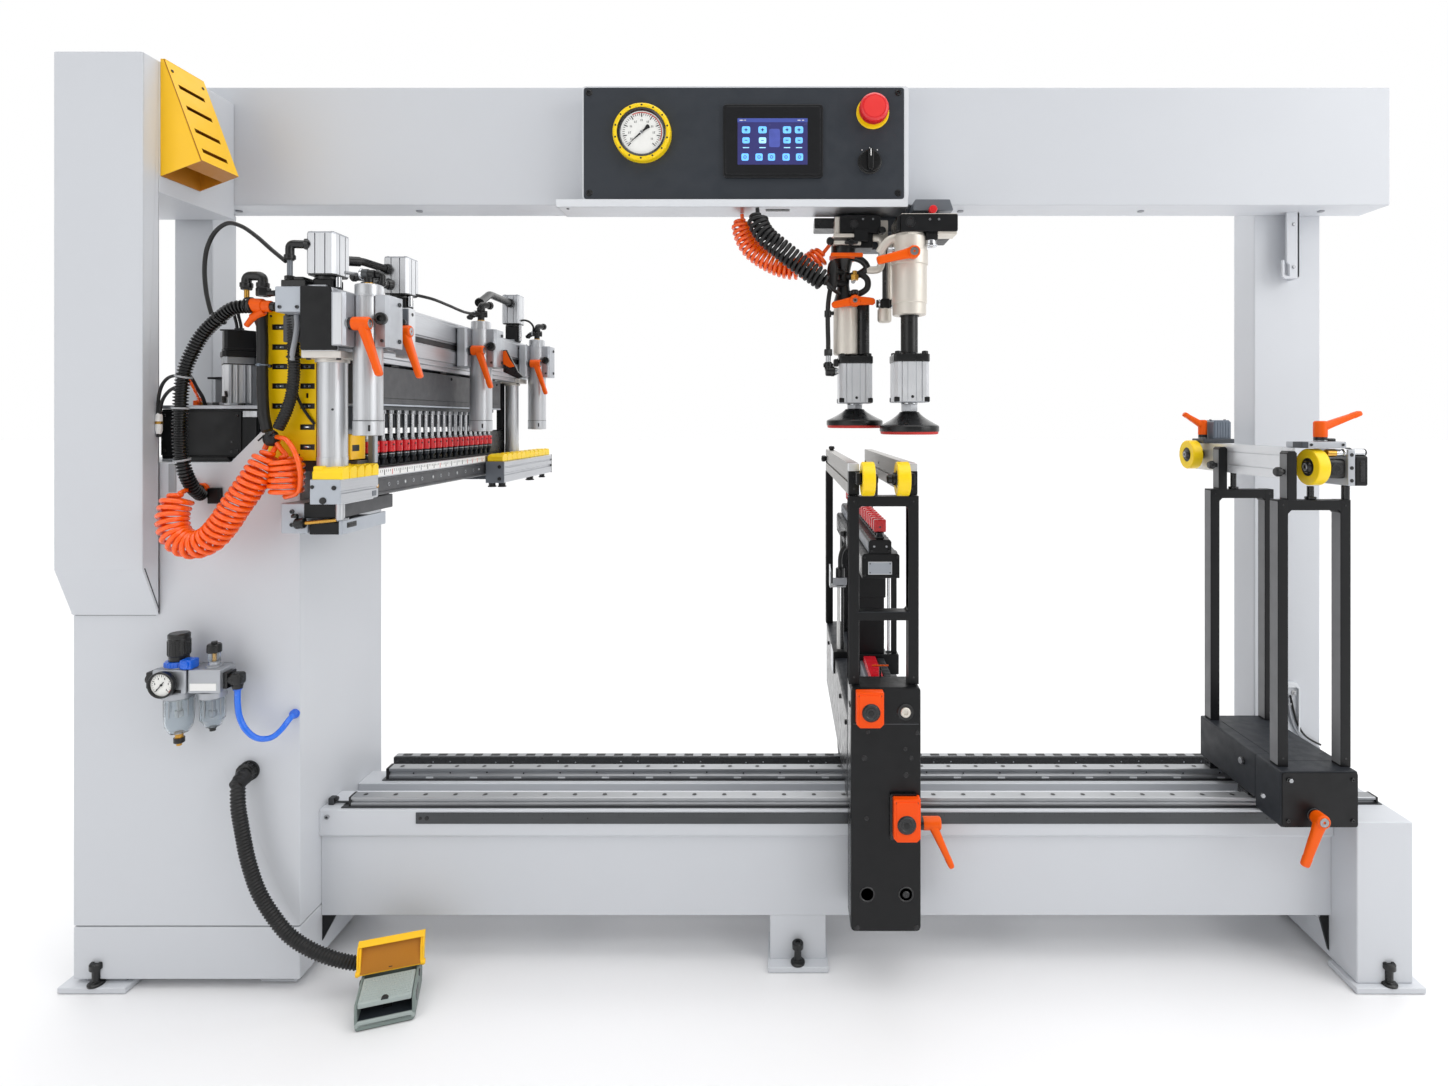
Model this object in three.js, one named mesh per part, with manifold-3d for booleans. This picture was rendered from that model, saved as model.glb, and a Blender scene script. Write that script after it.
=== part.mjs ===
// Line boring machine: a cabinet with a wireway pillar, an overhead beam on two rear posts, a bed with rails,
// a left vertical drill head with a press beam, a travelling centre drill carriage, a travelling right support,
// two overhead pressers, a control box, an air preparation unit and a foot pedal.
// Millimetres, Z up, X along the bed, Y away from the operator.
// Built in a working frame (x = 0 near the machine's middle, y = 0 at the cabinet's front face, z = 0 floor),
// then the whole group is moved so that the origin is the middle of the underside.
import * as THREE from 'three';
import Module from 'manifold-3d';
import { mergeVertices } from 'three/addons/utils/BufferGeometryUtils.js';

const wasm = await Module();
wasm.setup();

// ---------------------------------------------------------------- driving dimensions
const GAP = 0.3;                       // between neighbouring pieces
const FOOT = 20;                       // thickness of the foot plates
const CAB = { x0: -1343, x1: -912, y0: 0, y1: 300, z1: 1003, zTop: 1064, xa: -1045, xb: -984 };
const PILLAR = { x1: -1178, front: -40, z0: 705, zChamfer: 806, z1: 1765 };
const LINK_Z = 1515; // underside of the pillar's part that runs back to the beam
const BEAM = { x1: 1318, y0: 200, y1: 290, z0: 1547, z1: 1802 };
const POST_L = { x0: -1320, x1: -1237, y0: 215 };
const POST_R = { x0: 1080, x1: 1230, y1: 370 };
const BED = { z0: 98, z1: 312, y0: 60, y1: 140, ry0: 200, ry1: 400, rz1: 298, rackZ: 272 };
const END = { x0: 1096, x1: 1203, z1: 319 };
const RAIL = { x0: -860, fy0: 72, fy1: 96, fz1: 331, ry0: 218, ry1: 242, rz1: 322 };
const PITCH = 32, SPINDLES = 21, ROW_Y = 60; // spindle pitch, number in a row, first spindle
const BOXX = { x0: -410, x1: 267, y0: 140, z0: 1540, z1: 1777, tray: 1521, trayX0: -461, trayX1: 263, trayY: 120 };
const PANEL_Y = 136;                   // front of the dark panel plate
const HEAD = { x0: -904, x1: -800, y0: 40, y1: 740, z0: 1112, z1: 1192, rowX: -820 };
const PRESS = { x0: -850, x1: -789, y0: -100, y1: 950, z0: 1206, z1: 1320, colX: -815 };
const BARREL = { x: -750, r: 27, z0: 1055, z1: 1330, ys: [-57, 468, 912] };
const SADDLE = { x0: 133, x1: 264, y0: -20, y1: 740, z0: 335, z1: 508, apron: 124 };
const CFRAME = { z1: 939, bar0: 940, bar1: 1000 };
const RSUP = { x0: 939, x1: 1085, y0: -20, y1: 258, z0: 335, z1: 424, frameZ: 931 };
const RBAR = { x0: 983.3, x1: 1006, y0: 44, y1: 360, z0: 968, z1: 1030 };
const OVER = { nx: 264, ny: 110, fx: 160, fy: 190 };

// ---------------------------------------------------------------- solids
function solid(geometry) {
  let g = geometry.clone();
  g.deleteAttribute('normal');
  g.deleteAttribute('uv');
  g = mergeVertices(g, 1e-4);
  const index = g.index ? g.index.array : [...Array(g.attributes.position.count).keys()];
  return new wasm.Manifold(new wasm.Mesh({
    numProp: 3,
    vertProperties: new Float32Array(g.attributes.position.array),
    triVerts: new Uint32Array(index),
  }));
}
function box(x0, x1, y0, y1, z0, z1) {
  const g = new THREE.BoxGeometry(x1 - x0, y1 - y0, z1 - z0);
  g.translate((x0 + x1) / 2, (y0 + y1) / 2, (z0 + z1) / 2);
  return solid(g);
}
// a cylinder or cone along an axis, between two places on it; (a, b) are the other two coordinates in x, y, z order
function cyl(axis, a, b, r, p0, p1, seg = 20, r2 = r) {
  const g = new THREE.CylinderGeometry(r2, r, p1 - p0, seg); // top radius r2 at p1
  if (axis === 'z') { g.rotateX(Math.PI / 2); g.translate(a, b, (p0 + p1) / 2); }
  if (axis === 'y') { g.translate(a, (p0 + p1) / 2, b); }
  if (axis === 'x') { g.rotateZ(-Math.PI / 2); g.translate((p0 + p1) / 2, a, b); }
  return solid(g);
}
// a round rod between two points
function rod(p, q, r, seg = 12, r2 = r) {
  const a = new THREE.Vector3(...p), b = new THREE.Vector3(...q);
  const g = new THREE.CylinderGeometry(r2, r, a.distanceTo(b), seg);
  g.applyQuaternion(new THREE.Quaternion().setFromUnitVectors(new THREE.Vector3(0, 1, 0), b.clone().sub(a).normalize()));
  g.translate((a.x + b.x) / 2, (a.y + b.y) / 2, (a.z + b.z) / 2);
  return solid(g);
}
// a polygon extruded along an axis: 'y' takes (x, z) points, 'x' takes (y, z) points, 'z' takes (x, y) points
function prism(axis, points, p0, p1) {
  const shape = new THREE.Shape(points.map(([a, b]) => new THREE.Vector2(a, b)));
  const g = new THREE.ExtrudeGeometry(shape, { depth: p1 - p0, bevelEnabled: false });
  if (axis === 'y') { g.rotateX(Math.PI / 2); g.translate(0, p1, 0); }
  if (axis === 'x') { g.applyMatrix4(new THREE.Matrix4().set(0, 0, 1, p0, 1, 0, 0, 0, 0, 1, 0, 0, 0, 0, 0, 1)); }
  if (axis === 'z') g.translate(0, 0, p0);
  return solid(g);
}
const join = (...parts) => parts.reduce((a, b) => a.add(b));
const cut = (a, ...parts) => parts.reduce((m, b) => m.subtract(b), a);
// a plain tube along a smooth path
function tube(points, r, steps = 28, seg = 8) {
  const path = new THREE.CatmullRomCurve3(points.map((p) => new THREE.Vector3(...p)), false, 'centripetal');
  const circle = new THREE.Shape();
  circle.setFromPoints(Array.from({ length: seg }, (_, i) => new THREE.Vector2(r * Math.cos((2 * Math.PI * i) / seg), r * Math.sin((2 * Math.PI * i) / seg))));
  return solid(new THREE.ExtrudeGeometry(circle, { steps, extrudePath: path, bevelEnabled: false }));
}

// ---------------------------------------------------------------- colours
const PAINT = [0xd3d6da, 0.45, 0.0], SLATE = [0x30363d, 0.5, 0.0], BLACK = [0x17181a, 0.55, 0.0], YELLOW = [0xf2b71a, 0.4, 0.0];
const ORANGE = [0xf0561a, 0.4, 0.0], ALU = [0xb9bcc0, 0.35, 0.9], STEEL = [0x8d9094, 0.3, 0.9], RED = [0xc81e28, 0.4, 0.0];
const BLUE = [0x1c6fd6, 0.4, 0.0], PEDAL = [0x7d8a86, 0.6, 0.0], GLASS = [0x2b3a78, 0.2, 0.0], WHITE = [0xf0f0ee, 0.4, 0.0];

const root = new THREE.Group();
function add(name, m, [color, roughness, metalness]) {
  const out = m.getMesh();
  const g = new THREE.BufferGeometry();
  g.setAttribute('position', new THREE.BufferAttribute(new Float32Array(out.vertProperties), 3));
  g.setIndex(new THREE.BufferAttribute(new Uint32Array(out.triVerts), 1));
  g.computeVertexNormals();
  const mesh = new THREE.Mesh(g, new THREE.MeshStandardMaterial({ color, roughness, metalness }));
  mesh.name = name;
  root.add(mesh);
}

// ---------------------------------------------------------------- cabinet, pillar, beam, posts
add('cabinet_column', join(
  prism('y', [[CAB.x0, FOOT], [CAB.x1, FOOT], [CAB.x1, CAB.zTop], [CAB.xb, CAB.zTop], [CAB.xa, CAB.z1], [CAB.x0, CAB.z1]], CAB.y0, CAB.y1),
  box(CAB.x0 - 21, -1235, -8, 62, 0, FOOT + 1),
  box(CAB.x0 - 21, -1235, 238, 308, 0, FOOT + 1),
  box(-1000, -930, 20, 80, 0, FOOT + 1),
  box(-1000, -930, 220, 280, 0, FOOT + 1),
), PAINT);
add('wireway_pillar', join(
  prism('x', [[PILLAR.front, PILLAR.zChamfer], [-GAP, PILLAR.z0], [-GAP, PILLAR.z1], [PILLAR.front, PILLAR.z1]], CAB.x0, PILLAR.x1),
  box(CAB.x0, PILLAR.x1, -1, BEAM.y0 - GAP, LINK_Z, PILLAR.z1),
), PAINT);
add('pillar_hood', prism('y', [[PILLAR.x1 + GAP, 1547], [-1099, 1577], [-1170, 1770], [PILLAR.x1 + GAP, 1770]], GAP, 101), YELLOW);
add('overhead_beam', join(
  box(CAB.x0, BEAM.x1, BEAM.y0, BEAM.y1, BEAM.z0, BEAM.z1),
  box(POST_L.x0, POST_L.x1, POST_L.y0, BEAM.y1, CAB.z1 + GAP, BEAM.z0 + 1),
), PAINT);
add('rear_post_right', join(
  box(POST_R.x0, POST_R.x1, BEAM.y1 + GAP, POST_R.y1, 0, BEAM.z1),
  box(1123, 1159, BEAM.y1 - 40, BEAM.y1 + 5, 1397, BEAM.z0 - GAP),
), PAINT);

// ---------------------------------------------------------------- bed
const bedR = END.x0 - GAP, bedL = CAB.x1 + GAP;
add('bed_front_beam', join(
  prism('x', [[BED.y0, BED.z1], [BED.y0, 262], [BED.y0 + 8, 254], [BED.y0 + 8, BED.z0], [BED.y1, BED.z0], [BED.y1, BED.z1]], bedL, bedR),
  box(-20, 91, BED.y0 + 8, BED.y1, FOOT - 1, BED.z0 + 1),
  box(-24, 95, 44, 150, 0, FOOT),
), PAINT);
add('bed_rear_beam', join(
  prism('x', [[BED.ry0, BED.z0], [BED.ry1, BED.z0], [BED.ry1, BED.rackZ], [260, BED.rackZ], [260, BED.rz1], [BED.ry0, BED.rz1]], bedL, POST_R.x0 - GAP),
  box(-20, 91, 330, BED.ry1, FOOT - 1, BED.z0 + 1),
  box(-24, 95, 322, 408, 0, FOOT),
  box(bedL, POST_R.x0 - GAP, 345, 366, BED.rackZ - 1, 294),
), PAINT);
add('bed_end_column', join(
  box(END.x0, END.x1, 0, BEAM.y1, FOOT - 1, END.z1),
  box(END.x0 - 9, END.x1 + 15, -12, 66, 0, FOOT),
  box(END.x0 - 9, END.x1 + 15, 224, BEAM.y1, 0, FOOT),
), PAINT);
add('front_rail', box(RAIL.x0, bedR, RAIL.fy0, RAIL.fy1, BED.z1 + GAP, RAIL.fz1), STEEL);
add('rear_rail', box(RAIL.x0, POST_R.x0 - GAP, RAIL.ry0, RAIL.ry1, BED.rz1 + GAP, RAIL.rz1), STEEL);

// ---------------------------------------------------------------- control box
const ESTOP = { x: 192, z: 1720 }, SELECT = { x: 186, z: 1618 };
add('control_box', cut(join(
  box(BOXX.x0, BOXX.x1, PANEL_Y, BEAM.y0 - GAP, BOXX.z0, BOXX.z1),
  box(BOXX.trayX0, BOXX.trayX1, BOXX.trayY, BEAM.y0 - GAP, BOXX.tray, BOXX.z0 + 1),
  cyl('y', ESTOP.x, ESTOP.z, 34, PANEL_Y - 6, PANEL_Y + 1),
), cyl('y', ESTOP.x, ESTOP.z, 11.1, PANEL_Y - 20, PANEL_Y + 12, 16)), SLATE);
add('touch_screen', box(-118, 89, PANEL_Y - 12, PANEL_Y - GAP, 1584, 1735), GLASS);
add('pressure_gauge', cyl('y', -285, 1677, 59, PANEL_Y - 22, PANEL_Y - GAP, 28), WHITE);
add('estop_button', join(
  cyl('y', ESTOP.x, ESTOP.z, 30, PANEL_Y - 38, PANEL_Y - 14, 24),
  cyl('y', ESTOP.x, ESTOP.z, 11, PANEL_Y - 16, PANEL_Y + 2, 16),
), RED);
add('selector_switch', join(
  cyl('y', SELECT.x, SELECT.z, 23, PANEL_Y - 12, PANEL_Y - GAP, 24),
  box(SELECT.x - 7, SELECT.x + 7, PANEL_Y - 26, PANEL_Y - 11, SELECT.z - 21, SELECT.z + 21),
), BLACK);

// ---------------------------------------------------------------- air preparation unit
add('air_preparation_unit', join(
  box(-1143, -1021, -64, -14, 582, 630),
  cyl('y', -1118, 604, 23, -74, -63, 20),
  cyl('z', -1111, -39, 25, 500, 583, 20),
  cyl('z', -1111, -39, 8, 480, 501, 12),
  cyl('z', -1049, -39, 21, 512, 583, 20),
  cyl('z', -1046, -39, 9, 629, 675, 12),
  cyl('z', -1111, -39, 20, 629, 640, 20),
  box(-1168, -1142, -52, -26, 592, 620),
  box(-1022, -989, -52, -26, 588, 622),
  box(-1120, -1040, -15, -GAP, 588, 625),
), STEEL);
add('regulator_knob', cyl('z', -1111, -39, 17, 640 + GAP, 690, 20), BLACK);

// ---------------------------------------------------------------- foot pedal
// built about its own front edge (x across, y to the rear), then turned a little towards the operator
const PEDAL_AT = { x: -706, y: -88, yaw: 18 };
const pedalPlace = (m) => m.rotate([0, 0, PEDAL_AT.yaw]).translate([PEDAL_AT.x, PEDAL_AT.y, 0]);
add('pedal_base', pedalPlace(join(
  box(-49, 49, 0, 104, 0, 14),
  prism('x', [[0, 13], [104, 13], [104, 54], [58, 54], [0, 46]], -49, -44.5),
  prism('x', [[0, 13], [104, 13], [104, 54], [58, 54], [0, 46]], 44.5, 49),
  box(-49, 49, 80, 104, 13, 78),
)), PEDAL);
add('pedal_treadle', pedalPlace(prism('x', [[0, 42], [0, 50], [57, 56], [60, 52], [57, 47]], -44, 44)), PEDAL);
add('pedal_guard', pedalPlace(join(
  prism('x', [[60, 59], [67, 57], [90, 106], [83, 109]], -57, 57),
  cyl('x', 64, 62, 4.5, -59, 59, 12),
  box(-57, 57, 74, 87, 101, 109),
)), YELLOW);

// ---------------------------------------------------------------- left head
add('head_frame', join(
  box(-990, -905, GAP, 950, CAB.zTop + GAP, 1285),
  box(-990, -905, 850.3, 950, 905, CAB.zTop + 1),
  box(-906, -786, 850.3, 905, 905, 979.7),
), SLATE);
add('valve_cover', box(-950, -861, -34, -GAP, 1008, 1289), YELLOW);
add('drive_unit', join(
  prism('y', [[-1194, CAB.z1 + GAP], [-1047, CAB.z1 + GAP], [-1005.4, 1045], [-1005.4, 1112], [-1194, 1112]], 20, 190),
  cyl('z', -1072, 70, 39, 1111, 1213, 20),
  box(-1105, -1039, 37, 103, 1212, 1261),
), BLACK);
add('left_drill_head', box(HEAD.x0, HEAD.x1, HEAD.y0, HEAD.y1, HEAD.z0, HEAD.z1), SLATE);
const leftRow = [box(HEAD.rowX - 8, HEAD.rowX + 8, ROW_Y - 8, ROW_Y + PITCH * (SPINDLES - 1) + 8, 1104, HEAD.z0 - GAP)];
for (let i = 0; i < SPINDLES; i++) {
  const y = ROW_Y + PITCH * i;
  leftRow.push(cyl('z', HEAD.rowX, y, 6, 1041, 1105, 6), cyl('z', HEAD.rowX, y, 13, 1016, 1042, 8), cyl('z', HEAD.rowX, y, 9, 991, 1017, 6));
}
add('left_spindles', join(...leftRow), RED);

const clampY = BARREL.ys;
// the three square air cylinders on the beam: x, y, underside, top
const CYLINDERS = [[-823, -60, 1343, 1421], [-808, 180, 1347, 1427], [-811, 877, 1372, 1460]];
const bores = clampY.map((y) => cyl('z', BARREL.x, y, BARREL.r + 0.1, 1190, 1350, 24));
add('press_frame', cut(join(
  box(PRESS.x0, PRESS.x1, PRESS.y0, PRESS.y1, PRESS.z0, PRESS.z1),
  cyl('z', PRESS.colX, -60, 25, 985.3, PRESS.z0 + 1, 20),
  cyl('z', PRESS.colX, 877, 20, 980, PRESS.z0 + 1, 20),
  ...CYLINDERS.flatMap(([x, y, z0, z1]) => [
    box(x - 18, x + 18, y - 18, y + 18, PRESS.z1 - 1, z0 + 1),
    box(x - 26, x + 26, y - 26, y + 26, z0, z1),
  ]),
  ...clampY.flatMap((y) => [
    box(PRESS.x1 - 1, -764, y - 56, y + 36, 1214, 1309),
    box(-765, -706, y - 18, y + 36, 1214, 1309),
  ]),
  box(PRESS.x1 - 1, -742, -6, 50, 1214, 1290),
  box(-743, -716, 24, 50, 1204, 1300),
  // the block at the beam's near end, its plate, and the elbow into the first cylinder
  box(-898, PRESS.x0 + 1, -95, -35, 1275, 1321),
  box(-889, -846, -92, -52, 1320, 1334),
  cyl('z', -877, -85, 7, 1333, 1399, 12),
  cyl('x', -85, 1396, 7, -883, -842, 12),
), ...bores), ALU);
// clamp levers: a hub along x in front of each barrel, its handle hanging down; the fourth is on a block of its own
const lever = (i, hx, y, z, tipZ) => add(`clamp_lever_${i}`, join(
  cyl('x', y, z, 12, hx, hx + 38, 16),
  rod([hx + 28, y, z], [hx + 54, y + 2, tipZ], 9, 10, 7),
), ORANGE);
clampY.forEach((y, i) => {
  add(`presser_barrel_${i + 1}`, cyl('z', BARREL.x, y, BARREL.r, BARREL.z0, BARREL.z1, 24), ALU);
  lever(i + 1, -764 + GAP, y - 42, 1254, 1160);
});
lever(4, -742 + GAP, 8, 1252, 1162);
add('near_rest', join(
  box(-835, -770, -100, 30, 934, 985),
  box(CAB.x1 + GAP, -772, -60, 30, 873, 935),
), ALU);
add('fence_bar', join(
  box(-803, -786, 30.3, 850, 935.3, 988),
  box(-785.7, -736, 590, 1020, 915, 972),
  box(-787, -785, 590, 850, 935.3, 972),
), ALU);

// ---------------------------------------------------------------- centre carriage
const colYs = [275, 665];
add('centre_saddle', cut(join(
  box(SADDLE.x0, SADDLE.x1, SADDLE.y0, SADDLE.y1, SADDLE.z0, SADDLE.z1),
  box(SADDLE.x0, SADDLE.x1, SADDLE.y0, BED.y0 - 1, SADDLE.apron, SADDLE.z0 + 1),
  box(SADDLE.x0, SADDLE.x1, RAIL.fy0, RAIL.fy1, RAIL.fz1 + GAP, SADDLE.z0 + 1),
  box(SADDLE.x0, SADDLE.x1, RAIL.ry0, RAIL.ry1, RAIL.rz1 + GAP, SADDLE.z0 + 1),
  box(SADDLE.x0, SADDLE.x1, SADDLE.y0, 45, SADDLE.z1 - 1, 582),
  box(140, 192, -45, SADDLE.y0 + 1, 518, 580),
  box(209, 261, -45, SADDLE.y0 + 1, 307, 384),
  box(176, 224, 44, 236, SADDLE.z1 - 1, 536),
  ...colYs.map((y) => box(166, 228, y - 36, y + 34, SADDLE.z1 - 1, 700)),
), ...colYs.map((y) => cyl('z', 197, y, 12.1, 590, 710, 16))), SLATE);
add('centre_frame', join(
  box(130, 150, -5, 25, 582.3, CFRAME.z1),
  box(243, 263, -5, 25, 582.3, CFRAME.z1),
  box(130, 263, -5, 25, 919, CFRAME.z1),
  box(130, 263, -5, 25, 703, 720),
  box(130, 150, 715, 740, SADDLE.z1 + GAP, CFRAME.z1),
  box(243, 263, 715, 740, SADDLE.z1 + GAP, CFRAME.z1),
  box(130, 263, 715, 740, 919, CFRAME.z1),
  box(131, 151, 5, 740, CFRAME.z1 - 1, CFRAME.bar1),
  box(242, 262, 5, 740, CFRAME.z1 - 1, CFRAME.bar1),
), BLACK);
add('centre_drill_head', join(
  box(160, 234, 40, 712, 774, 849),
  ...colYs.map((y) => cyl('z', 197, y, 12, 610, 775, 16)),
), BLACK);
const centreRow = [box(189, 205, ROW_Y - 8, ROW_Y + PITCH * (SPINDLES - 1) + 8, 849.3, 855)];
for (let i = 0; i < SPINDLES; i++) {
  const y = ROW_Y + PITCH * i;
  centreRow.push(cyl('z', 197, y, 8, 854, 863, 6), cyl('z', 197, y, 13, 862, 887, 8));
}
add('centre_spindles', join(...centreRow), RED);
add('centre_lever', join(
  cyl('x', 10, 312, 12, SADDLE.x1 + GAP, 308, 16),
  rod([298, 10, 312], [325, 4, 236], 9, 10, 7),
), ORANGE);
add('centre_roller_left', cyl('x', -22, 973, 32, 152, 176, 24), YELLOW);
add('centre_roller_right', cyl('x', -22, 973, 32, 217, 241, 24), YELLOW);

// ---------------------------------------------------------------- right support
add('right_support', join(
  box(RSUP.x0, RSUP.x1, RSUP.y0, RSUP.y1, RSUP.z0, RSUP.z1),
  box(RSUP.x0, RSUP.x1, RSUP.y0, BED.y0 - 1, 317, RSUP.z0 + 1),
  box(RSUP.x0, RSUP.x1, RAIL.fy0, RAIL.fy1, RAIL.fz1 + GAP, RSUP.z0 + 1),
  box(RSUP.x0, RSUP.x1, RAIL.ry0, RAIL.ry1, RAIL.rz1 + GAP, RSUP.z0 + 1),
  ...[[0, 25], [228, 253]].flatMap(([y0, y1]) => [
    box(946, 966, y0, y1, RSUP.z1 - 1, RSUP.frameZ),
    box(1065, 1085, y0, y1, RSUP.z1 - 1, RSUP.frameZ),
    box(946, 1085, y0, y1, RSUP.frameZ - 20, RSUP.frameZ),
    box(964, RBAR.x0 - GAP, y0, y1, RSUP.frameZ - 1, 1024),
  ]),
  cyl('z', 1020, 18, 6, RSUP.frameZ - 1, 956, 12),
  cyl('z', 1003, 240.5, 6, RSUP.frameZ - 1, RBAR.z0 - GAP, 12),
  cyl('z', 1083, 12, 7, RSUP.frameZ - 1, 957.7, 12),
), BLACK);
// the roller bar, its roller bosses, the motor unit at its near end and the base plates of its two levers
add('right_bar', join(
  box(RBAR.x0, RBAR.x1, RBAR.y0, RBAR.y1, RBAR.z0, RBAR.z1),
  box(RBAR.x0, 988, 14, RBAR.y0 + 1, RBAR.z0, RBAR.z1),
  cyl('x', 15, 993, 8, 1034.3, 1045, 12),
  cyl('x', 330, 1003, 8, 968.8, RBAR.x0 + 1, 12),
  box(RBAR.x1 - 1, 1045, 52, 92, 975, 1011),
  box(1044, 1077, 2, 92, 969, 1011),
  box(1076, 1091, -5, 92, 958, 1027),
  box(1090, 1114, -5, 60, 958, 1015),
  box(1040, 1117, -5, 20, 1010, 1030),
  box(988, 1073, -5, 60, 1029, 1042),
  box(970, 1041, 300, 350, 1029, 1040),
  box(995, 1038, 305, 345, 1039, 1083),
), ALU);
add('right_roller_near', cyl('x', 15, 993, 35, 1011, 1034, 24), YELLOW);
add('right_roller_far', cyl('x', 330, 1003, 33, 946, 968.5, 24), YELLOW);
add('right_lever_front', join(
  cyl('y', 1000, 343, 13, -50, RSUP.y0 - GAP, 16),
  rod([1000, -42, 343], [964, -42, 258], 9, 10, 7),
), ORANGE);
add('right_lever_near', join(
  cyl('z', 1037, 15, 12, 1042 + GAP, 1082, 16),
  rod([1037, 15, 1074], [1112, 12, 1096], 8, 10, 6.5),
), ORANGE);
add('right_lever_far', join(
  cyl('z', 984, 330, 9.5, 1040 + GAP, 1084, 16),
  rod([984, 330, 1076], [940, 333, 1098], 7.5, 10, 6),
), ORANGE);

// ---------------------------------------------------------------- overhead pressers
const { nx, ny, fx, fy } = OVER;
add('overhead_carriage', cut(join(
  box(100, 345, 201, 289, 1459, BEAM.z0 - GAP),
  box(228, 345, 74, 202, 1459, 1503),
  box(124, 196, 154, 202, 1459, 1503),
  cyl('z', nx, ny, 36, 1293, 1460, 24),
  cyl('z', fx, fy, 31, 1235, 1460, 24),
), cyl('z', nx, ny, 12.1, 1280, 1370, 16), cyl('z', fx, fy, 12.1, 1220, 1320, 16)), ALU);
for (const [name, x, y, top, blockTop, up] of [['near', nx, ny, 1350, 1216, 0], ['far', fx, fy, 1300, 1218, 12]]) {
  add(`overhead_pad_${name}`, join(
    cyl('z', x, y, 60, 1054 + up, 1070 + up, 28),
    cyl('z', x, y, 60, 1069 + up, 1100 + up, 28, 20),
    cyl('z', x, y, 14, 1099 + up, 1119, 16),
    box(x - 36, x + 36, y - 36, y + 36, 1118, blockTop),
    cyl('z', x, y, 12, blockTop - 1, top, 16),
  ), BLACK);
}
add('overhead_lever_near', join(
  cyl('y', nx, 1415, 12, 48, ny - 36 - GAP, 16),
  rod([nx, 57, 1415], [190, 57, 1396], 8, 10, 6.5),
), ORANGE);
add('overhead_lever_far', join(
  cyl('y', fx - 4, 1332, 12, 134, fy - 31.5 - GAP, 16),
  rod([fx - 4, 142, 1332], [108, 142, 1322], 8, 10, 6.5),
  rod([fx - 4, 142, 1332], [197, 142, 1330], 7, 10, 7),
), ORANGE);

// ---------------------------------------------------------------- hoses: plain solids along their runs
const PEDAL_HOSE = [[-1007, -8, 418], [-1007, -28, 412], [-1003, -38, 375], [-995, -38, 320], [-984, -38, 266], [-965, -38, 210], [-938, -38, 165], [-908, -37, 128], [-872, -34, 101], [-840, -28, 82], [-815, -23, 71], [-797, -19, 65], [-784, -16, 62]];
const BLUE_HOSE = [[-1003, -39, 587], [-1003, -39, 560], [-999, -39, 533], [-988, -39, 511], [-970, -39, 496], [-955, -38, 493], [-940, -36, 496], [-928, -30, 507], [-922, -18, 520], [-921, -5, 525]];
const CONDUIT = [[-962, -58, 1290], [-993, -62, 1287], [-1023, -62, 1266], [-1050, -62, 1239], [-1069, -62, 1207], [-1082, -62, 1176], [-1089, -62, 1139], [-1091, -62, 1100], [-1092, -62, 1057], [-1091, -60, 1018], [-1089, -52, 985], [-1089, -34, 957], [-1092, -9, 940]];
const COIL = [[-1090, -64, 950], [-1094, -76, 908], [-1083, -80, 874], [-1056, -80, 859], [-1026, -80, 868], [-1000, -80, 895], [-978, -80, 928], [-955, -78, 962], [-935, -74, 995], [-920, -66, 1025]];
const OVER_ORANGE = [[-80, 172, 1510], [-79, 172, 1488], [-62, 172, 1450], [-18, 172, 1418], [30, 172, 1404], [64, 172, 1416], [92, 172, 1438]];
const OVER_BLACK = [[-46, 126, 1510], [-45, 124, 1490], [-30, 120, 1463], [0, 118, 1436], [45, 118, 1400], [96, 118, 1364]];
add('pedal_hose', tube(PEDAL_HOSE, 13, 18), BLACK);
add('blue_hose', tube(BLUE_HOSE, 6, 14), BLUE);
add('head_conduit', tube(CONDUIT, 12.6, 18), BLACK);
add('head_coil', tube(COIL, 27, 16), ORANGE);
add('overhead_coil_orange', tube(OVER_ORANGE, 26, 12), ORANGE);
add('overhead_coil_black', tube(OVER_BLACK, 22, 10), BLACK);

// ---------------------------------------------------------------- origin to the middle of the underside
const bounds = new THREE.Box3();
for (const m of root.children) if (!/hose|conduit|coil/.test(m.name)) bounds.expandByObject(m);
const shift = new THREE.Vector3(-(bounds.min.x + bounds.max.x) / 2, -(bounds.min.y + bounds.max.y) / 2, -bounds.min.z);
for (const m of root.children) m.geometry.translate(shift.x, shift.y, shift.z);

export default root;
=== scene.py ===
"""Looks of a line boring machine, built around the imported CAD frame. Millimetres in the CAD source's working frame
(x along the bed, y away from the operator, z up) are turned into the row frame's metres by P()."""
import math

import bpy
import numpy as np
from mathutils import Matrix, Vector


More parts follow.
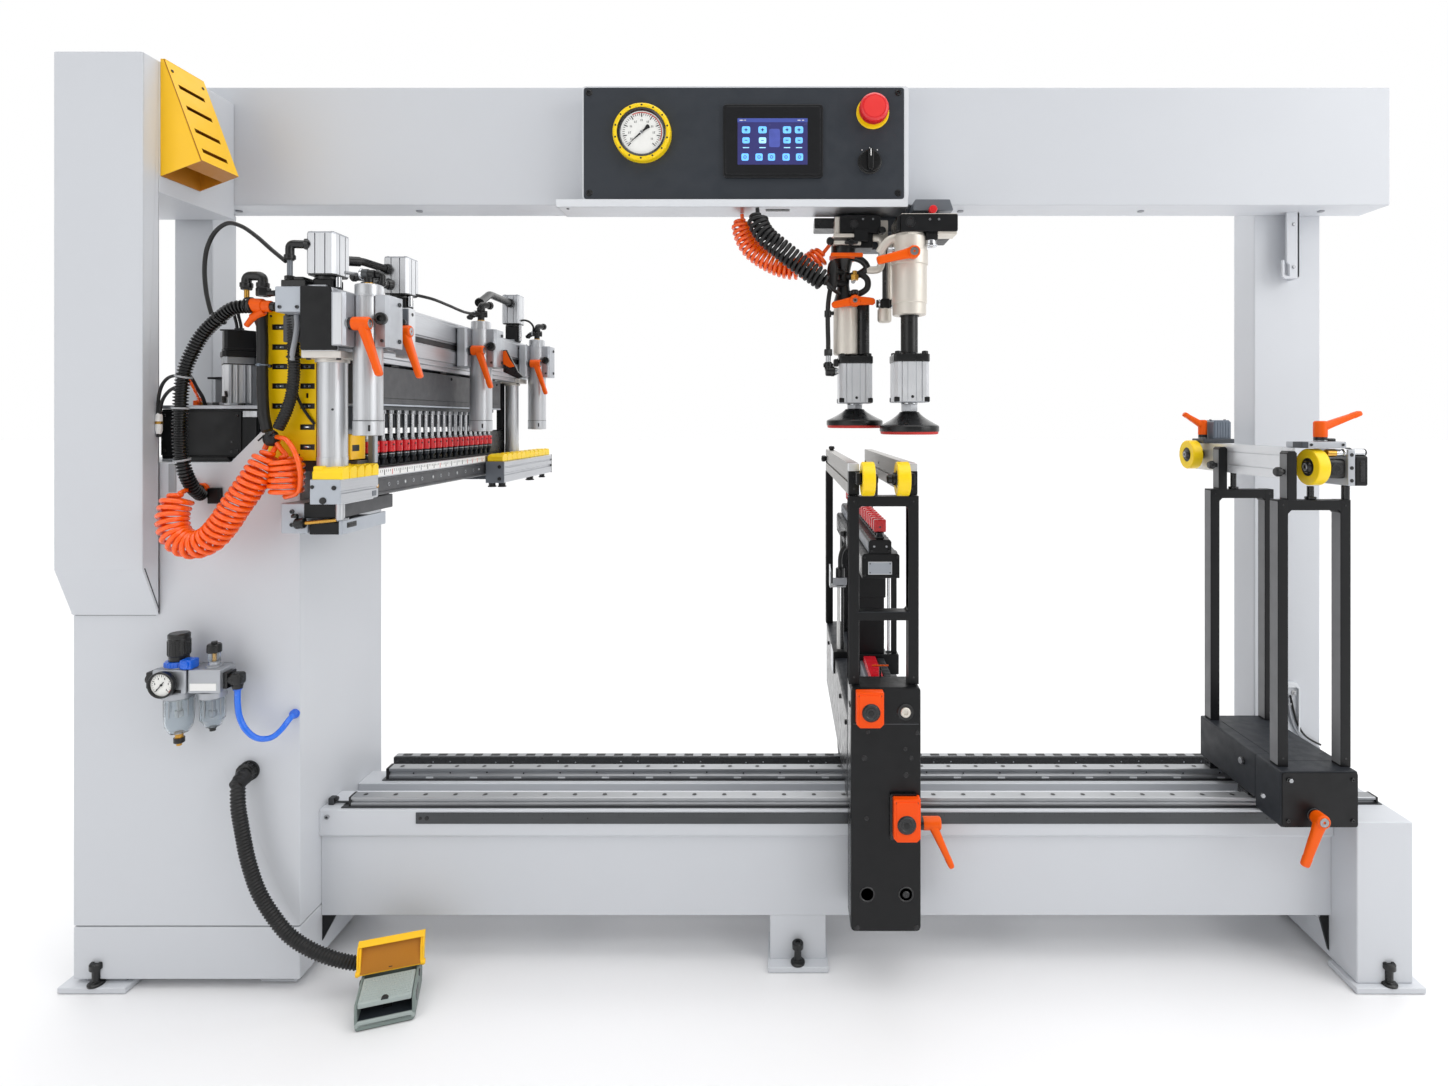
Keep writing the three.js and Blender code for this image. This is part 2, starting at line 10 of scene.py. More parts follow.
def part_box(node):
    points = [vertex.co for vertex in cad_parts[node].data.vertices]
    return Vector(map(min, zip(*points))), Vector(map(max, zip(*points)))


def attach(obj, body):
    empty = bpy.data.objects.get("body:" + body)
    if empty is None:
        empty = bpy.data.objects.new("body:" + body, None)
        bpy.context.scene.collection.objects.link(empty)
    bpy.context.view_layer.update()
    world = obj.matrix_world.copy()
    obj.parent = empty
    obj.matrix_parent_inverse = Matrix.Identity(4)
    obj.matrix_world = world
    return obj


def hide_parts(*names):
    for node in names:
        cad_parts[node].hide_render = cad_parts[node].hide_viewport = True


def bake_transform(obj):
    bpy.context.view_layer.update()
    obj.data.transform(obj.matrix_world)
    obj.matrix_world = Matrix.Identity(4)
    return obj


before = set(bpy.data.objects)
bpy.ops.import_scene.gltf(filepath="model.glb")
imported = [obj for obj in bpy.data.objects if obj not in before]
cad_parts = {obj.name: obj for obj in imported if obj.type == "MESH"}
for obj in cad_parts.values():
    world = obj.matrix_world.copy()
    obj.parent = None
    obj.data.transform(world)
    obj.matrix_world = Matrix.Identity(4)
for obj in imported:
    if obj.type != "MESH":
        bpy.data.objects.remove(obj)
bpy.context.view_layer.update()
_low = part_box("cabinet_column")[0]
OFF = np.array([_low[0] * 1000 + 1364, _low[1] * 1000 + 8, 0.0])


def P(p):
    return (np.asarray(p, float) + OFF) / 1000


# ------------------------------------------------------------------ materials
MAT = {}


def lin(rgb):
    return tuple((c / 255 / 12.92) if c / 255 <= 0.04045 else ((c / 255 + 0.055) / 1.055) ** 2.4 for c in rgb) + (1.0,)


def material(name, rgb, rough=0.5, metal=0.0, var=0.05, var_scale=9.0, rvar=0.08, bump=0.1, bump_scale=900.0, grain=None,
             coat=0.0, sheen=0.0, trans=0.0, ior=1.5, spec=0.5, emit=0.0, sss=0.0, dirt=0.0):
    """A principled material with colour variation, uneven gloss and a fine bump. grain stretches the bump and gloss
    along one axis, as brushing does; dirt darkens low patches."""
    m = bpy.data.materials.new(name)
    m.use_nodes = True
    nt = m.node_tree
    N, L = nt.nodes, nt.links
    bsdf = N["Principled BSDF"]
    co = N.new("ShaderNodeTexCoord").outputs["Object"]

    def noise(scale, detail=3.0, stretch=None, rough_=0.5):
        src = co
        if stretch:
            mp = N.new("ShaderNodeMapping")
            mp.inputs["Scale"].default_value = stretch
            L.new(co, mp.inputs["Vector"])
            src = mp.outputs["Vector"]
        n = N.new("ShaderNodeTexNoise")
        n.inputs["Scale"].default_value = scale
        n.inputs["Detail"].default_value = detail
        n.inputs["Roughness"].default_value = rough_
        L.new(src, n.inputs["Vector"])
        return n.outputs["Fac"]

    def ramp(src, lo, hi, a, b):
        r = N.new("ShaderNodeMapRange")
        r.inputs["From Min"].default_value, r.inputs["From Max"].default_value = lo, hi
        r.inputs["To Min"].default_value, r.inputs["To Max"].default_value = a, b
        L.new(src, r.inputs["Value"])
        return r.outputs["Result"]

    base = lin(rgb)
    dark = tuple(c * (1 - var) for c in base[:3]) + (1,)
    light = tuple(min(1.0, c * (1 + var)) for c in base[:3]) + (1,)
    mix = N.new("ShaderNodeMix")
    mix.data_type = "RGBA"
    mix.inputs["A"].default_value, mix.inputs["B"].default_value = dark, light
    L.new(ramp(noise(var_scale, 4.0), 0.3, 0.7, 0, 1), mix.inputs["Factor"])
    colour = mix.outputs["Result"]
    if grain:
        stretch = {"x": (0.02, 1, 1), "y": (1, 0.02, 1), "z": (1, 1, 0.02)}[grain]
        g = noise(520.0, 3.0, stretch, 0.65)
        gm = N.new("ShaderNodeMix")
        gm.data_type = "RGBA"
        gm.blend_type = "MULTIPLY"
        gm.inputs["Factor"].default_value = 1.0
        cr = N.new("ShaderNodeValToRGB")
        cr.color_ramp.elements[0].position, cr.color_ramp.elements[1].position = 0.3, 0.7
        cr.color_ramp.elements[0].color = (0.84, 0.84, 0.84, 1)
        cr.color_ramp.elements[1].color = (1, 1, 1, 1)
        L.new(g, cr.inputs["Fac"])
        L.new(colour, gm.inputs["A"])
        L.new(cr.outputs["Color"], gm.inputs["B"])
        colour = gm.outputs["Result"]
    if dirt:
        dm = N.new("ShaderNodeMix")
        dm.data_type = "RGBA"
        dm.inputs["B"].default_value = tuple(c * 0.55 for c in base[:3]) + (1,)
        L.new(ramp(noise(23.0, 6.0, None, 0.7), 0.56, 0.72, 0, dirt), dm.inputs["Factor"])
        L.new(colour, dm.inputs["A"])
        colour = dm.outputs["Result"]
    L.new(colour, bsdf.inputs["Base Color"])
    rn = noise(var_scale * 5, 4.0) if not grain else g
    L.new(ramp(rn, 0.3, 0.7, max(0.03, rough - rvar), min(1.0, rough + rvar)), bsdf.inputs["Roughness"])
    bsdf.inputs["Metallic"].default_value = metal
    bsdf.inputs["Coat Weight"].default_value = coat
    bsdf.inputs["Coat Roughness"].default_value = 0.18
    bsdf.inputs["IOR"].default_value = ior
    bsdf.inputs["Specular IOR Level"].default_value = spec
    bsdf.inputs["Transmission Weight"].default_value = trans
    if sheen:
        bsdf.inputs["Sheen Weight"].default_value = sheen
    if emit:
        L.new(colour, bsdf.inputs["Emission Color"])
        bsdf.inputs["Emission Strength"].default_value = emit
    if sss:
        bsdf.inputs["Subsurface Weight"].default_value = sss
        bsdf.inputs["Subsurface Scale"].default_value = 0.003
    if bump:
        b = N.new("ShaderNodeBump")
        b.inputs["Strength"].default_value = bump
        b.inputs["Distance"].default_value = 0.0004
        L.new(g if grain else noise(bump_scale, 2.0), b.inputs["Height"])
        L.new(b.outputs["Normal"], bsdf.inputs["Normal"])
    MAT[name] = m
    return m


material("paint", (206, 209, 214), 0.42, var=0.012, var_scale=2.0, bump=0.12, bump_scale=700, rvar=0.05)
# a darker copy of the grey paint: painted shade under the cabinet and gearbox, under the beam and on a plate's inset
material("paint_painted_shade", (150, 153, 158), 0.6, var=0.03, bump=0.1)
material("seam", (70, 72, 75), 0.7, var=0.05)
material("slate", (52, 57, 64), 0.42, var=0.04, bump=0.18, bump_scale=1400)
material("slate_dark", (37, 40, 45), 0.46, var=0.04, bump=0.18, bump_scale=1400, spec=0.3)
material("plate", (44, 49, 56), 0.46, var=0.03, bump=0.15, bump_scale=1800)
material("border", (222, 225, 229), 0.35, var=0.02, bump=0.05)
material("black", (13, 14, 16), 0.42, var=0.12, bump=0.2, bump_scale=1500, spec=0.3)
material("black_steel", (15, 16, 18), 0.26, metal=0.0, var=0.15, bump=0.1, spec=0.6)
material("rubber", (11, 11, 12), 0.5, var=0.1, bump=0.25, bump_scale=1100, rvar=0.1)
material("plastic", (13, 14, 15), 0.3, var=0.08, bump=0.12, bump_scale=1700)
material("yellow", (255, 198, 16), 0.38, var=0.02, bump=0.1, bump_scale=700, coat=0.15)
# a darker copy of the yellow paint: painted shade on the back faces, rims and insides of yellow parts
material("yellow_painted_shade", (176, 112, 14), 0.5, var=0.06)
material("lemon", (255, 214, 4), 0.42, var=0.03, bump=0.15, sss=0.08)
material("orange", (238, 92, 0), 0.42, var=0.03, bump=0.08, bump_scale=900, spec=0.25)
material("orange_box", (246, 80, 0), 0.44, var=0.03, bump=0.12, spec=0.25)
material("coil", (255, 96, 0), 0.26, var=0.03, bump=0.02, sss=0.15, coat=0.35)
material("alu", (210, 212, 215), 0.38, metal=0.78, var=0.03, grain="z", bump=0.06)
material("alu_y", (198, 200, 204), 0.38, metal=0.9, var=0.03, grain="y", bump=0.06)
material("alu_x", (198, 200, 204), 0.38, metal=0.9, var=0.03, grain="x", bump=0.06)
material("alu_cast", (176, 179, 184), 0.42, metal=0.75, var=0.04, bump=0.25, bump_scale=600)
material("champagne", (218, 212, 202), 0.46, metal=0.55, var=0.015, bump=0.06)
material("chrome", (205, 207, 210), 0.12, metal=1.0, var=0.02, bump=0.02, rvar=0.04)
material("steel", (158, 160, 163), 0.32, metal=0.95, var=0.05, bump=0.1, dirt=0.3)
material("steel_x", (172, 174, 177), 0.4, metal=0.8, var=0.06, grain="x", bump=0.1)
material("steel_dark", (84, 86, 88), 0.42, metal=0.85, var=0.08, grain="x", bump=0.12)
material("holder", (46, 50, 54), 0.3, metal=0.6, var=0.1, bump=0.1)
material("brass", (196, 150, 70), 0.28, metal=0.95, var=0.05, bump=0.05)
material("red", (205, 22, 40), 0.3, var=0.03, bump=0.06, coat=0.3)
material("red_cap", (222, 28, 34), 0.3, var=0.02, bump=0.04, coat=0.3)
# a lighter copy of the cap red for the button's face: painted highlight
material("red_cap_painted_highlight", (236, 58, 56), 0.35, var=0.02, bump=0.03)
material("red_rubber", (196, 40, 34), 0.5, var=0.05, bump=0.15)
material("blue", (20, 98, 214), 0.3, var=0.03, bump=0.05, coat=0.2)
material("blue_tube", (28, 112, 232), 0.22, var=0.02, bump=0.02, coat=0.4, sss=0.1)
material("white", (236, 236, 234), 0.35, var=0.02, bump=0.05)
material("dial", (244, 244, 240), 0.35, var=0.01, bump=0.02)
material("ink", (24, 24, 26), 0.5, var=0.05)
material("dial_red", (214, 62, 48), 0.45, var=0.03)
material("pedal", (122, 135, 131), 0.5, var=0.05, bump=0.3, bump_scale=800)
material("pedal_light", (163, 174, 171), 0.45, var=0.04, bump=0.3, bump_scale=900)
material("slate_blue", (104, 114, 126), 0.45, var=0.04, bump=0.15)
material("grey_cable", (158, 161, 166), 0.5, var=0.04, bump=0.1)
material("tie", (150, 152, 155), 0.45, var=0.04)
material("bowl", (228, 234, 238), 0.08, var=0.01, trans=0.92, ior=1.3, bump=0.0, rvar=0.03)
material("screen_black", (16, 17, 20), 0.16, var=0.05, bump=0.0, coat=0.4)
material("screen_back", (52, 52, 104), 0.2, var=0.06, bump=0.0, emit=0.35, var_scale=14)
material("screen_bar", (66, 78, 148), 0.2, var=0.05, bump=0.0, emit=0.4)
material("screen_icon", (104, 176, 238), 0.2, var=0.1, bump=0.0, emit=0.75, var_scale=160)
material("screen_icon2", (150, 206, 250), 0.2, var=0.1, bump=0.0, emit=0.8, var_scale=160)
material("screen_cell", (74, 84, 158), 0.2, var=0.1, bump=0.0, emit=0.4, var_scale=60)
material("scale_strip", (214, 212, 206), 0.35, metal=0.4, var=0.03, grain="x", bump=0.04)


# ------------------------------------------------------------------ mesh builder
_TOPO = {}


def _cube_topology(seg):
    if seg not in _TOPO:
        n = 2 * seg + 1
        ids, faces = {}, []

        def vid(p):
            return ids.setdefault(p, len(ids))
        for ax in range(3):
            o1, o2 = (ax + 1) % 3, (ax + 2) % 3
            for side in (0, n):
                for i in range(n):
                    for j in range(n):
                        quad = []
                        for a, b in ((i, j), (i + 1, j), (i + 1, j + 1), (i, j + 1)):
                            p = [0, 0, 0]
                            p[ax], p[o1], p[o2] = side, a, b
                            quad.append(vid(tuple(p)))
                        faces.append(tuple(quad) if side else tuple(reversed(quad)))
        grid = np.array(sorted(ids, key=ids.get))
        t = np.where(grid <= seg, -1 + grid / seg, (grid - seg - 1) / seg)
        d = t / np.linalg.norm(t, axis=1)[:, None]
        _TOPO[seg] = (grid > seg, d, faces)
    return _TOPO[seg]


def basis(d):
    d = np.asarray(d, float)
    d = d / np.linalg.norm(d)
    a = np.array([0, 0, 1.0]) if abs(d[2]) < 0.9 else np.array([1.0, 0, 0])
    u = np.cross(a, d)
    u /= np.linalg.norm(u)
    return u, np.cross(d, u), d


def smooth(points, n):
    """n + 1 points at equal distances along a centripetal Catmull-Rom curve through the given ones."""
    p = [np.asarray(q, float) for q in points]
    p = [2 * p[0] - p[1]] + p + [2 * p[-1] - p[-2]]
    out = []
    for i in range(1, len(p) - 2):
        p0, p1, p2, p3 = p[i - 1:i + 3]
        t0 = 0.0
        t1 = t0 + max(1e-6, np.linalg.norm(p1 - p0)) ** 0.5
        t2 = t1 + max(1e-6, np.linalg.norm(p2 - p1)) ** 0.5
        t3 = t2 + max(1e-6, np.linalg.norm(p3 - p2)) ** 0.5
        for t in np.linspace(t1, t2, 16, endpoint=False):
            a1 = (t1 - t) / (t1 - t0) * p0 + (t - t0) / (t1 - t0) * p1
            a2 = (t2 - t) / (t2 - t1) * p1 + (t - t1) / (t2 - t1) * p2
            a3 = (t3 - t) / (t3 - t2) * p2 + (t - t2) / (t3 - t2) * p3
            b1 = (t2 - t) / (t2 - t0) * a1 + (t - t0) / (t2 - t0) * a2
            b2 = (t3 - t) / (t3 - t1) * a2 + (t - t1) / (t3 - t1) * a3
            out.append((t2 - t) / (t2 - t1) * b1 + (t - t1) / (t2 - t1) * b2)
    out.append(p[-2])
    out = np.array(out)
    s = np.concatenate([[0], np.cumsum(np.linalg.norm(np.diff(out, axis=0), axis=1))])
    q = np.linspace(0, s[-1], n + 1)
    return np.stack([np.interp(q, s, out[:, k]) for k in range(3)], 1)


def path_length(p):
    return float(np.linalg.norm(np.diff(np.asarray(p, float), axis=0), axis=1).sum())


def transport(pts):
    """Two sideways directions at each point of a path, carried along without twist."""
    t = np.gradient(pts, axis=0)
    t /= np.linalg.norm(t, axis=1)[:, None]
    u, _, _ = basis(t[0])
    U = [u]
    for i in range(1, len(t)):
        w = U[-1] - t[i] * (U[-1] @ t[i])
        U.append(w / np.linalg.norm(w))
    U = np.array(U)
    return U, np.cross(t, U), t


def polygon_inset(pts, b):
    """Each point moved inward by b along its mitre; pts go counter-clockwise."""
    p = np.asarray(pts, float)
    e = np.roll(p, -1, 0) - p
    e /= np.maximum(1e-9, np.linalg.norm(e, axis=1))[:, None]
    nrm = np.stack([-e[:, 1], e[:, 0]], 1)
    prev = np.roll(nrm, 1, 0)
    m = prev + nrm
    m /= np.maximum(0.35, (m * m).sum(1) / 2)[:, None]
    return p + m * b


def round_corners(pts, r, n=3):
    out = []
    k = len(pts)
    for i in range(k):
        a, b, c = (np.asarray(pts[(i + j) % k], float) for j in (-1, 0, 1))
        la, lc = np.linalg.norm(a - b), np.linalg.norm(c - b)
        u, v = (a - b) / la, (c - b) / lc
        cosv = float(np.clip(u @ v, -1, 1))
        half = math.acos(cosv) / 2
        if half > math.pi / 2 - 0.12:
            out.append(b)
            continue
        d = min(r / math.tan(half), la * 0.45, lc * 0.45)
        for t in np.linspace(0, 1, n + 1):
            out.append((1 - t) ** 2 * (b + u * d) + 2 * t * (1 - t) * b + t * t * (b + v * d))
    return out


class B:
    """One piece, made of shells that each have a material; sizes in the CAD source's millimetres."""

    def __init__(self, name, body="machine", slot=None):
        self.name, self.body, self.slot = name, body, slot
        self.vs, self.fs, self.ms, self.mats, self.n = [], [], [], [], 0
        self.T = None
        self.cross = None

    def at(self, matrix=None):
        self.T = matrix
        return self

    def add(self, v, f, mat):
        v = np.asarray(v, float)
        if self.T is not None:
            m = np.array(self.T)
            v = v @ m[:3, :3].T + m[:3, 3]
        if mat not in self.mats:
            self.mats.append(mat)
        k = self.mats.index(mat)
        self.vs.append(v)
        n = self.n
        self.fs += [tuple(i + n for i in q) for q in f]
        self.ms += [k] * len(f)
        self.n += len(v)
        return self

    def box(self, x0, x1, y0, y1, z0, z1, mat, r=1.5, seg=1):
        lo, hi = np.array([x0, y0, z0], float), np.array([x1, y1, z1], float)
        r = min(r, float((hi - lo).min()) * 0.49)
        side, d, faces = _cube_topology(seg)
        c = np.where(side, hi - r, lo + r)
        return self.add(c + d * r, faces, mat)

    def lathe(self, o, d, prof, mat, seg=28, closed=False):
        """Profile of (radius, height) pairs turned about direction d from o."""
        u, w, d = basis(d)
        o = np.asarray(o, float)
        ang = np.arange(seg) * 2 * math.pi / seg
        ring = np.outer(np.cos(ang), u) + np.outer(np.sin(ang), w)
        vs, rows, n = [], [], 0
        for r, h in prof:
            if r < 1e-6:
                vs.append((o + d * h)[None])
                rows.append([n])
                n += 1
            else:
                vs.append(o + d * h + ring * r)
                rows.append(list(range(n, n + seg)))
                n += seg
        faces = []
        pairs = list(zip(rows, rows[1:])) + ([(rows[-1], rows[0])] if closed else [])
        for a, b in pairs:
            for i in range(seg):
                j = (i + 1) % seg
                if len(a) == 1 and len(b) == 1:
                    continue
                if len(a) == 1:
                    faces.append((a[0], b[j], b[i]))
                elif len(b) == 1:
                    faces.append((a[i], a[j], b[0]))
                else:
                    faces.append((a[i], a[j], b[j], b[i]))
        return self.add(np.vstack(vs), faces, mat)

    def cyl(self, o, d, r, h, mat, bev=0.8, seg=28, r2=None):
        r2 = r if r2 is None else r2
        bev = min(bev, r * 0.45, r2 * 0.45, abs(h) * 0.45)
        q = bev * 0.3
        return self.lathe(o, d, [(0, 0), (r - bev, 0), (r - q, q), (r, bev), (r2, h - bev), (r2 - q, h - q), (r2 - bev, h), (0, h)], mat, seg)

    def pin(self, a, b, r, mat, bev=0.8, seg=20, r2=None):
        a, b = np.asarray(a, float), np.asarray(b, float)
        return self.cyl(a, b - a, r, float(np.linalg.norm(b - a)), mat, bev, seg, r2)

    def ring(self, o, d, r0, r1, h, mat, bev=0.6, seg=28):
        bev = min(bev, (r1 - r0) * 0.4, h * 0.4)
        return self.lathe(o, d, [(r0, bev), (r0 + bev, 0), (r1 - bev, 0), (r1, bev), (r1, h - bev), (r1 - bev, h), (r0 + bev, h), (r0, h - bev)], mat, seg, closed=True)

    def prism(self, axis, pts, p0, p1, mat, b=1.0, rc=0.0, n=3):
        """A polygon along an axis: 'y' takes (x, z), 'x' takes (y, z), 'z' takes (x, y)."""
        p = [np.asarray(q, float) for q in pts]
        area = sum(p[i][0] * p[(i + 1) % len(p)][1] - p[(i + 1) % len(p)][0] * p[i][1] for i in range(len(p)))
        if area < 0:
            p = p[::-1]
        if rc:
            p = round_corners(p, rc, n)
        p = np.array(p)
        b = min(b, (p1 - p0) * 0.3)
        inner, mid = polygon_inset(p, b), polygon_inset(p, b * 0.3)
        layers = [(inner, p0), (mid, p0 + b * 0.3), (p, p0 + b), (p, p1 - b), (mid, p1 - b * 0.3), (inner, p1)] if b > 0 else [(p, p0), (p, p1)]

        def place(q, h):
            h = np.full(len(q), h)
            return np.stack({"x": (h, q[:, 0], q[:, 1]), "y": (q[:, 0], h, q[:, 1]), "z": (q[:, 0], q[:, 1], h)}[axis], 1)
        k = len(p)
        vs = np.vstack([place(q, h) for q, h in layers])
        faces = []
        for a in range(len(layers) - 1):
            for i in range(k):
                j = (i + 1) % k
                faces.append((a * k + i, a * k + j, (a + 1) * k + j, (a + 1) * k + i))
        last = (len(layers) - 1) * k
        faces.append(tuple(reversed(range(k))))
        faces.append(tuple(range(last, last + k)))
        if axis == "y":
            faces = [tuple(reversed(f)) for f in faces]
        return self.add(vs, faces, mat)

    def quadstrip(self, rings, mat, cap=True, loop=True):
        rings = [np.asarray(r, float) for r in rings]
        k = len(rings[0])
        faces = []
        for a in range(len(rings) - 1):
            for i in range(k if loop else k - 1):
                j = (i + 1) % k
                faces.append((a * k + i, a * k + j, (a + 1) * k + j, (a + 1) * k + i))
        if cap:
            faces.append(tuple(reversed(range(k))))
            faces.append(tuple(range((len(rings) - 1) * k, len(rings) * k)))
        return self.add(np.vstack(rings), faces, mat)

    def tube(self, pts, r, mat, seg=12, cap=True, radii=None, flat=None):
        """A sweep along points. radii may differ per point; flat = (direction, factor) squeezes the section."""
        pts = np.asarray(pts, float)
        U, W, t = transport(pts)
        ang = np.arange(seg) * 2 * math.pi / seg
        rings = []
        for i in range(len(pts)):
            rr = r if radii is None else radii[i]
            off = np.outer(np.cos(ang), U[i]) * rr + np.outer(np.sin(ang), W[i]) * rr
            if flat is not None:
                fd = np.asarray(flat[0], float) / np.linalg.norm(flat[0])
                off = off - np.outer(off @ fd, fd) * (1 - flat[1])
            rings.append(pts[i] + off)
        return self.quadstrip(rings, mat, cap)

    def hexnut(self, o, d, af, h, mat, hole=0.0):
        u, w, d = basis(d)
        o = np.asarray(o, float)
        rr = af / math.sqrt(3)
        ang = np.arange(6) * math.pi / 3
        ring = lambda s, hh: o + d * hh + (np.outer(np.cos(ang), u) + np.outer(np.sin(ang), w)) * rr * s
        return self.quadstrip([ring(0.9, 0), ring(1, h * 0.12), ring(1, h * 0.88), ring(0.9, h)], mat)

    def socket(self, o, d, r, h, mat="black_steel", dark="ink"):
        """A cap screw with its hexagon recess, whose floor is a dark plug: painted shade."""
        self.lathe(o, d, [(0, 0), (r, 0), (r, h - r * 0.15), (r * 0.85, h), (r * 0.56, h), (r * 0.5, h - r * 0.1), (r * 0.5, h * 0.45)], mat, 16)
        u, w, dd = basis(d)
        return self.cyl(np.asarray(o, float) + dd * h * 0.4, d, r * 0.5, h * 0.12, dark, 0.05, 6)

    def done(self, *replaced, angle=35):
        mesh = bpy.data.meshes.new(self.name)
        mesh.from_pydata(P(np.vstack(self.vs)).tolist(), [], self.fs)
        for m in self.mats:
            mesh.materials.append(MAT[m])
        mesh.polygons.foreach_set("material_index", self.ms)
        mesh.polygons.foreach_set("use_smooth", [True] * len(self.fs))
        mesh.update()
        mesh.set_sharp_from_angle(angle=math.radians(angle))
        o = bpy.data.objects.new(self.name, mesh)
        bpy.context.scene.collection.objects.link(o)
        w = o.modifiers.new("normals", "WEIGHTED_NORMAL")
        w.keep_sharp = True
        w.weight = 60
        if self.cross:
            list(P(self.cross[2]))
            list(P(self.cross[3]))
            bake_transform(o)
        else:
            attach(o, self.body)
        if replaced:
            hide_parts(*replaced)
        return o


def turn(axis, deg, c):
    """A turn about an axis through point c, in millimetres."""
    c = Vector(c)
    return Matrix.Translation(c) @ Matrix.Rotation(math.radians(deg), 4, axis) @ Matrix.Translation(-c)


def place(o, d, roll=None):
    """Puts a part built at the origin along +Z at point o, looking along d; its own x follows roll."""
    d = Vector(d).normalized()
    x = Vector(roll if roll is not None else basis(d)[0])
    x = (x - d * x.dot(d)).normalized()
    y = d.cross(x)
    m = Matrix((x, y, d)).transposed().to_4x4()
    m.translation = Vector(o)
    return m


# ------------------------------------------------------------------ camera, lights, floor
sc = bpy.context.scene
cam_data = bpy.data.cameras.new("camera")
cam = bpy.data.objects.new("camera", cam_data)
sc.collection.objects.link(cam)
cam.location = P((0, -1461, 1083))
cam.rotation_euler = (math.pi / 2, 0, 0)
cam_data.sensor_width = 36
cam_data.lens = 36 * 769 / 1448
cam_data.shift_x = -0.0387
cam_data.shift_y = -0.0849
cam_data.clip_start, cam_data.clip_end = 0.05, 60
cam_data.dof.use_dof = False
sc.camera = cam

sc.view_settings.view_transform = "Standard"
sc.view_settings.look = "None"

world = bpy.data.worlds.new("studio")
sc.world = world
world.use_nodes = True
wn, wl = world.node_tree.nodes, world.node_tree.links
bg = wn["Background"]
tc = wn.new("ShaderNodeTexCoord")
sep = wn.new("ShaderNodeSeparateXYZ")
wl.new(tc.outputs["Generated"], sep.inputs["Vector"])
wr = wn.new("ShaderNodeMapRange")
wr.inputs["From Min"].default_value, wr.inputs["From Max"].default_value = -0.7, 0.45
wr.inputs["To Min"].default_value, wr.inputs["To Max"].default_value = 0.3, 1.0
wl.new(sep.outputs["Y"], wr.inputs["Value"])
wl.new(wr.outputs["Result"], bg.inputs["Strength"])
bg.inputs["Color"].default_value = (1.0, 1.0, 1.0, 1)


def area(name, at, target, size, power, colour=(1, 1, 1)):
    d = bpy.data.lights.new(name, "AREA")
    d.shape = "RECTANGLE"
    d.size, d.size_y = size
    d.energy = power
    d.color = colour
    o = bpy.data.objects.new(name, d)
    sc.collection.objects.link(o)
    o.location = P(at)
    o.rotation_mode = "QUATERNION"
    o.rotation_quaternion = (Vector(P(target)) - Vector(P(at))).to_track_quat("-Z", "Y")
    o.visible_camera = False
    return o


area("key", (3300, -1700, 2300), (0, 100, 800), (2.4, 2.4), 50)
area("fill", (-2300, -2600, 1700), (-300, 100, 800), (2.2, 2.2), 16)
area("back", (600, 3200, 2500), (0, 200, 700), (3.0, 2.0), 14)
sun = bpy.data.lights.new("overhead", "SUN")
sun.energy, sun.angle = 1.7, math.radians(70)
so = bpy.data.objects.new("overhead", sun)
sc.collection.objects.link(so)
so.rotation_euler = (math.radians(8), math.radians(6), 0)

floor_mat = material("floor", (240, 240, 241), 0.34, var=0.004, var_scale=1.0, rvar=0.02, bump=0.0, spec=0.35)
fm = bpy.data.meshes.new("floor")
S = 40.0
fm.from_pydata([(-S, -S, -0.0005), (S, -S, -0.0005), (S, S, -0.0005), (-S, S, -0.0005)], [], [(0, 1, 2, 3)])
fm.materials.append(floor_mat)
fl = bpy.data.objects.new("floor", fm)
sc.collection.objects.link(fl)


# ------------------------------------------------------------------ cords
def hose(name, pts, r, mat, slot, n=180, pitch=None, seg=14, replaced=(), rib=0.14, cross=None):
    """A hose along a run, plain or corrugated with the given rib pitch."""
    path = smooth(pts, 36)
    if pitch:
        length = path_length(path)
        count = max(4, int(round(length / pitch)))
        dense = smooth(pts, count * 4)
        k = np.arange(len(dense)) % 4
        radii = np.where((k == 0) | (k == 1), r, r * (1 - rib))
        radii[0] = radii[-1] = r * 0.9
    else:
        dense, radii = smooth(pts, n), None
    b = B(name, slot=slot)
    b.cross = cross
    b.tube(dense, r, mat, seg, radii=radii)
    o = b.done(*replaced, angle=60 if pitch else 35)
    list(P(path[0]))
    [list(P(q)) for q in path]
    return o


def coil(name, pts, R, r, turns, mat, slot, replaced=(), lead=None, tail=None, seg=8, squeeze=None):
    """A spring hose: turns of wire radius r at radius R about a run, with a straight lead at each end."""
    per = 16
    n = int(turns * per)
    c = smooth(pts, n)
    U, W, t = transport(c)
    ph = np.arange(n + 1) / per * 2 * math.pi
    grow = np.minimum(1, np.minimum(np.arange(n + 1), np.arange(n + 1)[::-1]) / (per * 1.1))
    grow = grow * grow * (3 - 2 * grow)
    h = c + (U * np.cos(ph)[:, None] + W * np.sin(ph)[:, None]) * (R * grow)[:, None]
    if lead is not None:
        h = np.vstack([smooth(list(lead) + [h[0]], 14)[:-1], h])
    if tail is not None:
        h = np.vstack([h, smooth([h[-1]] + list(tail), 14)[1:]])
    b = B(name, slot=slot)
    b.tube(h, r, mat, seg)
    o = b.done(*replaced, angle=60)
    list(P(h[0]))
    [list(P(q)) for q in h]
    return o


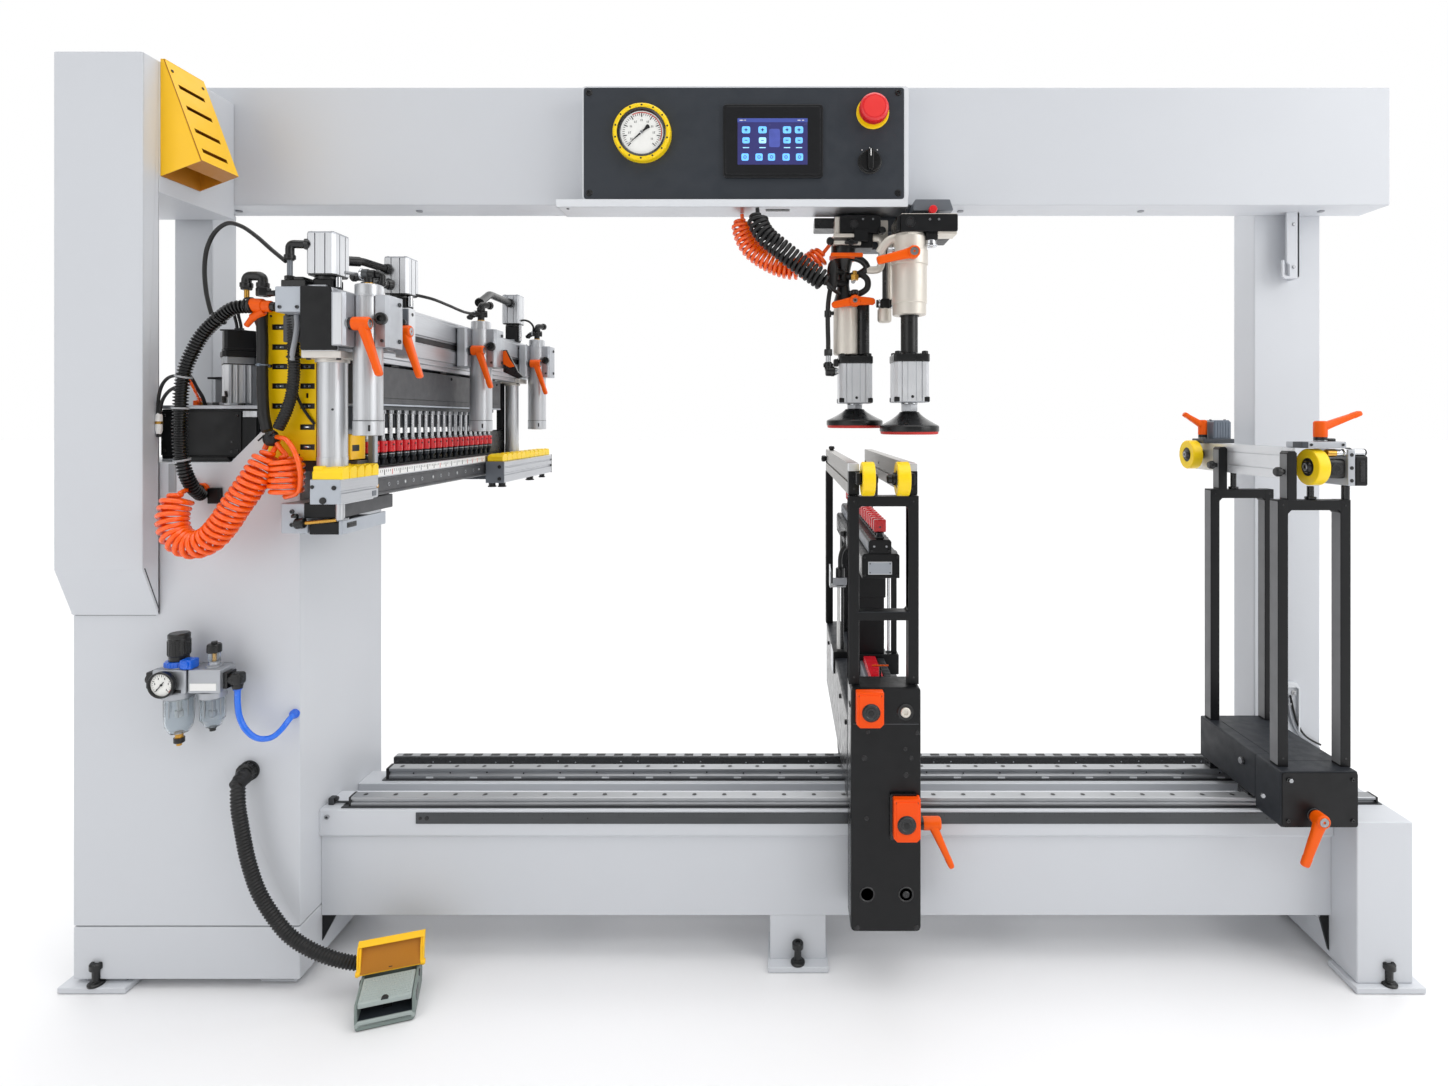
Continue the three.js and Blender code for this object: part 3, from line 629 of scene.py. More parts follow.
PEDAL_HOSE = [[-1007, -8, 418], [-1007, -28, 412], [-1003, -38, 375], [-995, -38, 320], [-984, -38, 266], [-965, -38, 210], [-938, -38, 165], [-908, -37, 128], [-872, -34, 101], [-840, -28, 82], [-815, -23, 71], [-797, -19, 65], [-784, -16, 62]]
BLUE_HOSE = [[-1003, -39, 587], [-1003, -39, 560], [-999, -39, 533], [-988, -39, 511], [-970, -39, 496], [-955, -38, 493], [-940, -36, 496], [-928, -30, 507], [-922, -18, 520], [-921, -5, 525]]
CONDUIT = [[-962, -58, 1290], [-993, -62, 1287], [-1023, -62, 1266], [-1050, -62, 1239], [-1069, -62, 1207], [-1082, -62, 1176], [-1089, -62, 1139], [-1091, -62, 1100], [-1092, -62, 1057], [-1091, -60, 1018], [-1089, -52, 985], [-1089, -34, 957], [-1092, -9, 940]]
COIL = [[-1090, -64, 950], [-1094, -76, 908], [-1083, -80, 874], [-1056, -80, 859], [-1026, -80, 868], [-1000, -80, 895], [-978, -80, 928], [-955, -78, 962], [-935, -74, 995], [-920, -66, 1025]]
OVER_ORANGE = [[-80, 172, 1510], [-79, 172, 1488], [-62, 172, 1450], [-18, 172, 1418], [30, 172, 1404], [64, 172, 1416], [92, 172, 1438]]
OVER_BLACK = [[-46, 126, 1510], [-45, 124, 1490], [-30, 120, 1463], [0, 118, 1436], [45, 118, 1400], [96, 118, 1364]]

hose("pedal_conduit", PEDAL_HOSE, 12.6, "rubber", "hose_black", pitch=6.2, replaced=["pedal_hose"])
hose("air_tube_blue", BLUE_HOSE, 5.2, "blue_tube", "hose_blue", n=90, replaced=["blue_hose"])
hose("head_conduit_ribbed", CONDUIT, 12.2, "plastic", "hose_black", pitch=6.0, rib=0.3, replaced=["head_conduit"])
coil("head_coil_hose", COIL, 21.8, 4.5, 29, "coil", "coil_orange", replaced=["head_coil"],
     lead=[(-1094, -14, 953), (-1093, -40, 955)], tail=[(-918, -60, 1036), (-919, -52, 1048)])
coil("overhead_coil_hose", OVER_ORANGE, 20.0, 4.0, 25, "coil", "coil_orange", replaced=["overhead_coil_orange"],
     lead=[(-81, 172, 1520)], tail=[(106, 172, 1456), (114, 176, 1470), (128, 178, 1480)])
coil("overhead_coil_hose_black", OVER_BLACK, 18.4, 4.2, 21, "rubber", "hose_black", replaced=["overhead_coil_black"],
     lead=[(-47, 127, 1520)], tail=[(112, 132, 1352), (124, 152, 1348)])



def panel(b, o, u, w, t, width, height, holes, front, back=None, rim=None):
    """A sheet at o spanning u x w with thickness vector t and rectangular holes (u0, u1, w0, w1)."""
    o, u, w, t = (np.asarray(q, float) for q in (o, u, w, t))
    us = sorted({0, width, *[h[0] for h in holes], *[h[1] for h in holes]})
    ws = sorted({0, height, *[h[2] for h in holes], *[h[3] for h in holes]})
    nu, nw = len(us), len(ws)
    grid = np.array([o + u * a + w * c for c in ws for a in us])
    solid = {(i, j) for i in range(nu - 1) for j in range(nw - 1)
             if not any(h[0] <= us[i] < h[1] and h[2] <= ws[j] < h[3] for h in holes)}
    face = lambda i, j: (j * nu + i, j * nu + i + 1, (j + 1) * nu + i + 1, (j + 1) * nu + i)
    b.add(grid, [face(i, j) for i, j in sorted(solid)], front)
    b.add(grid + t, [tuple(reversed(face(i, j))) for i, j in sorted(solid)], back or front)
    walls = []
    n = nu * nw
    for i, j in sorted(solid):
        q = face(i, j)
        for k, (di, dj) in enumerate(((0, -1), (1, 0), (0, 1), (-1, 0))):
            if (i + di, j + dj) not in solid:
                a, c = q[k], q[(k + 1) % 4]
                walls.append((c, a, a + n, c + n))
    b.add(np.vstack([grid, grid + t]), walls, rim or front)


def foot_bolt(b, x, y, z):
    b.lathe((x, y, z), (0, 0, 1), [(0, 0), (13.5, 0), (14, 1), (14, 4), (12.5, 5.5), (8, 6.5), (7, 7.5), (7, 28), (10.5, 29.5), (11.2, 31), (11.2, 40), (9.5, 42), (5, 42), (4.5, 40), (0, 40)], "plastic", 20)


def screw_head(b, o, d, r, h, mat="steel"):
    b.socket(o, d, r, h, mat)


# ------------------------------------------------------------------ cabinet, pillar, beam, posts
b = B("cabinet_body", slot="paint_grey")
b.prism("y", [(-1343, 121.2), (-912, 121.2), (-912, 1064), (-984, 1064), (-1045, 1003), (-1343, 1003)], 0, 300, "paint", b=2.5, rc=3)
b.box(-1343, -912, 0, 300, 20, 119.4, "paint", 2.5, 2)
b.box(-1340, -915, 3, 297, 117, 124, "seam", 0.3)
# frame pieces under the cabinet in the darker paint copy: painted shade
b.box(-1322, -1248, 8, 292, 8, 22, "paint_painted_shade", 1)
b.box(-996, -934, 16, 284, 8, 22, "paint_painted_shade", 1)
for x0, x1, y0, y1 in ((-1364, -1235, -11, 62), (-1364, -1235, 238, 308), (-1000, -930, 20, 80), (-1000, -930, 220, 280)):
    b.box(x0, x1, y0, y1, 0.5, 12, "paint", 2, 2)
foot_bolt(b, -1298, -1, 12)
foot_bolt(b, -1352, 272, 12)
# a door at the back, with hinges and a lock, and a gland for the pedal's hose
b.box(-1318, -942, 300, 302.2, 150, 975, "paint", 1.2)
b.box(-1314, -946, 299.5, 301, 146, 979, "seam", 0.3)
for z in (240, 560, 880):
    b.pin((-1320, 303, z - 22), (-1320, 303, z + 22), 5, "alu", 1, 14)
b.cyl((-965, 302, 560), (0, 1, 0), 11, 5, "chrome", 1)
b.box(-967, -963, 306, 308.5, 553, 567, "ink", 0.5)
b.done("cabinet_column")

b = B("pedal_hose_gland", slot="black")
b.cyl((-1007, 0.5, 418), (0, -1, 0), 19, 5, "rubber", 1.2)
b.lathe((-1007, -4, 418), (0, -1, 0), [(0, 0), (17.5, 0), (17.5, 2), (16, 3), (16, 7), (17.5, 8), (17.5, 11), (15.5, 12.5), (13, 12.8), (0, 12.8)], "plastic", 26)
for k in range(14):
    a = k * 2 * math.pi / 14
    b.box(-1007 + 17.2 * math.cos(a) - 1, -1007 + 17.2 * math.cos(a) + 1, -15, -6, 418 + 17.2 * math.sin(a) - 1, 418 + 17.2 * math.sin(a) + 1, "plastic", 0.4)
b.lathe((-1007, -15, 414), (0, -0.93, -0.36), [(0, 0), (15.8, 0), (15.2, 4), (14.2, 9), (13.4, 15), (12.9, 24), (0, 24)], "rubber", 22)
b.done()

b = B("pillar_body", slot="paint_grey")
b.prism("x", [(-40, 806), (-0.3, 705), (-0.3, 1765), (-40, 1765)], -1343, -1178, "paint", b=3, rc=3)
b.box(-1343, -1178, -3, 199.5, 1515, 1765, "paint", 2.5, 2)
b.box(-1338, -1185, -1.2, 0.4, 712, 1510, "seam", 0.3)
b.prism("x", [(-36.4, 808), (-3, 723), (-3, 728), (-34.4, 808)], -1178.4, -1177.4, "seam", b=0.2)
b.lathe((-1342.5, -20, 1079), (-1, 0, 0), [(0, 0), (6.5, 0), (6.5, 2), (4.2, 3), (4.2, 6), (5.2, 7), (5.2, 9.5), (4, 11), (0, 11)], "plastic", 18)
b.done("wireway_pillar")

b = B("vent_hood", slot="yellow")
B0, B1 = np.array([-1170.0, 1770.0]), np.array([-1099.0, 1577.0])
sl = B1 - B0
L = float(np.linalg.norm(sl))
sl /= L
nrm = np.array([sl[1], -sl[0]])
nrm = nrm if nrm[0] > 0 else -nrm
holes = [(13, 79, t * L - 4.4, t * L + 4.4) for t in (0.245, 0.452, 0.679, 0.88)]
# front sheet in yellow; its back and hole walls in the darker yellow copy, painted shade
panel(b, (B0[0], 0.6, B0[1]), (0, 1, 0), (sl[0], 0, sl[1]), (-nrm[0] * 2, 0, -nrm[1] * 2), 100, L, holes, "yellow", "yellow_painted_shade", "yellow_painted_shade")
# near side plate in yellow, far side plate in the darker yellow copy as painted shade
for y0 in (0.4, 98.6):
    b.prism("y", [(-1177.6, 1547), (-1101.5, 1575.8), (-1171.5, 1768), (-1177.6, 1768)], y0, y0 + 2, "yellow" if y0 < 1 else "yellow_painted_shade", b=0.4)
b.prism("y", [(-1177.6, 1768.2), (-1171, 1768.2), (-1169.4, 1770), (-1177.6, 1770)], 0.4, 100.6, "yellow", b=0.4)
# inner lips in the darker yellow copy: painted shade
b.prism("y", [(-1099, 1577), (-1100.5, 1579), (-1131, 1566.8), (-1130, 1564.6)], 2, 100.4, "yellow_painted_shade", b=0.5)
b.prism("y", [(-1177.5, 1547), (-1175.5, 1547), (-1175.5, 1768), (-1177.5, 1768)], 0.6, 100, "yellow_painted_shade", b=0.2)
b.cyl((B0[0] + sl[0] * 21, 88, B0[1] + sl[1] * 21), (nrm[0], 0, nrm[1]), 3, 1.4, "ink", 0.4, 14)
b.cyl((B0[0] + sl[0] * 21, 10, B0[1] + sl[1] * 21), (nrm[0], 0, nrm[1]), 3, 1.4, "ink", 0.4, 14)
b.done("pillar_hood")

b = B("beam_body", slot="paint_grey")
b.box(-1343, 1318, 200, 290, 1547, 1802, "paint", 3, 2)
b.box(1317, 1318.6, 206, 284, 1553, 1796, "paint", 0.7)
b.box(-1343.4, -1342.5, 206, 284, 1553, 1796, "paint", 0.4)
# plugs under the beam in the darker paint copy: painted shade
for x in np.arange(-1200, 1250, 400):
    b.cyl((x, 245, 1547.4), (0, 0, -1), 7, 3, "paint_painted_shade", 0.8, 18)
b.done("overhead_beam")

b = B("post_left", slot="paint_grey")
b.box(-1320, -1237, 215, 290, 1009, 1547, "paint", 3, 2)
b.box(-1332, -1225, 206, 296, 1003.3, 1010, "paint", 1.5)
for x in (-1328, -1229):
    for y in (212, 290):
        b.socket((x, y, 1010), (0, 0, 1), 4, 4, "steel")
b.done()

b = B("post_right", slot="paint_grey")
b.box(1080, 1230, 290.3, 370, 8, 1802, "paint", 3, 2)
b.box(1072, 1238, 290.3, 378, 0.5, 9, "paint", 1.5)
b.done("rear_post_right")
b = B("cable_hook", slot="paint_grey")
b.prism("y", [(1132, 1547), (1160, 1547), (1160, 1404), (1155, 1399), (1128, 1399), (1122, 1404), (1122, 1440), (1127, 1440), (1127, 1408), (1132, 1405), (1138, 1405), (1138, 1430), (1132, 1436)], 256, 262, "paint", b=0.8)
b.box(1155, 1160, 256, 291, 1399, 1547, "paint", 0.8)
b.cyl((1147, 256.4, 1425), (0, -1, 0), 4, 2, "steel", 0.5, 14)
b.cyl((1147, 256.4, 1520), (0, -1, 0), 4, 2, "steel", 0.5, 14)
b.done()

# ------------------------------------------------------------------ bed
b = B("bed_front", slot="paint_grey")
b.prism("x", [(60, 312), (60, 262), (68, 254), (68, 98), (140, 98), (140, 312)], -911.7, 1095.7, "paint", b=0.8, rc=2)
b.prism("x", [(59.4, 311), (59.4, 263), (67, 255), (72, 255), (72, 311)], -912, -906, "paint", b=0.8)
b.box(-20, 91, 68, 140, 11, 99, "paint", 2, 2)
b.box(-24, 95, 44, 150, 0.5, 12, "paint", 2, 2)
foot_bolt(b, 35, 56, 12)
b.socket((-896, 60.3, 298), (0, -1, 0), 4.6, 3, "steel")
b.prism("y", [(-911.7, 97.7), (-884, 97.7), (-911.7, 46)], 70, 76, "black", b=0.6)
b.prism("y", [(1095.7, 97.7), (1076, 97.7), (1095.7, 24)], 74, 80, "black", b=0.6)
b.cyl((1072, 76, 97.8), (0, 0, -1), 6, 5, "steel", 1, 18)
for x in (-600, -200, 250, 650, 1000):
    b.hexnut((x, 104, 98), (0, 0, -1), 14, 6, "steel")
b.done("bed_front_beam")

b = B("scale_strip_front", slot="steel")
b.box(-720, 981, 58.3, 60.4, 285, 307, "steel_dark", 0.5)
for x, r in ((-711, 3.2), (-698, 4.2), (-470, 1.3), (-380, 1.6), (962, 1.6), (972, 3.2)):
    b.cyl((x, 58.4, 296), (0, -1, 0), r, 1.2 if r > 2 else 0.3, "ink", 0.3, 16)
for k in range(171):
    x = -715 + k * 9.9
    b.box(x, x + 0.5, 58.15, 58.4, 303 if k % 5 else 300, 306.6, "ink", 0.05)
b.done()


def rail_profile(y0, y1, z0, z1):
    w, h = y1 - y0, z1 - z0
    return [(y0, z0), (y1, z0), (y1, z0 + h * 0.3), (y1 - w * 0.17, z0 + h * 0.46), (y1 - w * 0.17, z0 + h * 0.6), (y1, z0 + h * 0.74), (y1, z1 - 1.2), (y1 - 1.5, z1),
            (y0 + 1.5, z1), (y0, z1 - 1.2), (y0, z0 + h * 0.74), (y0 + w * 0.17, z0 + h * 0.6), (y0 + w * 0.17, z0 + h * 0.46), (y0, z0 + h * 0.3)]


b = B("guide_rail_front", slot="steel")
b.prism("x", rail_profile(72, 96, 314, 331), -856, 1188, "steel_x", b=0.8)
b.box(-872, 1092, 66, 100, 312, 314.2, "steel_dark", 0.4)
b.box(1096.3, 1196, 66, 100, 319, 320.4, "steel_dark", 0.4)
b.box(-860, -855.5, 71.5, 96.5, 313.5, 331.4, "ink", 0.8)
b.box(1187.5, 1192, 71.5, 96.5, 319.5, 331.4, "ink", 0.8)
# bolt holes: a steel ring round a dark disc, the disc painted shade in the hole
for k in range(34):
    x = -832 + k * 60
    b.ring((x, 84, 330.8), (0, 0, 1), 4.4, 6.0, 0.5, "steel", 0.15, 18)
    b.cyl((x, 84, 330.8), (0, 0, 1), 4.4, 0.25, "ink", 0.05, 18)
b.pin((-905, 84, 316), (-858, 84, 316), 2.2, "steel_dark", 0.4, 10)
b.box(-905, -893, 78, 92, 312, 326, "steel_dark", 2)
b.cyl((-893, 85, 322), (1, 0, 0), 4.5, 5, "black_steel", 0.8, 16)
b.done("front_rail")

b = B("bed_rear", slot="paint_grey")
b.prism("x", [(200, 98), (400, 98), (400, 272), (260, 272), (260, 298), (200, 298)], -911.7, 1079.7, "paint", b=0.8, rc=2)
b.box(-20, 91, 330, 400, 11, 99, "paint", 2, 2)
b.box(-24, 95, 322, 408, 0.5, 12, "paint", 2, 2)
foot_bolt(b, 35, 404, 12)
for x in (-870, -450, 0, 450, 900):
    b.box(x, x + 60, 139, 201, 110, 190, "paint", 1.5)
for x in (-700, -250, 300, 800):
    b.hexnut((x, 300, 98), (0, 0, -1), 14, 6, "steel")
b.done("bed_rear_beam")

b = B("guide_rail_rear", slot="steel")
b.prism("x", rail_profile(218, 242, 300, 322), -854, 1079, "steel_x", b=0.8)
b.box(-866, 1079, 212, 248, 298, 300.4, "steel_dark", 0.4)
b.box(-860, -853.5, 217, 243, 299, 322.5, "ink", 0.8)
# bolt holes: a steel ring round a dark disc, the disc painted shade in the hole
for k in range(32):
    x = -830 + k * 60
    b.ring((x, 230, 321.8), (0, 0, 1), 4.4, 6.0, 0.5, "steel", 0.15, 18)
    b.cyl((x, 230, 321.8), (0, 0, 1), 4.4, 0.25, "ink", 0.05, 18)
for k in range(24):
    x = -800 + k * 80
    b.cyl((x, 218.2, 312 + (k % 3)), (0, -1, 0), 1.8, 0.4, "ink", 0.1, 12)
for k in range(20):
    x = -773 + k * 96
    b.box(x, x + 16, 216.6, 218.4, 301, 304.2, "border", 0.4)
b.done("rear_rail")

b = B("toothed_rack", slot="black")
b.box(-908, 1079, 345, 366, 272, 291, "black_steel", 1.2)
b.box(-905, 1079, 349, 364, 290.6, 292.4, "steel_x", 0.4)
# dark marks along the rack's top stand for its tooth gaps: painted shade
for k in range(47):
    x = -890 + k * 41.5
    b.box(x, x + 21, 351.5, 361.5, 292.0, 293.0, "ink", 0.4)
for k in range(40):
    x = -868 + k * 49 + 5 * math.sin(k * 2.1)
    b.cyl((x, 345.2, 279 + (k % 4)), (0, -1, 0), 1.6, 0.5, "steel" if k % 3 else "ink", 0.1, 10)
b.done()

b = B("end_column", slot="paint_grey")
b.box(1096.2, 1203, 0, 290, 12, 319, "paint", 3, 2)
b.box(1087, 1219, -11.5, 66, 0.5, 12, "paint", 2, 2)
b.box(1087, 1219, 224, 290, 0.5, 12, "paint", 2, 2)
foot_bolt(b, 1156, -1, 12)
foot_bolt(b, 1211, 270, 12)
b.done("bed_end_column")

# ------------------------------------------------------------------ control box
b = B("control_box_body", slot="slate")
b.box(-411, 267, 138.5, 199.7, 1540, 1777, "paint", 3, 2)
b.prism("y", [(-411, 1539), (267, 1539), (267, 1777), (-411, 1777)], 136.6, 140, "border", b=0.8, rc=9, n=5)
b.prism("y", [(-407.5, 1542), (257.5, 1542), (257.5, 1773), (-407.5, 1773)], 134.6, 137.4, "plate", b=0.7, rc=6, n=4)
for x in (-396, 245):
    for z in (1554, 1762):
        b.ring((x, 134.8, z), (0, -1, 0), 3.6, 7.2, 1.0, "black_steel", 0.4, 20)
        b.socket((x, 134.9, z), (0, -1, 0), 5.4, 3.0, "black_steel")
b.ring((192, 134.8, 1720), (0, -1, 0), 12, 34, 4.5, "lemon", 1.2, 36)
for a, dx in ((90, 0), (58, 1), (122, 1)):
    r = 30
    x, z = 186 + r * math.cos(math.radians(a)), 1618 + r * math.sin(math.radians(a))
    b.box(x - 1.1, x + 1.1, 134.2, 134.9, z - 1.1, z + 1.1, "white", 0.3)
b.done("control_box")

b = B("control_tray", slot="aluminium")
b.prism("x", [(120, 1522), (199.6, 1522), (199.6, 1524.5), (123.5, 1524.5), (123.5, 1534.5), (138, 1534.5), (138, 1537), (120, 1537)], -461, 263, "border", b=0.8)
b.box(-459, 261, 121.4, 199.2, 1521.2, 1523, "alu_x", 0.4)
b.box(-461, -458, 120.4, 199, 1522, 1537, "border", 0.6)
b.box(260, 263, 120.4, 199, 1522, 1537, "border", 0.6)
b.box(-30, 20, 140, 150, 1519.6, 1522, "black_steel", 0.5)
b.cyl((-440, 134, 1521.6), (0, 0, -1), 3, 1.6, "black_steel", 0.4, 14)
b.done()

# gauge on the panel
G = (-284.8, 1675.6)


def on_dial(cx, cz, r, deg):
    return cx + r * math.cos(math.radians(deg)), cz + r * math.sin(math.radians(deg))


def dial_face(b, cx, y, cz, R, ticks, red=None, s=1.0):
    """A dial facing the front at depth y: ticks by degrees and a red arc."""
    b.cyl((cx, y + 1.5, cz), (0, -1, 0), R, 1.5, "dial", 0.1, 40)
    for k in range(ticks + 1):
        a = 225 - 270 * k / ticks
        long = k % 5 == 0
        x0, z0 = on_dial(cx, cz, R * (0.70 if long else 0.78), a)
        x1, z1 = on_dial(cx, cz, R * 0.88, a)
        b.pin((x0, y - 0.15, z0), (x1, y - 0.15, z1), R * (0.022 if long else 0.012), "ink", 0.02, 5)
    if red:
        for a in np.arange(red[0], red[1], -5.5):
            p0, p1 = on_dial(cx, cz, R * 0.91, a), on_dial(cx, cz, R * 0.91, a - 5.2)
            b.pin((p0[0], y - 0.1, p0[1]), (p1[0], y - 0.1, p1[1]), R * 0.022, "dial_red", 0.02, 5)


b = B("gauge_body", slot="dial")
gx, gz = G
b.lathe((gx, 135.6, gz), (0, -1, 0), [(0, 0), (59, 0), (60, 1), (60, 15), (59, 17.5), (56.5, 19.5), (52.5, 19.5), (50, 17.5), (50, 10), (0, 10)], "lemon", 56)
b.lathe((gx, 128, gz), (0, -1, 0), [(46, 0), (50.5, 0), (50.5, 10.4), (48.5, 11.6), (46, 10.5), (44, 5)], "screen_black", 56, closed=True)
for k in range(14):
    a = k * 360 / 14 + 12
    x, z = on_dial(gx, gz, 54.6, a)
    b.cyl((x, 116.6, z), (0, -1, 0), 2.0, 0.9, "ink", 0.3, 10)
dial_face(b, gx, 122.5, gz, 45, 40, (118, -20))
# plain figures: short strokes round the scale
for k, a in enumerate(np.linspace(212, -32, 9)):
    x, z = on_dial(gx, gz, 25, a)
    b.box(x - 2.2, x - 1.2, 122.2, 122.6, z - 2.2, z + 2.2, "ink", 0.1)
    b.box(x + 0.6, x + 1.6, 122.2, 122.6, z - 2.2, z + 2.2, "ink", 0.1)
    if k % 2:
        b.box(x + 1.4, x + 3.0, 122.2, 122.6, z + 1.4, z + 2.2, "ink", 0.1)
tip = (gx + (629.6 - 642.9) * 2.06 * 1.15, gz - (146.6 - 134.7) * 2.06 * 1.15)
d = np.array([tip[0] - gx, tip[1] - gz]) / np.hypot(tip[0] - gx, tip[1] - gz)
q = np.array([-d[1], d[0]])
b.prism("y", [(gx + d[0] * 37, gz + d[1] * 37), (gx + q[0] * 1.8, gz + q[1] * 1.8), (gx - d[0] * 9 + q[0] * 1.8, gz - d[1] * 9 + q[1] * 1.8),
              (gx - d[0] * 9 - q[0] * 1.8, gz - d[1] * 9 - q[1] * 1.8), (gx - q[0] * 1.8, gz - q[1] * 1.8)], 120.2, 121.2, "ink", b=0.1)
b.prism("y", [(gx - d[0] * 8 + q[0] * 1.6, gz - d[1] * 8 + q[1] * 1.6), (gx - d[0] * 19 + q[0] * 4.6, gz - d[1] * 19 + q[1] * 4.6),
              (gx - d[0] * 21 - q[0] * 0, gz - d[1] * 21), (gx - d[0] * 19 - q[0] * 4.6, gz - d[1] * 19 - q[1] * 4.6), (gx - d[0] * 8 - q[0] * 1.6, gz - d[1] * 8 - q[1] * 1.6)], 120.2, 121.4, "ink", b=0.1)
b.cyl((gx, 122.4, gz), (0, -1, 0), 3.6, 3.4, "chrome", 0.8, 18)
b.done("pressure_gauge")

b = B("touch_screen_unit", slot="screen")
b.prism("y", [(-118, 1584), (89, 1584), (89, 1736), (-118, 1736)], 127.5, 135.7, "screen_black", b=1.4, rc=9, n=5)
b.prism("y", [(-112.5, 1589.5), (83.5, 1589.5), (83.5, 1730.5), (-112.5, 1730.5)], 124.4, 128.5, "screen_black", b=1.6, rc=6, n=4)
dx0, dx1, dz0, dz1 = -87.6, 56.7, 1609.6, 1705.0
b.box(dx0, dx1, 124.0, 125.2, dz0, dz1, "screen_back", 0.3)
b.box(dx0, dx1, 123.8, 124.4, dz1 - 8, dz1, "screen_bar", 0.2)
sx = lambda px: (px - 780) * 2.0612
sz = lambda py: 1083 - (py - 420) * 2.0612


def tile(px, py, w, mat, h=None):
    x, z = sx(px), sz(py)
    h = h or w
    b.prism("y", [(x - w, z - h), (x + w, z - h), (x + w, z + h), (x - w, z + h)], 123.5, 124.3, mat, b=0.15, rc=w * 0.45, n=3)


for px in (746, 762.5, 787, 799):
    tile(px, 129.8, 8.6, "screen_icon", 7.2)
    tile(px, 140.3, 7.6, "screen_icon2" if px == 762.5 else "screen_icon", 6.2)
    b.box(sx(px) - 6.5, sx(px) + 6.5, 123.6, 124.3, sz(147.6) - 0.9, sz(147.6) + 0.9, "screen_icon2", 0.1)
tile(774.5, 138, 11.5, "screen_cell", 19)
for px in (745, 759, 771.5, 786, 799.5):
    tile(px, 157, 7.4, "screen_icon", 7.4)
    b.ring((sx(px), 123.6, sz(157)), (0, -1, 0), 2.0, 3.6, 0.35, "screen_cell", 0.1, 14)
for px in (746, 762.5, 787, 799):
    b.box(sx(px) - 3.4, sx(px) + 3.4, 123.3, 123.7, sz(129.8) - 1, sz(129.8) + 1, "screen_back", 0.1)
    b.box(sx(px) - 1, sx(px) + 1, 123.3, 123.7, sz(129.8) - 3.4, sz(129.8) + 3.4, "screen_back", 0.1)
    b.box(sx(px) - 3, sx(px) + 3, 123.3, 123.7, sz(140.3) - 0.8, sz(140.3) + 0.8, "screen_back", 0.1)
for px, w in ((742, 5), (744.5, 3), (799, 3), (803, 2)):
    b.box(sx(px) - w, sx(px) + w, 123.3, 123.9, dz1 - 5, dz1 - 3.4, "white", 0.1)
b.done("touch_screen")

b = B("stop_button", "estop", slot="red_button")
b.lathe((192, 138, 1720), (0, -1, 0), [(0, 8.8), (10.9, 8.8), (10.9, 15), (20, 16.5), (27.5, 18), (30, 20), (30, 33), (28.6, 37), (25.5, 39.6), (22.5, 40.2), (0, 40.2)], "red_cap", 44)
# face of the button in the lighter red: painted highlight
b.lathe((192, 98.4, 1720), (0, -1, 0), [(0, -0.6), (22.5, -0.6), (22.5, 0), (21.2, 0.9), (0, 0.9)], "red_cap_painted_highlight", 44)
b.done("estop_button")

b = B("selector_knob", "selector", slot="black_plastic")
b.lathe((186, 135.6, 1618), (0, -1, 0), [(0, 0), (24, 0), (25, 1), (25, 3.4), (23.6, 4.6), (23, 5), (22.5, 10.5), (21, 12), (0, 12)], "plastic", 40)
b.prism("y", [(180.5, 1595.5), (191.5, 1595.5), (192.8, 1640), (179.2, 1640)], 110.5, 125, "plastic", b=2.4, rc=4.5, n=3)
b.box(185, 187, 109.9, 111, 1624, 1638, "white", 0.3)
for k in range(24):
    a = k * 15
    x, z = on_dial(186, 1618, 22.6, a)
    b.pin((x, 130, z), (x, 125.5, z), 0.9, "plastic", 0.2, 6)
b.done("selector_switch")

# ------------------------------------------------------------------ air preparation unit
b = B("air_unit_blocks", slot="aluminium")
b.box(-1143, -1082, -62, -16, 584, 628, "alu_cast", 3, 2)
b.box(-1080, -1021, -60, -18, 584, 628, "alu_cast", 3, 2)
b.box(-1083, -1079, -56, -22, 588, 624, "plastic", 1)
b.lathe((-1111, -39, 627), (0, 0, 1), [(0, 0), (19, 0), (21.5, 1.5), (21.5, 3), (0, 3)], "alu_cast", 30)
b.lathe((-1111, -39, 629.5), (0, 0, 1), [(0, 0), (21, 0), (22, 1), (22, 9), (21, 10), (0, 10)], "blue", 36)
for k in range(24):
    a = k * math.pi / 12
    b.box(-1111 + 21.8 * math.cos(a) - 0.9, -1111 + 21.8 * math.cos(a) + 0.9, -39 + 21.8 * math.sin(a) - 0.9, -39 + 21.8 * math.sin(a) + 0.9, 631, 638, "blue", 0.3)
b.box(-1094, -1072, -62, -40, 628, 646, "blue", 3)
b.cyl((-1083, -61, 637), (0, -1, 0), 7.5, 4, "blue", 1, 18)
b.box(-1120, -1040, -16, -0.3, 590, 623, "steel", 1)
b.box(-1075, -1027, -61.4, -59.5, 590, 603, "white", 0.5)
b.box(-1137, -1090, -63.2, -61.5, 586, 592, "plastic", 0.5)
# sight dome with its cap
b.lathe((-1046, -39, 628), (0, 0, 1), [(0, 0), (14, 0), (14, 3), (9.5, 4), (9.5, 10), (0, 10)], "alu_cast", 26)
b.lathe((-1046, -39, 637), (0, 0, 1), [(0, 0), (9.5, 0), (9.8, 1), (9.8, 16), (9, 18), (0, 18)], "bowl", 26)
b.lathe((-1046, -39, 638), (0, 0, 1), [(0, 0), (3, 0), (3, 14), (0, 14)], "brass", 12)
b.lathe((-1046, -39, 654), (0, 0, 1), [(0, 0), (11, 0), (12, 1), (12, 13), (10.5, 15.5), (5, 16), (5, 20), (0, 20)], "plastic", 26)
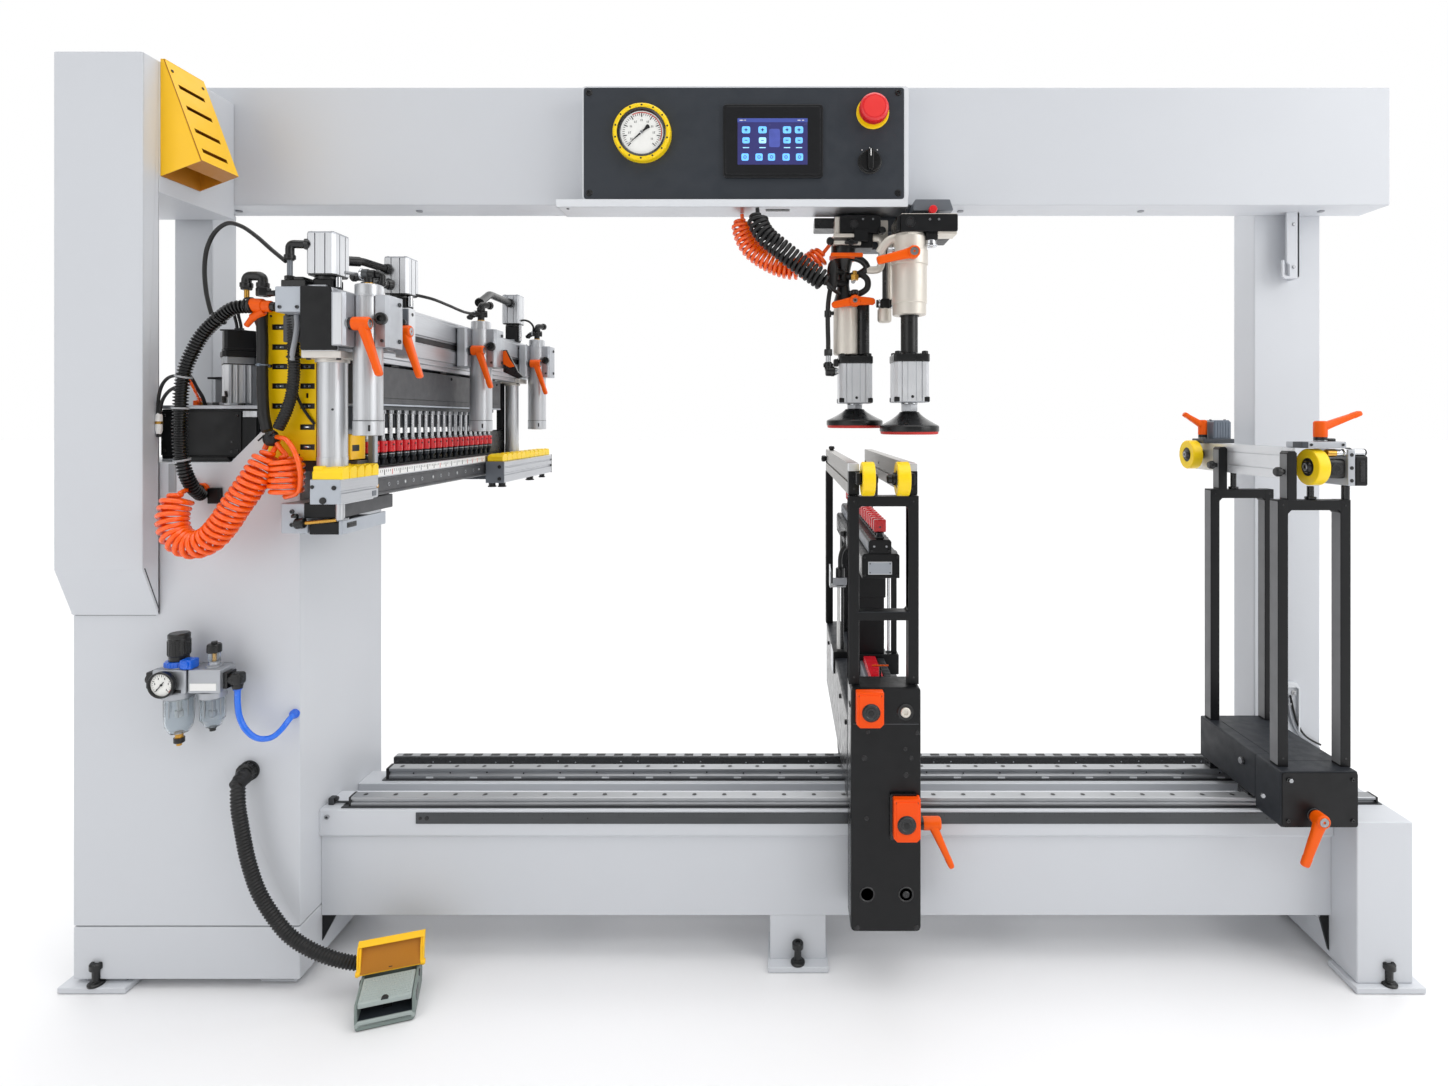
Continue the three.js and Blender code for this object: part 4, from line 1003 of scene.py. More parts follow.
# ports
b.box(-1162, -1142, -53, -25, 590, 621, "plastic", 2.5)
b.lathe((-1161, -39, 605), (-1, 0, 0), [(0, 0), (11, 0), (11, 3), (8.5, 3.5), (8.5, 7), (0, 7)], "black_steel", 24)
b.box(-1022, -1013, -52, -26, 590, 620, "plastic", 2)
b.lathe((-1014, -39, 605), (1, 0, 0), [(0, 0), (12, 0), (12, 8), (10.5, 9.5), (10.5, 13), (0, 13)], "plastic", 26)
b.box(-1014, -992, -50, -28, 594, 617, "plastic", 6, 2)
b.lathe((-1003, -39, 598), (0, 0, -1), [(0, 0), (9.5, 0), (9.5, 6), (8.5, 7.5), (8.5, 10.5), (7.2, 11.8), (0, 11.8)], "plastic", 22)
b.lathe((-1003, -39, 586.6), (0, 0, -1), [(0, 0), (7.6, 0), (7.6, 1.6), (6.2, 2.6), (0, 2.6)], "blue", 22)
b.done("air_preparation_unit")

b = B("air_unit_gauge", slot="dial")
b.lathe((-1118, -62, 604), (0, -1, 0), [(0, 0), (10, 0), (10, 2), (22.5, 3), (24, 4.5), (24, 12), (23, 13.4), (21, 13.6), (20.2, 12.2), (20.2, 8), (0, 8)], "plastic", 36)
dial_face(b, -1118, -70.8, 604, 20.2, 20, (40, -44))
b.pin((-1118 + 4.5, -72.4, 604 + 5.5), (-1118 - 9.5, -72.4, 604 - 11), 0.7, "ink", 0.1, 6)
b.cyl((-1118, -71.2, 604), (0, -1, 0), 2.2, 2.0, "ink", 0.5, 14)
for k, a in enumerate(np.linspace(225, -45, 6)):
    x, z = on_dial(-1118, 604, 12.4, a)
    b.box(x - 0.5, x + 0.5, -71.3, -70.9, z - 1.6, z + 1.6, "ink", 0.05)
b.done()

b = B("air_unit_bowls", slot="aluminium")
for x, r, z0, drain in ((-1111, 25, 505, True), (-1049, 21.5, 516, False)):
    top = 584
    b.lathe((x, -39, top), (0, 0, -1), [(0, 0), (r + 0.5, 0), (r + 1, 1), (r + 1, 11), (r - 1, 12.5), (0, 12.5)], "alu_cast", 36)
    b.lathe((x, -39, top - 12), (0, 0, -1), [(r - 4, 0), (r - 1.5, 0), (r - 1.5, 40), (r - 3, top - 12 - z0 - 14), (r - 9, top - 12 - z0 - 2), (6, top - 12 - z0), (4, top - 12 - z0 - 2),
                                             (r - 11, top - 12 - z0 - 4.5), (r - 5, top - 12 - z0 - 16), (r - 4, 40)], "bowl", 36, closed=True)
    b.lathe((x, -39, top - 12), (0, 0, -1), [(0, 0), (r - 8, 0), (r - 8, 4), (4.5, 6), (4.5, 24), (7, 25), (7, 36), (4, 38), (0, 38)], "white" if drain else "alu_cast", 22)
    for k in range(10):
        a = k * math.pi / 5 + 0.3
        p = np.array([x + (r - 1.2) * math.cos(a), -39 + (r - 1.2) * math.sin(a)])
        b.pin((p[0], p[1], top - 14), (p[0], p[1], top - 44), 0.9, "steel", 0.2, 6)
    if drain:
        b.lathe((x, -39, z0 + 1), (0, 0, -1), [(0, 0), (8, 0), (8, 3), (6.5, 4), (6.5, 9), (8.6, 10), (8.6, 17), (7, 18.5), (4.5, 19), (4.5, 24), (0, 24)], "brass", 20)
        b.lathe((x, -39, z0 - 8.5), (0, 0, -1), [(0, 0), (8.9, 0), (9, 8.5), (7.2, 10), (0, 10)], "plastic", 20)
    else:
        b.lathe((x, -39, z0 + 1), (0, 0, -1), [(0, 0), (6.5, 0), (6.5, 3), (5, 4), (5, 8), (0, 8)], "plastic", 18)
b.done()

b = B("regulator_cap", "regulator", slot="black_plastic")
b.lathe((-1111, -39, 640.3), (0, 0, 1), [(0, 0), (16, 0), (16, 8), (17.6, 9.5), (17.6, 38), (16.8, 40), (17.6, 42), (17.6, 47.5), (15.5, 49.7), (0, 49.7)], "plastic", 40)
for k in range(20):
    a = k * math.pi / 10
    b.pin((-1111 + 17.2 * math.cos(a), -39 + 17.2 * math.sin(a), 651), (-1111 + 17.2 * math.cos(a), -39 + 17.2 * math.sin(a), 677), 1.0, "plastic", 0.3, 6)
b.done("regulator_knob")

b = B("blue_tube_fitting", slot="black_plastic")
b.lathe((-921, 0.4, 525), (0, -1, 0.3), [(0, 0), (9, 0), (9, 3), (7.5, 4), (7.5, 8), (6.4, 9), (0, 9)], "blue", 20)
b.done()

# ------------------------------------------------------------------ foot pedal, built about its own front edge
PED = Matrix.Translation(Vector((-706, -88, 0))) @ Matrix.Rotation(math.radians(18), 4, "Z")
b = B("pedal_housing", slot="pedal_grey").at(PED)
b.prism("z", [(-49, 0), (49, 0), (49, 104), (-49, 104)], 1, 14, "pedal", b=2.5, rc=6, n=3)
b.prism("z", [(-47, 2), (47, 2), (47, 102), (-47, 102)], 0.2, 1.4, "rubber", b=0.3, rc=5)
for u0 in (-49, 44.2):
    b.prism("x", [(1.2, 11), (103, 11), (103, 54), (60, 54.5), (2.5, 46.5), (0, 40), (0, 14)], u0, u0 + 4.8, "pedal", b=1.4, rc=2)
b.box(-49, 49, 0, 5, 6, 17.5, "pedal_light", 2.2, 2)
b.box(-49, 49, 79.5, 104, 10, 78, "pedal", 4, 3)
b.box(-45, 45, 58, 80, 30, 38, "pedal", 1)
b.box(-45, 45, 4, 78, 13, 15, "slate", 0.6)
# inside: switch body, pedestal with its spring
b.box(-40, -16, 40, 76, 14, 38, "plastic", 2)
b.box(-8, 8, 28, 44, 14, 18, "plastic", 1)
th = np.linspace(0, 2 * math.pi * 6, 120)
b.tube(np.stack([6.0 * np.cos(th), 36 + 6.0 * np.sin(th), 18 + th / th[-1] * 22], 1), 0.9, "chrome", 6)
b.pin((0, 36, 15), (0, 36, 36), 3, "steel", 0.6, 14)
# side pivots and slots
for s in (-1, 1):
    b.cyl((s * 48.6, 58, 47), (s, 0, 0), 6, 2, "plastic", 0.6, 18)
    b.box(*(sorted((s * 48.4, s * 49.7))), 22, 44, 20, 38, "plastic", 0.5)
b.cyl((0, 103.6, 46), (0, 1, 0), 11, 1, "plastic", 0.5, 20)
# collar for the hose at the left of the rear part
b.lathe((-48, 92, 60), (-1, 0, 0), [(0, 0), (15.5, 0), (15.5, 6), (14, 7), (0, 7)], "plastic", 24)
b.done("pedal_base")

b = B("pedal_plate", "treadle", slot="pedal_grey").at(PED)
b.prism("x", [(0, 42.6), (0.5, 49.6), (57, 55.4), (59.5, 52), (57, 47.4)], -43.6, 43.6, "pedal_light", b=1.4, rc=1.6)
slope = (55.4 - 49.6) / 56.5
for i in range(17):
    for j in range(9):
        u, v = -38 + i * 4.75 + (j % 2) * 2.3, 6 + j * 5.6
        z = 49.6 + v * slope
        if u < 41:
            b.lathe((u, v, z - 0.4), (0, 0, 1), [(0, 0), (1.7, 0), (1.5, 0.9), (0.8, 1.4), (0, 1.5)], "pedal_light", 6)
b.box(-43.6, 43.6, -0.6, 3.2, 40.5, 49.4, "pedal_light", 1.6, 2)
b.lathe((0, -0.2, 48.4), (0, 1, 0.1), [(0, 0), (6, 0), (6, 5), (0, 5)], "ink", 18)
b.done("pedal_treadle")

b = B("pedal_cover", "guard", slot="yellow").at(PED)
lean = lambda t: (60.5 + t * 24.5, 59 + t * 49)
prof = [(60, 59.5), (62.5, 58.5), (87, 107), (84.5, 109)]
b.prism("x", prof, -55, 55, "yellow", b=0.8, rc=0.8)
# inner face of the guard in the darker yellow copy: painted shade
b.prism("x", [(59.2, 62), (60.6, 61.6), (82.4, 105), (81, 105.6)], -51, 51, "yellow_painted_shade", b=0.3)
for s in (-1, 1):
    u0, u1 = sorted((s * 54, s * 57))
    b.prism("x", [(60, 56), (68, 57), (89, 106), (85, 110), (70, 106), (63, 92)], u0, u1, "yellow", b=0.9, rc=2.5, n=3)
    u0, u1 = sorted((s * 50, s * 54.2))
    b.prism("x", [(60.2, 62), (67, 62), (87, 105), (72, 103), (65, 90)], u0, u1, "yellow", b=0.9, rc=2)
    b.cyl((s * 51, 64, 62), (s, 0, 0), 5, 8, "yellow", 1, 18)
b.prism("x", [(70, 105.5), (72, 103.4), (86, 106.6), (85, 109.6)], -57, 57, "yellow", b=0.9, rc=0.8)
b.box(-3.5, 3.5, 61, 65, 64, 67, "ink", 0.8)
b.done("pedal_guard")

# ------------------------------------------------------------------ shared details of the mechanics
material("cover_grey", (66, 67, 70), 0.45, var=0.05, bump=0.2, bump_scale=1000)
material("grey_face", (112, 117, 124), 0.42, metal=0.3, var=0.04, bump=0.1)
material("block_grey", (176, 182, 190), 0.4, metal=0.25, var=0.02, bump=0.12, bump_scale=900)
material("cream", (206, 202, 196), 0.38, metal=0.5, var=0.02, bump=0.08)
# a brightened copy of the yellow for the valve cover: painted light against the shade the cover sits in
material("yellow_painted_lit", (255, 208, 0), 0.42, var=0.02, bump=0.1, bump_scale=700, spec=0.2)
material("alu_grey", (160, 158, 154), 0.42, metal=0.85, var=0.03, grain="y", bump=0.06)
# a grey for thin strips on the left faces of black frames: painted highlight
material("edge_painted_highlight", (112, 113, 115), 0.45, var=0.05, bump=0.15)
material("alu_bright", (216, 218, 221), 0.36, 0.5, var=0.04, bump=0.06)
material("red_chuck", (214, 14, 26), 0.28, var=0.03, bump=0.05, coat=0.3)


def Q(px, py, y):
    """The point at depth y, in millimetres, that the camera sees at a place of the 1448 x 1086 frame."""
    k = 1.9 * (1461 + y) / 1461
    return ((px - 780) * k, y, 1083 - (py - 420) * k)


def unit(v):
    v = np.asarray(v, float)
    return v / np.linalg.norm(v)


def loft(b, pts, sizes, side, mat, n=20, power=3.4):
    """Rounded rectangles along points; sizes are (width along side, thickness across it)."""
    pts = np.asarray(pts, float)
    side = np.asarray(side, float)
    rings = []
    ang = np.arange(n) * 2 * math.pi / n
    c, s = np.cos(ang), np.sin(ang)
    c, s = np.sign(c) * np.abs(c) ** (2 / power), np.sign(s) * np.abs(s) ** (2 / power)
    for i in range(len(pts)):
        t = unit(pts[min(i + 1, len(pts) - 1)] - pts[max(i - 1, 0)])
        u = unit(side - t * (side @ t))
        w = np.cross(t, u)
        rings.append(pts[i] + np.outer(c, u) * sizes[i][0] / 2 + np.outer(s, w) * sizes[i][1] / 2)
    b.quadstrip(rings, mat)


def handle(name, body, hub, ax, tip, r, length, node, w=(19, 15.5), th=(15, 9.5), at=0.62, step=True):
    """A ratchet clamp lever: washer, collar, hub with its screw, and a tapering arm."""
    hub, ax, tip = np.asarray(hub, float), unit(ax), np.asarray(tip, float)
    b = B(name, body, slot="orange")
    b.cyl(hub, ax, r * 0.98, 2.2, "steel", 0.4, 26)
    b.cyl(hub + ax * 2.0, ax, r * 0.96, length * 0.17, "plastic", 0.8, 26)
    h0 = hub + ax * length * 0.2
    L = length * 0.8
    b.lathe(h0, ax, [(0, 0), (r - 1.4, 0), (r - 0.4, 0.4), (r, 1.6), (r, L - 4), (r - 0.8, L - 1.6), (r - 2.4, L - 0.3), (r * 0.7, L), (r * 0.66, L - 1.2), (0, L - 1.2)], "orange", 30)
    b.ring(h0 + ax * (L - 1.4), ax, r * 0.36, r * 0.64, 1.6, "steel", 0.4, 20)
    b.socket(h0 + ax * (L - 2.6), ax, r * 0.4, 2.6, "steel", "ink")
    s0 = hub + ax * length * at
    a = tip - s0
    side = unit(np.cross(ax, a))
    ts = [0.0, 0.06, 0.14, 0.26, 0.45, 0.65, 0.79, 0.81, 0.9, 0.955, 0.985, 1.0]
    ws, pts = [], []
    for t in ts:
        k = min(1, t / 0.26)
        ww = 2 * r * 0.96 * (1 - k) + w[0] * k if t < 0.26 else w[0] + (w[1] - w[0]) * (t - 0.26) / 0.74
        hh = min(th[0] * 1.15, L * 0.75) * (1 - k) + th[0] * k if t < 0.26 else th[0] + (th[1] - th[0]) * (t - 0.26) / 0.74
        if step and t >= 0.8:
            ww, hh = ww * 1.07, hh * 1.12
        if t > 0.98:
            ww, hh = ww * (0.86 if t < 0.99 else 0.5), hh * (0.8 if t < 0.99 else 0.4)
        pts.append(s0 + a * t)
        ws.append((ww, hh))
    loft(b, pts, ws, side, "orange", 22)
    return b.done(node)


def bend(p0, p1, p2, rr, n=7):
    p0, p1, p2 = (np.asarray(q, float) for q in (p0, p1, p2))
    a, c = unit(p0 - p1), unit(p2 - p1)
    return [p0] + [(1 - t) ** 2 * (p1 + a * rr) + 2 * t * (1 - t) * p1 + t * t * (p1 + c * rr) for t in np.linspace(0, 1, n)] + [p2]


def elbow(b, p0, p1, p2, r, mat="plastic", collar=1.25, ends=(True, True)):
    """A push-in elbow with a collar at each end."""
    b.tube(bend(p0, p1, p2, r * 1.12), r * 0.97, mat, 16)
    for p, q, on in ((p0, p1, ends[0]), (p2, p1, ends[1])):
        if on:
            p, d = np.asarray(p, float), unit(np.asarray(p, float) - np.asarray(q, float))
            b.lathe(p - d * r * 1.1, d, [(0, 0), (r * collar * 0.94, 0), (r * collar, r * 0.15), (r * collar, r * 0.85), (r * collar * 0.94, r), (r * 0.9, r * 1.05), (r * 0.9, r * 1.3), (0, r * 1.3)], mat, 20)


def tie(b, c, d, r, mat="tie", w=3.4):
    c, d = np.asarray(c, float), unit(d)
    b.ring(c - d * w / 2, d, r * 0.95, r + 1.3, w, mat, 0.3, 24)
    u, v, _ = basis(d)
    b.box(*[q for k in range(3) for q in sorted(((c + u * r - 2.6)[k], (c + u * r + 2.6)[k]))], mat, 0.6)


def slotted(cx, cy, h, c=7.0, at=(-13, 13), gw=2.6, gd=4.5):
    """Outline of a square profile with grooves in each side."""
    pts = []
    for k in range(4):
        a = k * math.pi / 2
        ca, sa = math.cos(a), math.sin(a)
        side = [(-h + c, -h)]
        for g in at:
            side += [(g - gw / 2, -h), (g - gw / 2, -h + gd), (g + gw / 2, -h + gd), (g + gw / 2, -h)]
        side.append((h - c, -h))
        pts += [(cx + x * ca - y * sa, cy + x * sa + y * ca) for x, y in side]
    return pts


# ------------------------------------------------------------------ left head: frame, cover, gearbox and motor
b = B("head_frame_casting", slot="slate")
b.box(-990, -905, 0.5, 950, 1064.6, 1285, "slate", 3, 2)
b.box(-990, -905, 850.3, 950, 905, 1070, "slate", 3, 2)
b.box(-906, -786, 850.3, 905, 905, 979.7, "slate", 2, 2)
b.box(-984, -911, 40, 820, 1284.5, 1290, "cover_grey", 1.5)
for y in range(80, 800, 120):
    b.socket((-948, y, 1290), (0, 0, 1), 6, 5)
for y in (880, 920):
    for z in (940, 1000, 1040):
        b.socket((-905, y, z), (1, 0, 0), 6, 4)
b.box(-990.4, -989.6, 60, 890, 1120, 1124, "seam", 0.1)
for y in (120, 420, 720):
    b.box(-992, -990, y, y + 110, 1140, 1230, "cover_grey", 0.8)
    for dy, dz in ((8, 8), (102, 8), (8, 82), (102, 82)):
        b.socket((-992, y + dy, 1140 + dz), (-1, 0, 0), 3.2, 2)
b.done("head_frame")

b = B("valve_cover_plate", slot="yellow")
X0, X1, Z0, Z1 = -950, -861, 1008, 1289
holes = []
for py in (327, 347, 366.5, 386, 406):
    z = Q(0, py, -34)[2]
    holes.append((272, 287.5, z))
for py in (366.5, 386, 406, 427, 447):
    z = Q(0, py, -34)[2]
    holes.append((300, 315, z))
rects = [(Q(a, 0, -34)[0] - X0, Q(c, 0, -34)[0] - X0, z - Z0 - 5.2, z - Z0 + 5.2) for a, c, z in holes]
rects = [(max(3, p), min(X1 - X0 - 2.5, q), r0, r1) for p, q, r0, r1 in rects]
rects += [(Q(306, 0, -34)[0] - X0, Q(308.4, 0, -34)[0] - X0, Q(0, 398, -34)[2] - Z0, Q(0, 393, -34)[2] - Z0)]
# face in the brightened yellow, painted light; back and hole walls in the darker yellow copy, painted shade
panel(b, (X0, -34, Z0), (1, 0, 0), (0, 0, 1), (0, 2.2, 0), X1 - X0, Z1 - Z0, rects, "yellow_painted_lit", "yellow_painted_shade", "yellow_painted_shade")
b.prism("y", [(X0, Z0), (X0, Z1), (X0 + 2.2, Z1), (X0 + 2.2, Z0)], -33, -0.4, "yellow_painted_lit", b=0.5)
b.prism("y", [(X1 - 2.2, Z0), (X1 - 2.2, Z1), (X1, Z1), (X1, Z0)], -33, -0.4, "yellow_painted_lit", b=0.5)
b.box(X0, X1, -33, -0.4, Z1 - 2.2, Z1, "yellow_painted_lit", 0.6)
b.box(X0, X1, -33, -0.4, Z0, Z0 + 2.2, "yellow_painted_lit", 0.6)
# a dark box fills the cover behind its slots: painted shade
b.box(X0 + 2, X1 - 2, -30, -1, Z0 + 2, Z1 - 2, "ink", 0.5)
# a bluish plate and a chrome chip in each slot: painted glints
for a, c, z in holes:
    xa, xc = Q(a, 0, -34)[0], min(Q(c, 0, -34)[0], X1 - 3)
    b.box(xa + 5, xc - 9, -31.5, -29.5, z - 2.2, z + 2.2, "slate_blue", 0.8)
    b.box(xa + 8, xa + 15, -32.2, -31, z - 1.5, z + 1.5, "chrome", 0.6)
for px, py in ((299, 455), (271, 316), (299, 316)):
    x, y, z = Q(px, py, -34)
    b.cyl((x, -34.6, z), (0, 1, 0), 2.2, 1, "ink", 0.2, 14)
b.done("valve_cover")

b = B("drive_gearbox", slot="slate")
b.prism("y", [(-1194, 1008), (-1042, 1008), (-1007, 1044), (-1007, 1104), (-1194, 1104)], 24, 190, "black", b=1.5, rc=3)
b.prism("y", [(-1193, 1015), (-1038, 1015), (-1038, 1100), (-1193, 1100)], 20.5, 25, "black", b=1.0, rc=2)
b.prism("y", [(-1036.5, 1015), (-1034, 1015), (-1009, 1043), (-1009, 1087), (-1036.5, 1087)], 21, 25, "black", b=0.8, rc=1)
b.box(-1036, -1008, 21, 30, 1088.5, 1101, "alu", 1.5)
b.box(-1194.5, -1006, 20, 188, 1104.4, 1111.6, "alu_cast", 1.5)
# strip in the gap under the gearbox in the darker paint copy: painted shade
b.box(-1192, -1040, 22, 186, 1003.6, 1008.5, "paint_painted_shade", 0.8)
b.prism("y", [(-1150, 1002.8), (-1050, 1002.8), (-1060, 1012), (-1146, 1012)], 12, 24, "black", b=1.5, rc=3)
for x, z in ((-1185, 1024), (-1185, 1092), (-1046, 1024), (-1046, 1092)):
    b.socket((x, 20.8, z), (0, -1, 0), 3, 2)
for x, z in ((-1056, 1041), (-1057, 1022)):
    b.cyl((x, 20.8, z), (0, -1, 0), 2.4, 0.8, "plastic", 0.3, 12)
for y in (60, 105, 150):
    b.box(-1194.8, -1193.6, y - 16, y + 16, 1030, 1080, "seam", 0.2)
# motor: square housing set on edge, rings, flange and terminal cap
mc = (-1076, 70)


def turned(h, c, a=40):
    pts = slotted(0, 0, h, c, at=(), gw=0)
    ca, sa = math.cos(math.radians(a)), math.sin(math.radians(a))
    return [(mc[0] + x * ca - y * sa, mc[1] + x * sa + y * ca) for x, y in pts]


b.prism("z", turned(27.0, 7), 1112, 1193, "alu_bright", b=1.0, rc=3)
b.cyl((mc[0], mc[1], 1111.5), (0, 0, 1), 33, 6, "alu_cast", 1, 32)
for k, s in enumerate((-16, -6.5, 6.5, 16)):
    a = math.radians(40)
    n_ = np.array([math.cos(a), math.sin(a), 0])
    t_ = np.array([-math.sin(a), math.cos(a), 0])
    p = np.array([mc[0], mc[1], 0]) - t_ * 27.2 + n_ * s
    b.pin(p + (0, 0, 1116), p + (0, 0, 1191), 3.4, "alu" if k % 2 else "alu_cast", 0.6, 14)
b.prism("z", turned(28.2, 6), 1193.5, 1207, "steel", b=0.8, rc=2)
b.prism("z", turned(27.6, 6), 1191.5, 1194, "ink", b=0.3)
b.prism("z", turned(30.0, 6), 1207.5, 1218, "black", b=1.2, rc=3)
b.prism("z", turned(26.5, 5), 1218, 1260, "black", b=1.5, rc=3)
b.prism("z", turned(27.6, 5), 1220, 1224, "black", b=0.8, rc=2)
b.box(mc[0] - 21, mc[0] + 21, 44, 96, 1258, 1261, "black", 1.2)
for px in (234.5, 238.5):
    x = Q(px, 0, 50)[0]
    b.tube(smooth([(x, 58, 1260), (x, 56, 1272), (x + 1, 50, 1284), (x + 8, 36, 1296)], 14), 3.0, "rubber", 10)
    b.ring((x, 58, 1259.5), (0, 0, 1), 2.8, 5, 5, "plastic", 0.6, 16)
b.pin(Q(224, 396, 34), Q(224, 403, 34), 3.6, "plastic", 1, 14)
b.pin(Q(225.5, 391, 34), Q(226.5, 397, 34), 2.2, "plastic", 0.6, 12)
b.cyl((-1050, 40, 1111.5), (0, 0, 1), 7, 4, "plastic", 1, 18)
# small bracket and fittings beside the motor
b.box(-1160, -1100, 118, 121, 1112, 1172, "alu_cast", 1)
b.box(-1160, -1096, 96, 121, 1166, 1170, "plastic", 1)
b.cyl((-1124, 108, 1170), (0, 0, 1), 6, 12, "plastic", 2, 20)
for x, m, r in ((-1140, "brass", 7), (-1126, "steel", 8), (-1113, "steel_dark", 7.5)):
    b.hexnut((x, 60, 1111.6), (0, 0, 1), r * 2, 7, m)
b.cyl((-1150, 56, 1111.6), (0, 0, 1), 6.5, 10, "orange", 1.5, 18)
b.pin((-1150, 56, 1118), (-1138, 50, 1124), 4, "orange", 1, 14)
b.done("drive_unit")

# ------------------------------------------------------------------ left drill head and its spindles
b = B("drill_head_housing", "left_head", slot="slate")
b.box(-904, -800, 40, 740, 1115, 1192, "cover_grey", 2.5, 2)
b.box(-903, -798.6, 42, 738, 1112, 1115.6, "block_grey", 0.8)
for y in (70, 240, 410, 580, 710):
    b.socket((-800, y, 1182), (1, 0, 0), 3.4, 2.4)
b.box(-800.4, -799.4, 60, 720, 1127, 1128.4, "ink", 0.1)
for y in (150, 390, 630):
    b.cyl((-852, y, 1191.8), (0, 0, 1), 22, 9, "alu_cast", 1.5, 28)
    b.cyl((-852, y, 1200), (0, 0, 1), 9, 5, "steel", 1, 20)
for x in (-890, -812):
    b.socket((x, 40, 1178), (0, -1, 0), 4, 3)
    b.socket((x, 40, 1126), (0, -1, 0), 4, 3)
b.done("left_drill_head")

b = B("drill_spindles_left", "left_head", slot="red")
b.box(-831, -809, 50, 710, 1104, 1111.8, "steel_dark", 1)
b.box(-831, -809, 48, 712, 987.6, 991.0, "black", 0.8)
for i in range(21):
    y = 60 + 32 * i
    x = -820
    b.cyl((x, y, 1096), (0, 0, 1), 7.4, 9, "steel", 1, 16)
    b.cyl((x, y, 1044), (0, 0, 1), 4.9, 54, "chrome", 0.6, 16)
    b.cyl((x, y, 1040), (0, 0, 1), 6.8, 5, "steel", 0.8, 16)
    b.lathe((x, y, 1017), (0, 0, 1), [(0, 0), (8.6, 0), (9.6, 1), (9.8, 2.2), (9.8, 21), (9.2, 22.6), (7.8, 23.4), (0, 23.4)], "red_chuck", 20)
    b.ring((x, y, 1027), (0, 0, 1), 9.4, 10.0, 1.2, "red", 0.2, 20)
    b.cyl((x + 9.0, y - 3, 1032), (1, -0.3, 0), 2.0, 1.2, "ink", 0.2, 10)
    b.lathe((x, y, 992), (0, 0, 1), [(0, 0), (3.2, 0), (3.6, 0.6), (4.6, 8), (7.6, 13), (8.8, 15), (8.8, 24), (8.0, 25), (0, 25)], "holder", 16)
    b.cyl((x, y, 1012), (0, 0, 1), 9.1, 2.0, "steel", 0.4, 16)
    b.cyl((x, y, 991.2), (0, 0, 1), 2.6, 6, "steel", 0.5, 10)
b.done("left_spindles")

# ------------------------------------------------------------------ press beam, columns, air cylinders, clamp blocks
b = B("press_beam_profile", slot="aluminium")
prof = [(-846, 1206), (-794, 1206), (-790, 1208), (-790, 1213), (-793, 1214), (-793, 1218), (-789.5, 1220), (-789.5, 1248), (-794, 1250), (-794, 1253), (-806, 1253),
        (-806, 1266), (-794, 1266), (-794, 1268), (-789.5, 1270), (-789.5, 1309), (-792, 1311), (-792, 1316), (-796, 1319.5), (-812, 1319.5), (-812, 1310), (-826, 1310), (-826, 1319.5),
        (-846, 1319.5), (-849.5, 1316), (-849.5, 1268), (-840, 1266), (-840, 1254), (-849.5, 1252), (-849.5, 1210)]
b.prism("y", prof, -97, 949, "alu_y", b=0.6)
# dark box filling the T-slot groove: painted shade
b.box(-805, -793, -96, 948, 1254, 1265, "ink", 0.3)
b.prism("y", [(-849, 1207), (-790, 1207), (-790, 1320), (-849, 1320)], 946, 950, "plastic", b=1, rc=6)
# under-rail with its pads
b.box(-846, -793, -40, 900, 1197, 1206.4, "alu_y", 1.2)
for y in (36, 150, 262, 380, 560, 700):
    b.box(-832, -806, y - 16, y + 16, 1193.4, 1197.6, "plastic", 1)
# hole in the beam end: a steel ring round a dark disc, the disc painted shade
b.cyl((-789, -44, 1258), (1, 0, 0), 7, 1.2, "steel", 0.4, 20)
b.cyl((-788.4, -44, 1258), (1, 0, 0), 4.4, 1.0, "ink", 0.3, 16)
for y in (140, 420, 860):
    b.socket((-789.6, y, 1300), (1, 0, 0), 4.2, 3)
b.done("press_frame")

b = B("press_beam_end_plate", slot="black")
arc = [(-785.0 - 11.5 * math.sin(t), 1300 + 20 * (1 - math.cos(t))) for t in np.linspace(0, math.pi / 2, 8)]
plate = [(-850, 1207), (-785.0, 1207)] + arc + [(-850, 1321)]
b.prism("y", plate, -100, -96.6, "black", b=1.0, rc=3)
b.prism("y", [(x + 0.8, z - 0.6) for x, z in plate], -97.2, -95.5, "chrome", b=0.3)
b.done()

b = B("press_arm_block", slot="paint_grey")
b.box(-898, -849, -95, -20, 1275, 1321, "block_grey", 2.5, 2)
b.box(-906, -850, -60, 40, 1225, 1274, "cover_grey", 2, 2)
b.box(-889, -846, -92, -52, 1321, 1333, "plastic", 1.5, 2)
b.box(-868, -850, -90, -56, 1333, 1339, "plastic", 1.5, 2)
b.hexnut((-877, -85, 1333), (0, 0, 1), 15, 8, "plastic")
b.pin((-877, -85, 1341), (-877, -85, 1372), 4.6, "grey_face", 0.6, 18)
elbow(b, (-877, -85, 1370), (-877, -85, 1398), (-842, -80, 1398), 7.6)
b.hexnut((-852, -80.6, 1398), (1, 0.1, 0), 19, 8, "plastic")
for x, z in ((-889, 1284), (-858, 1284)):
    b.socket((x, -95, z), (0, -1, 0), 3.2, 2.2, "steel_dark")
b.done()

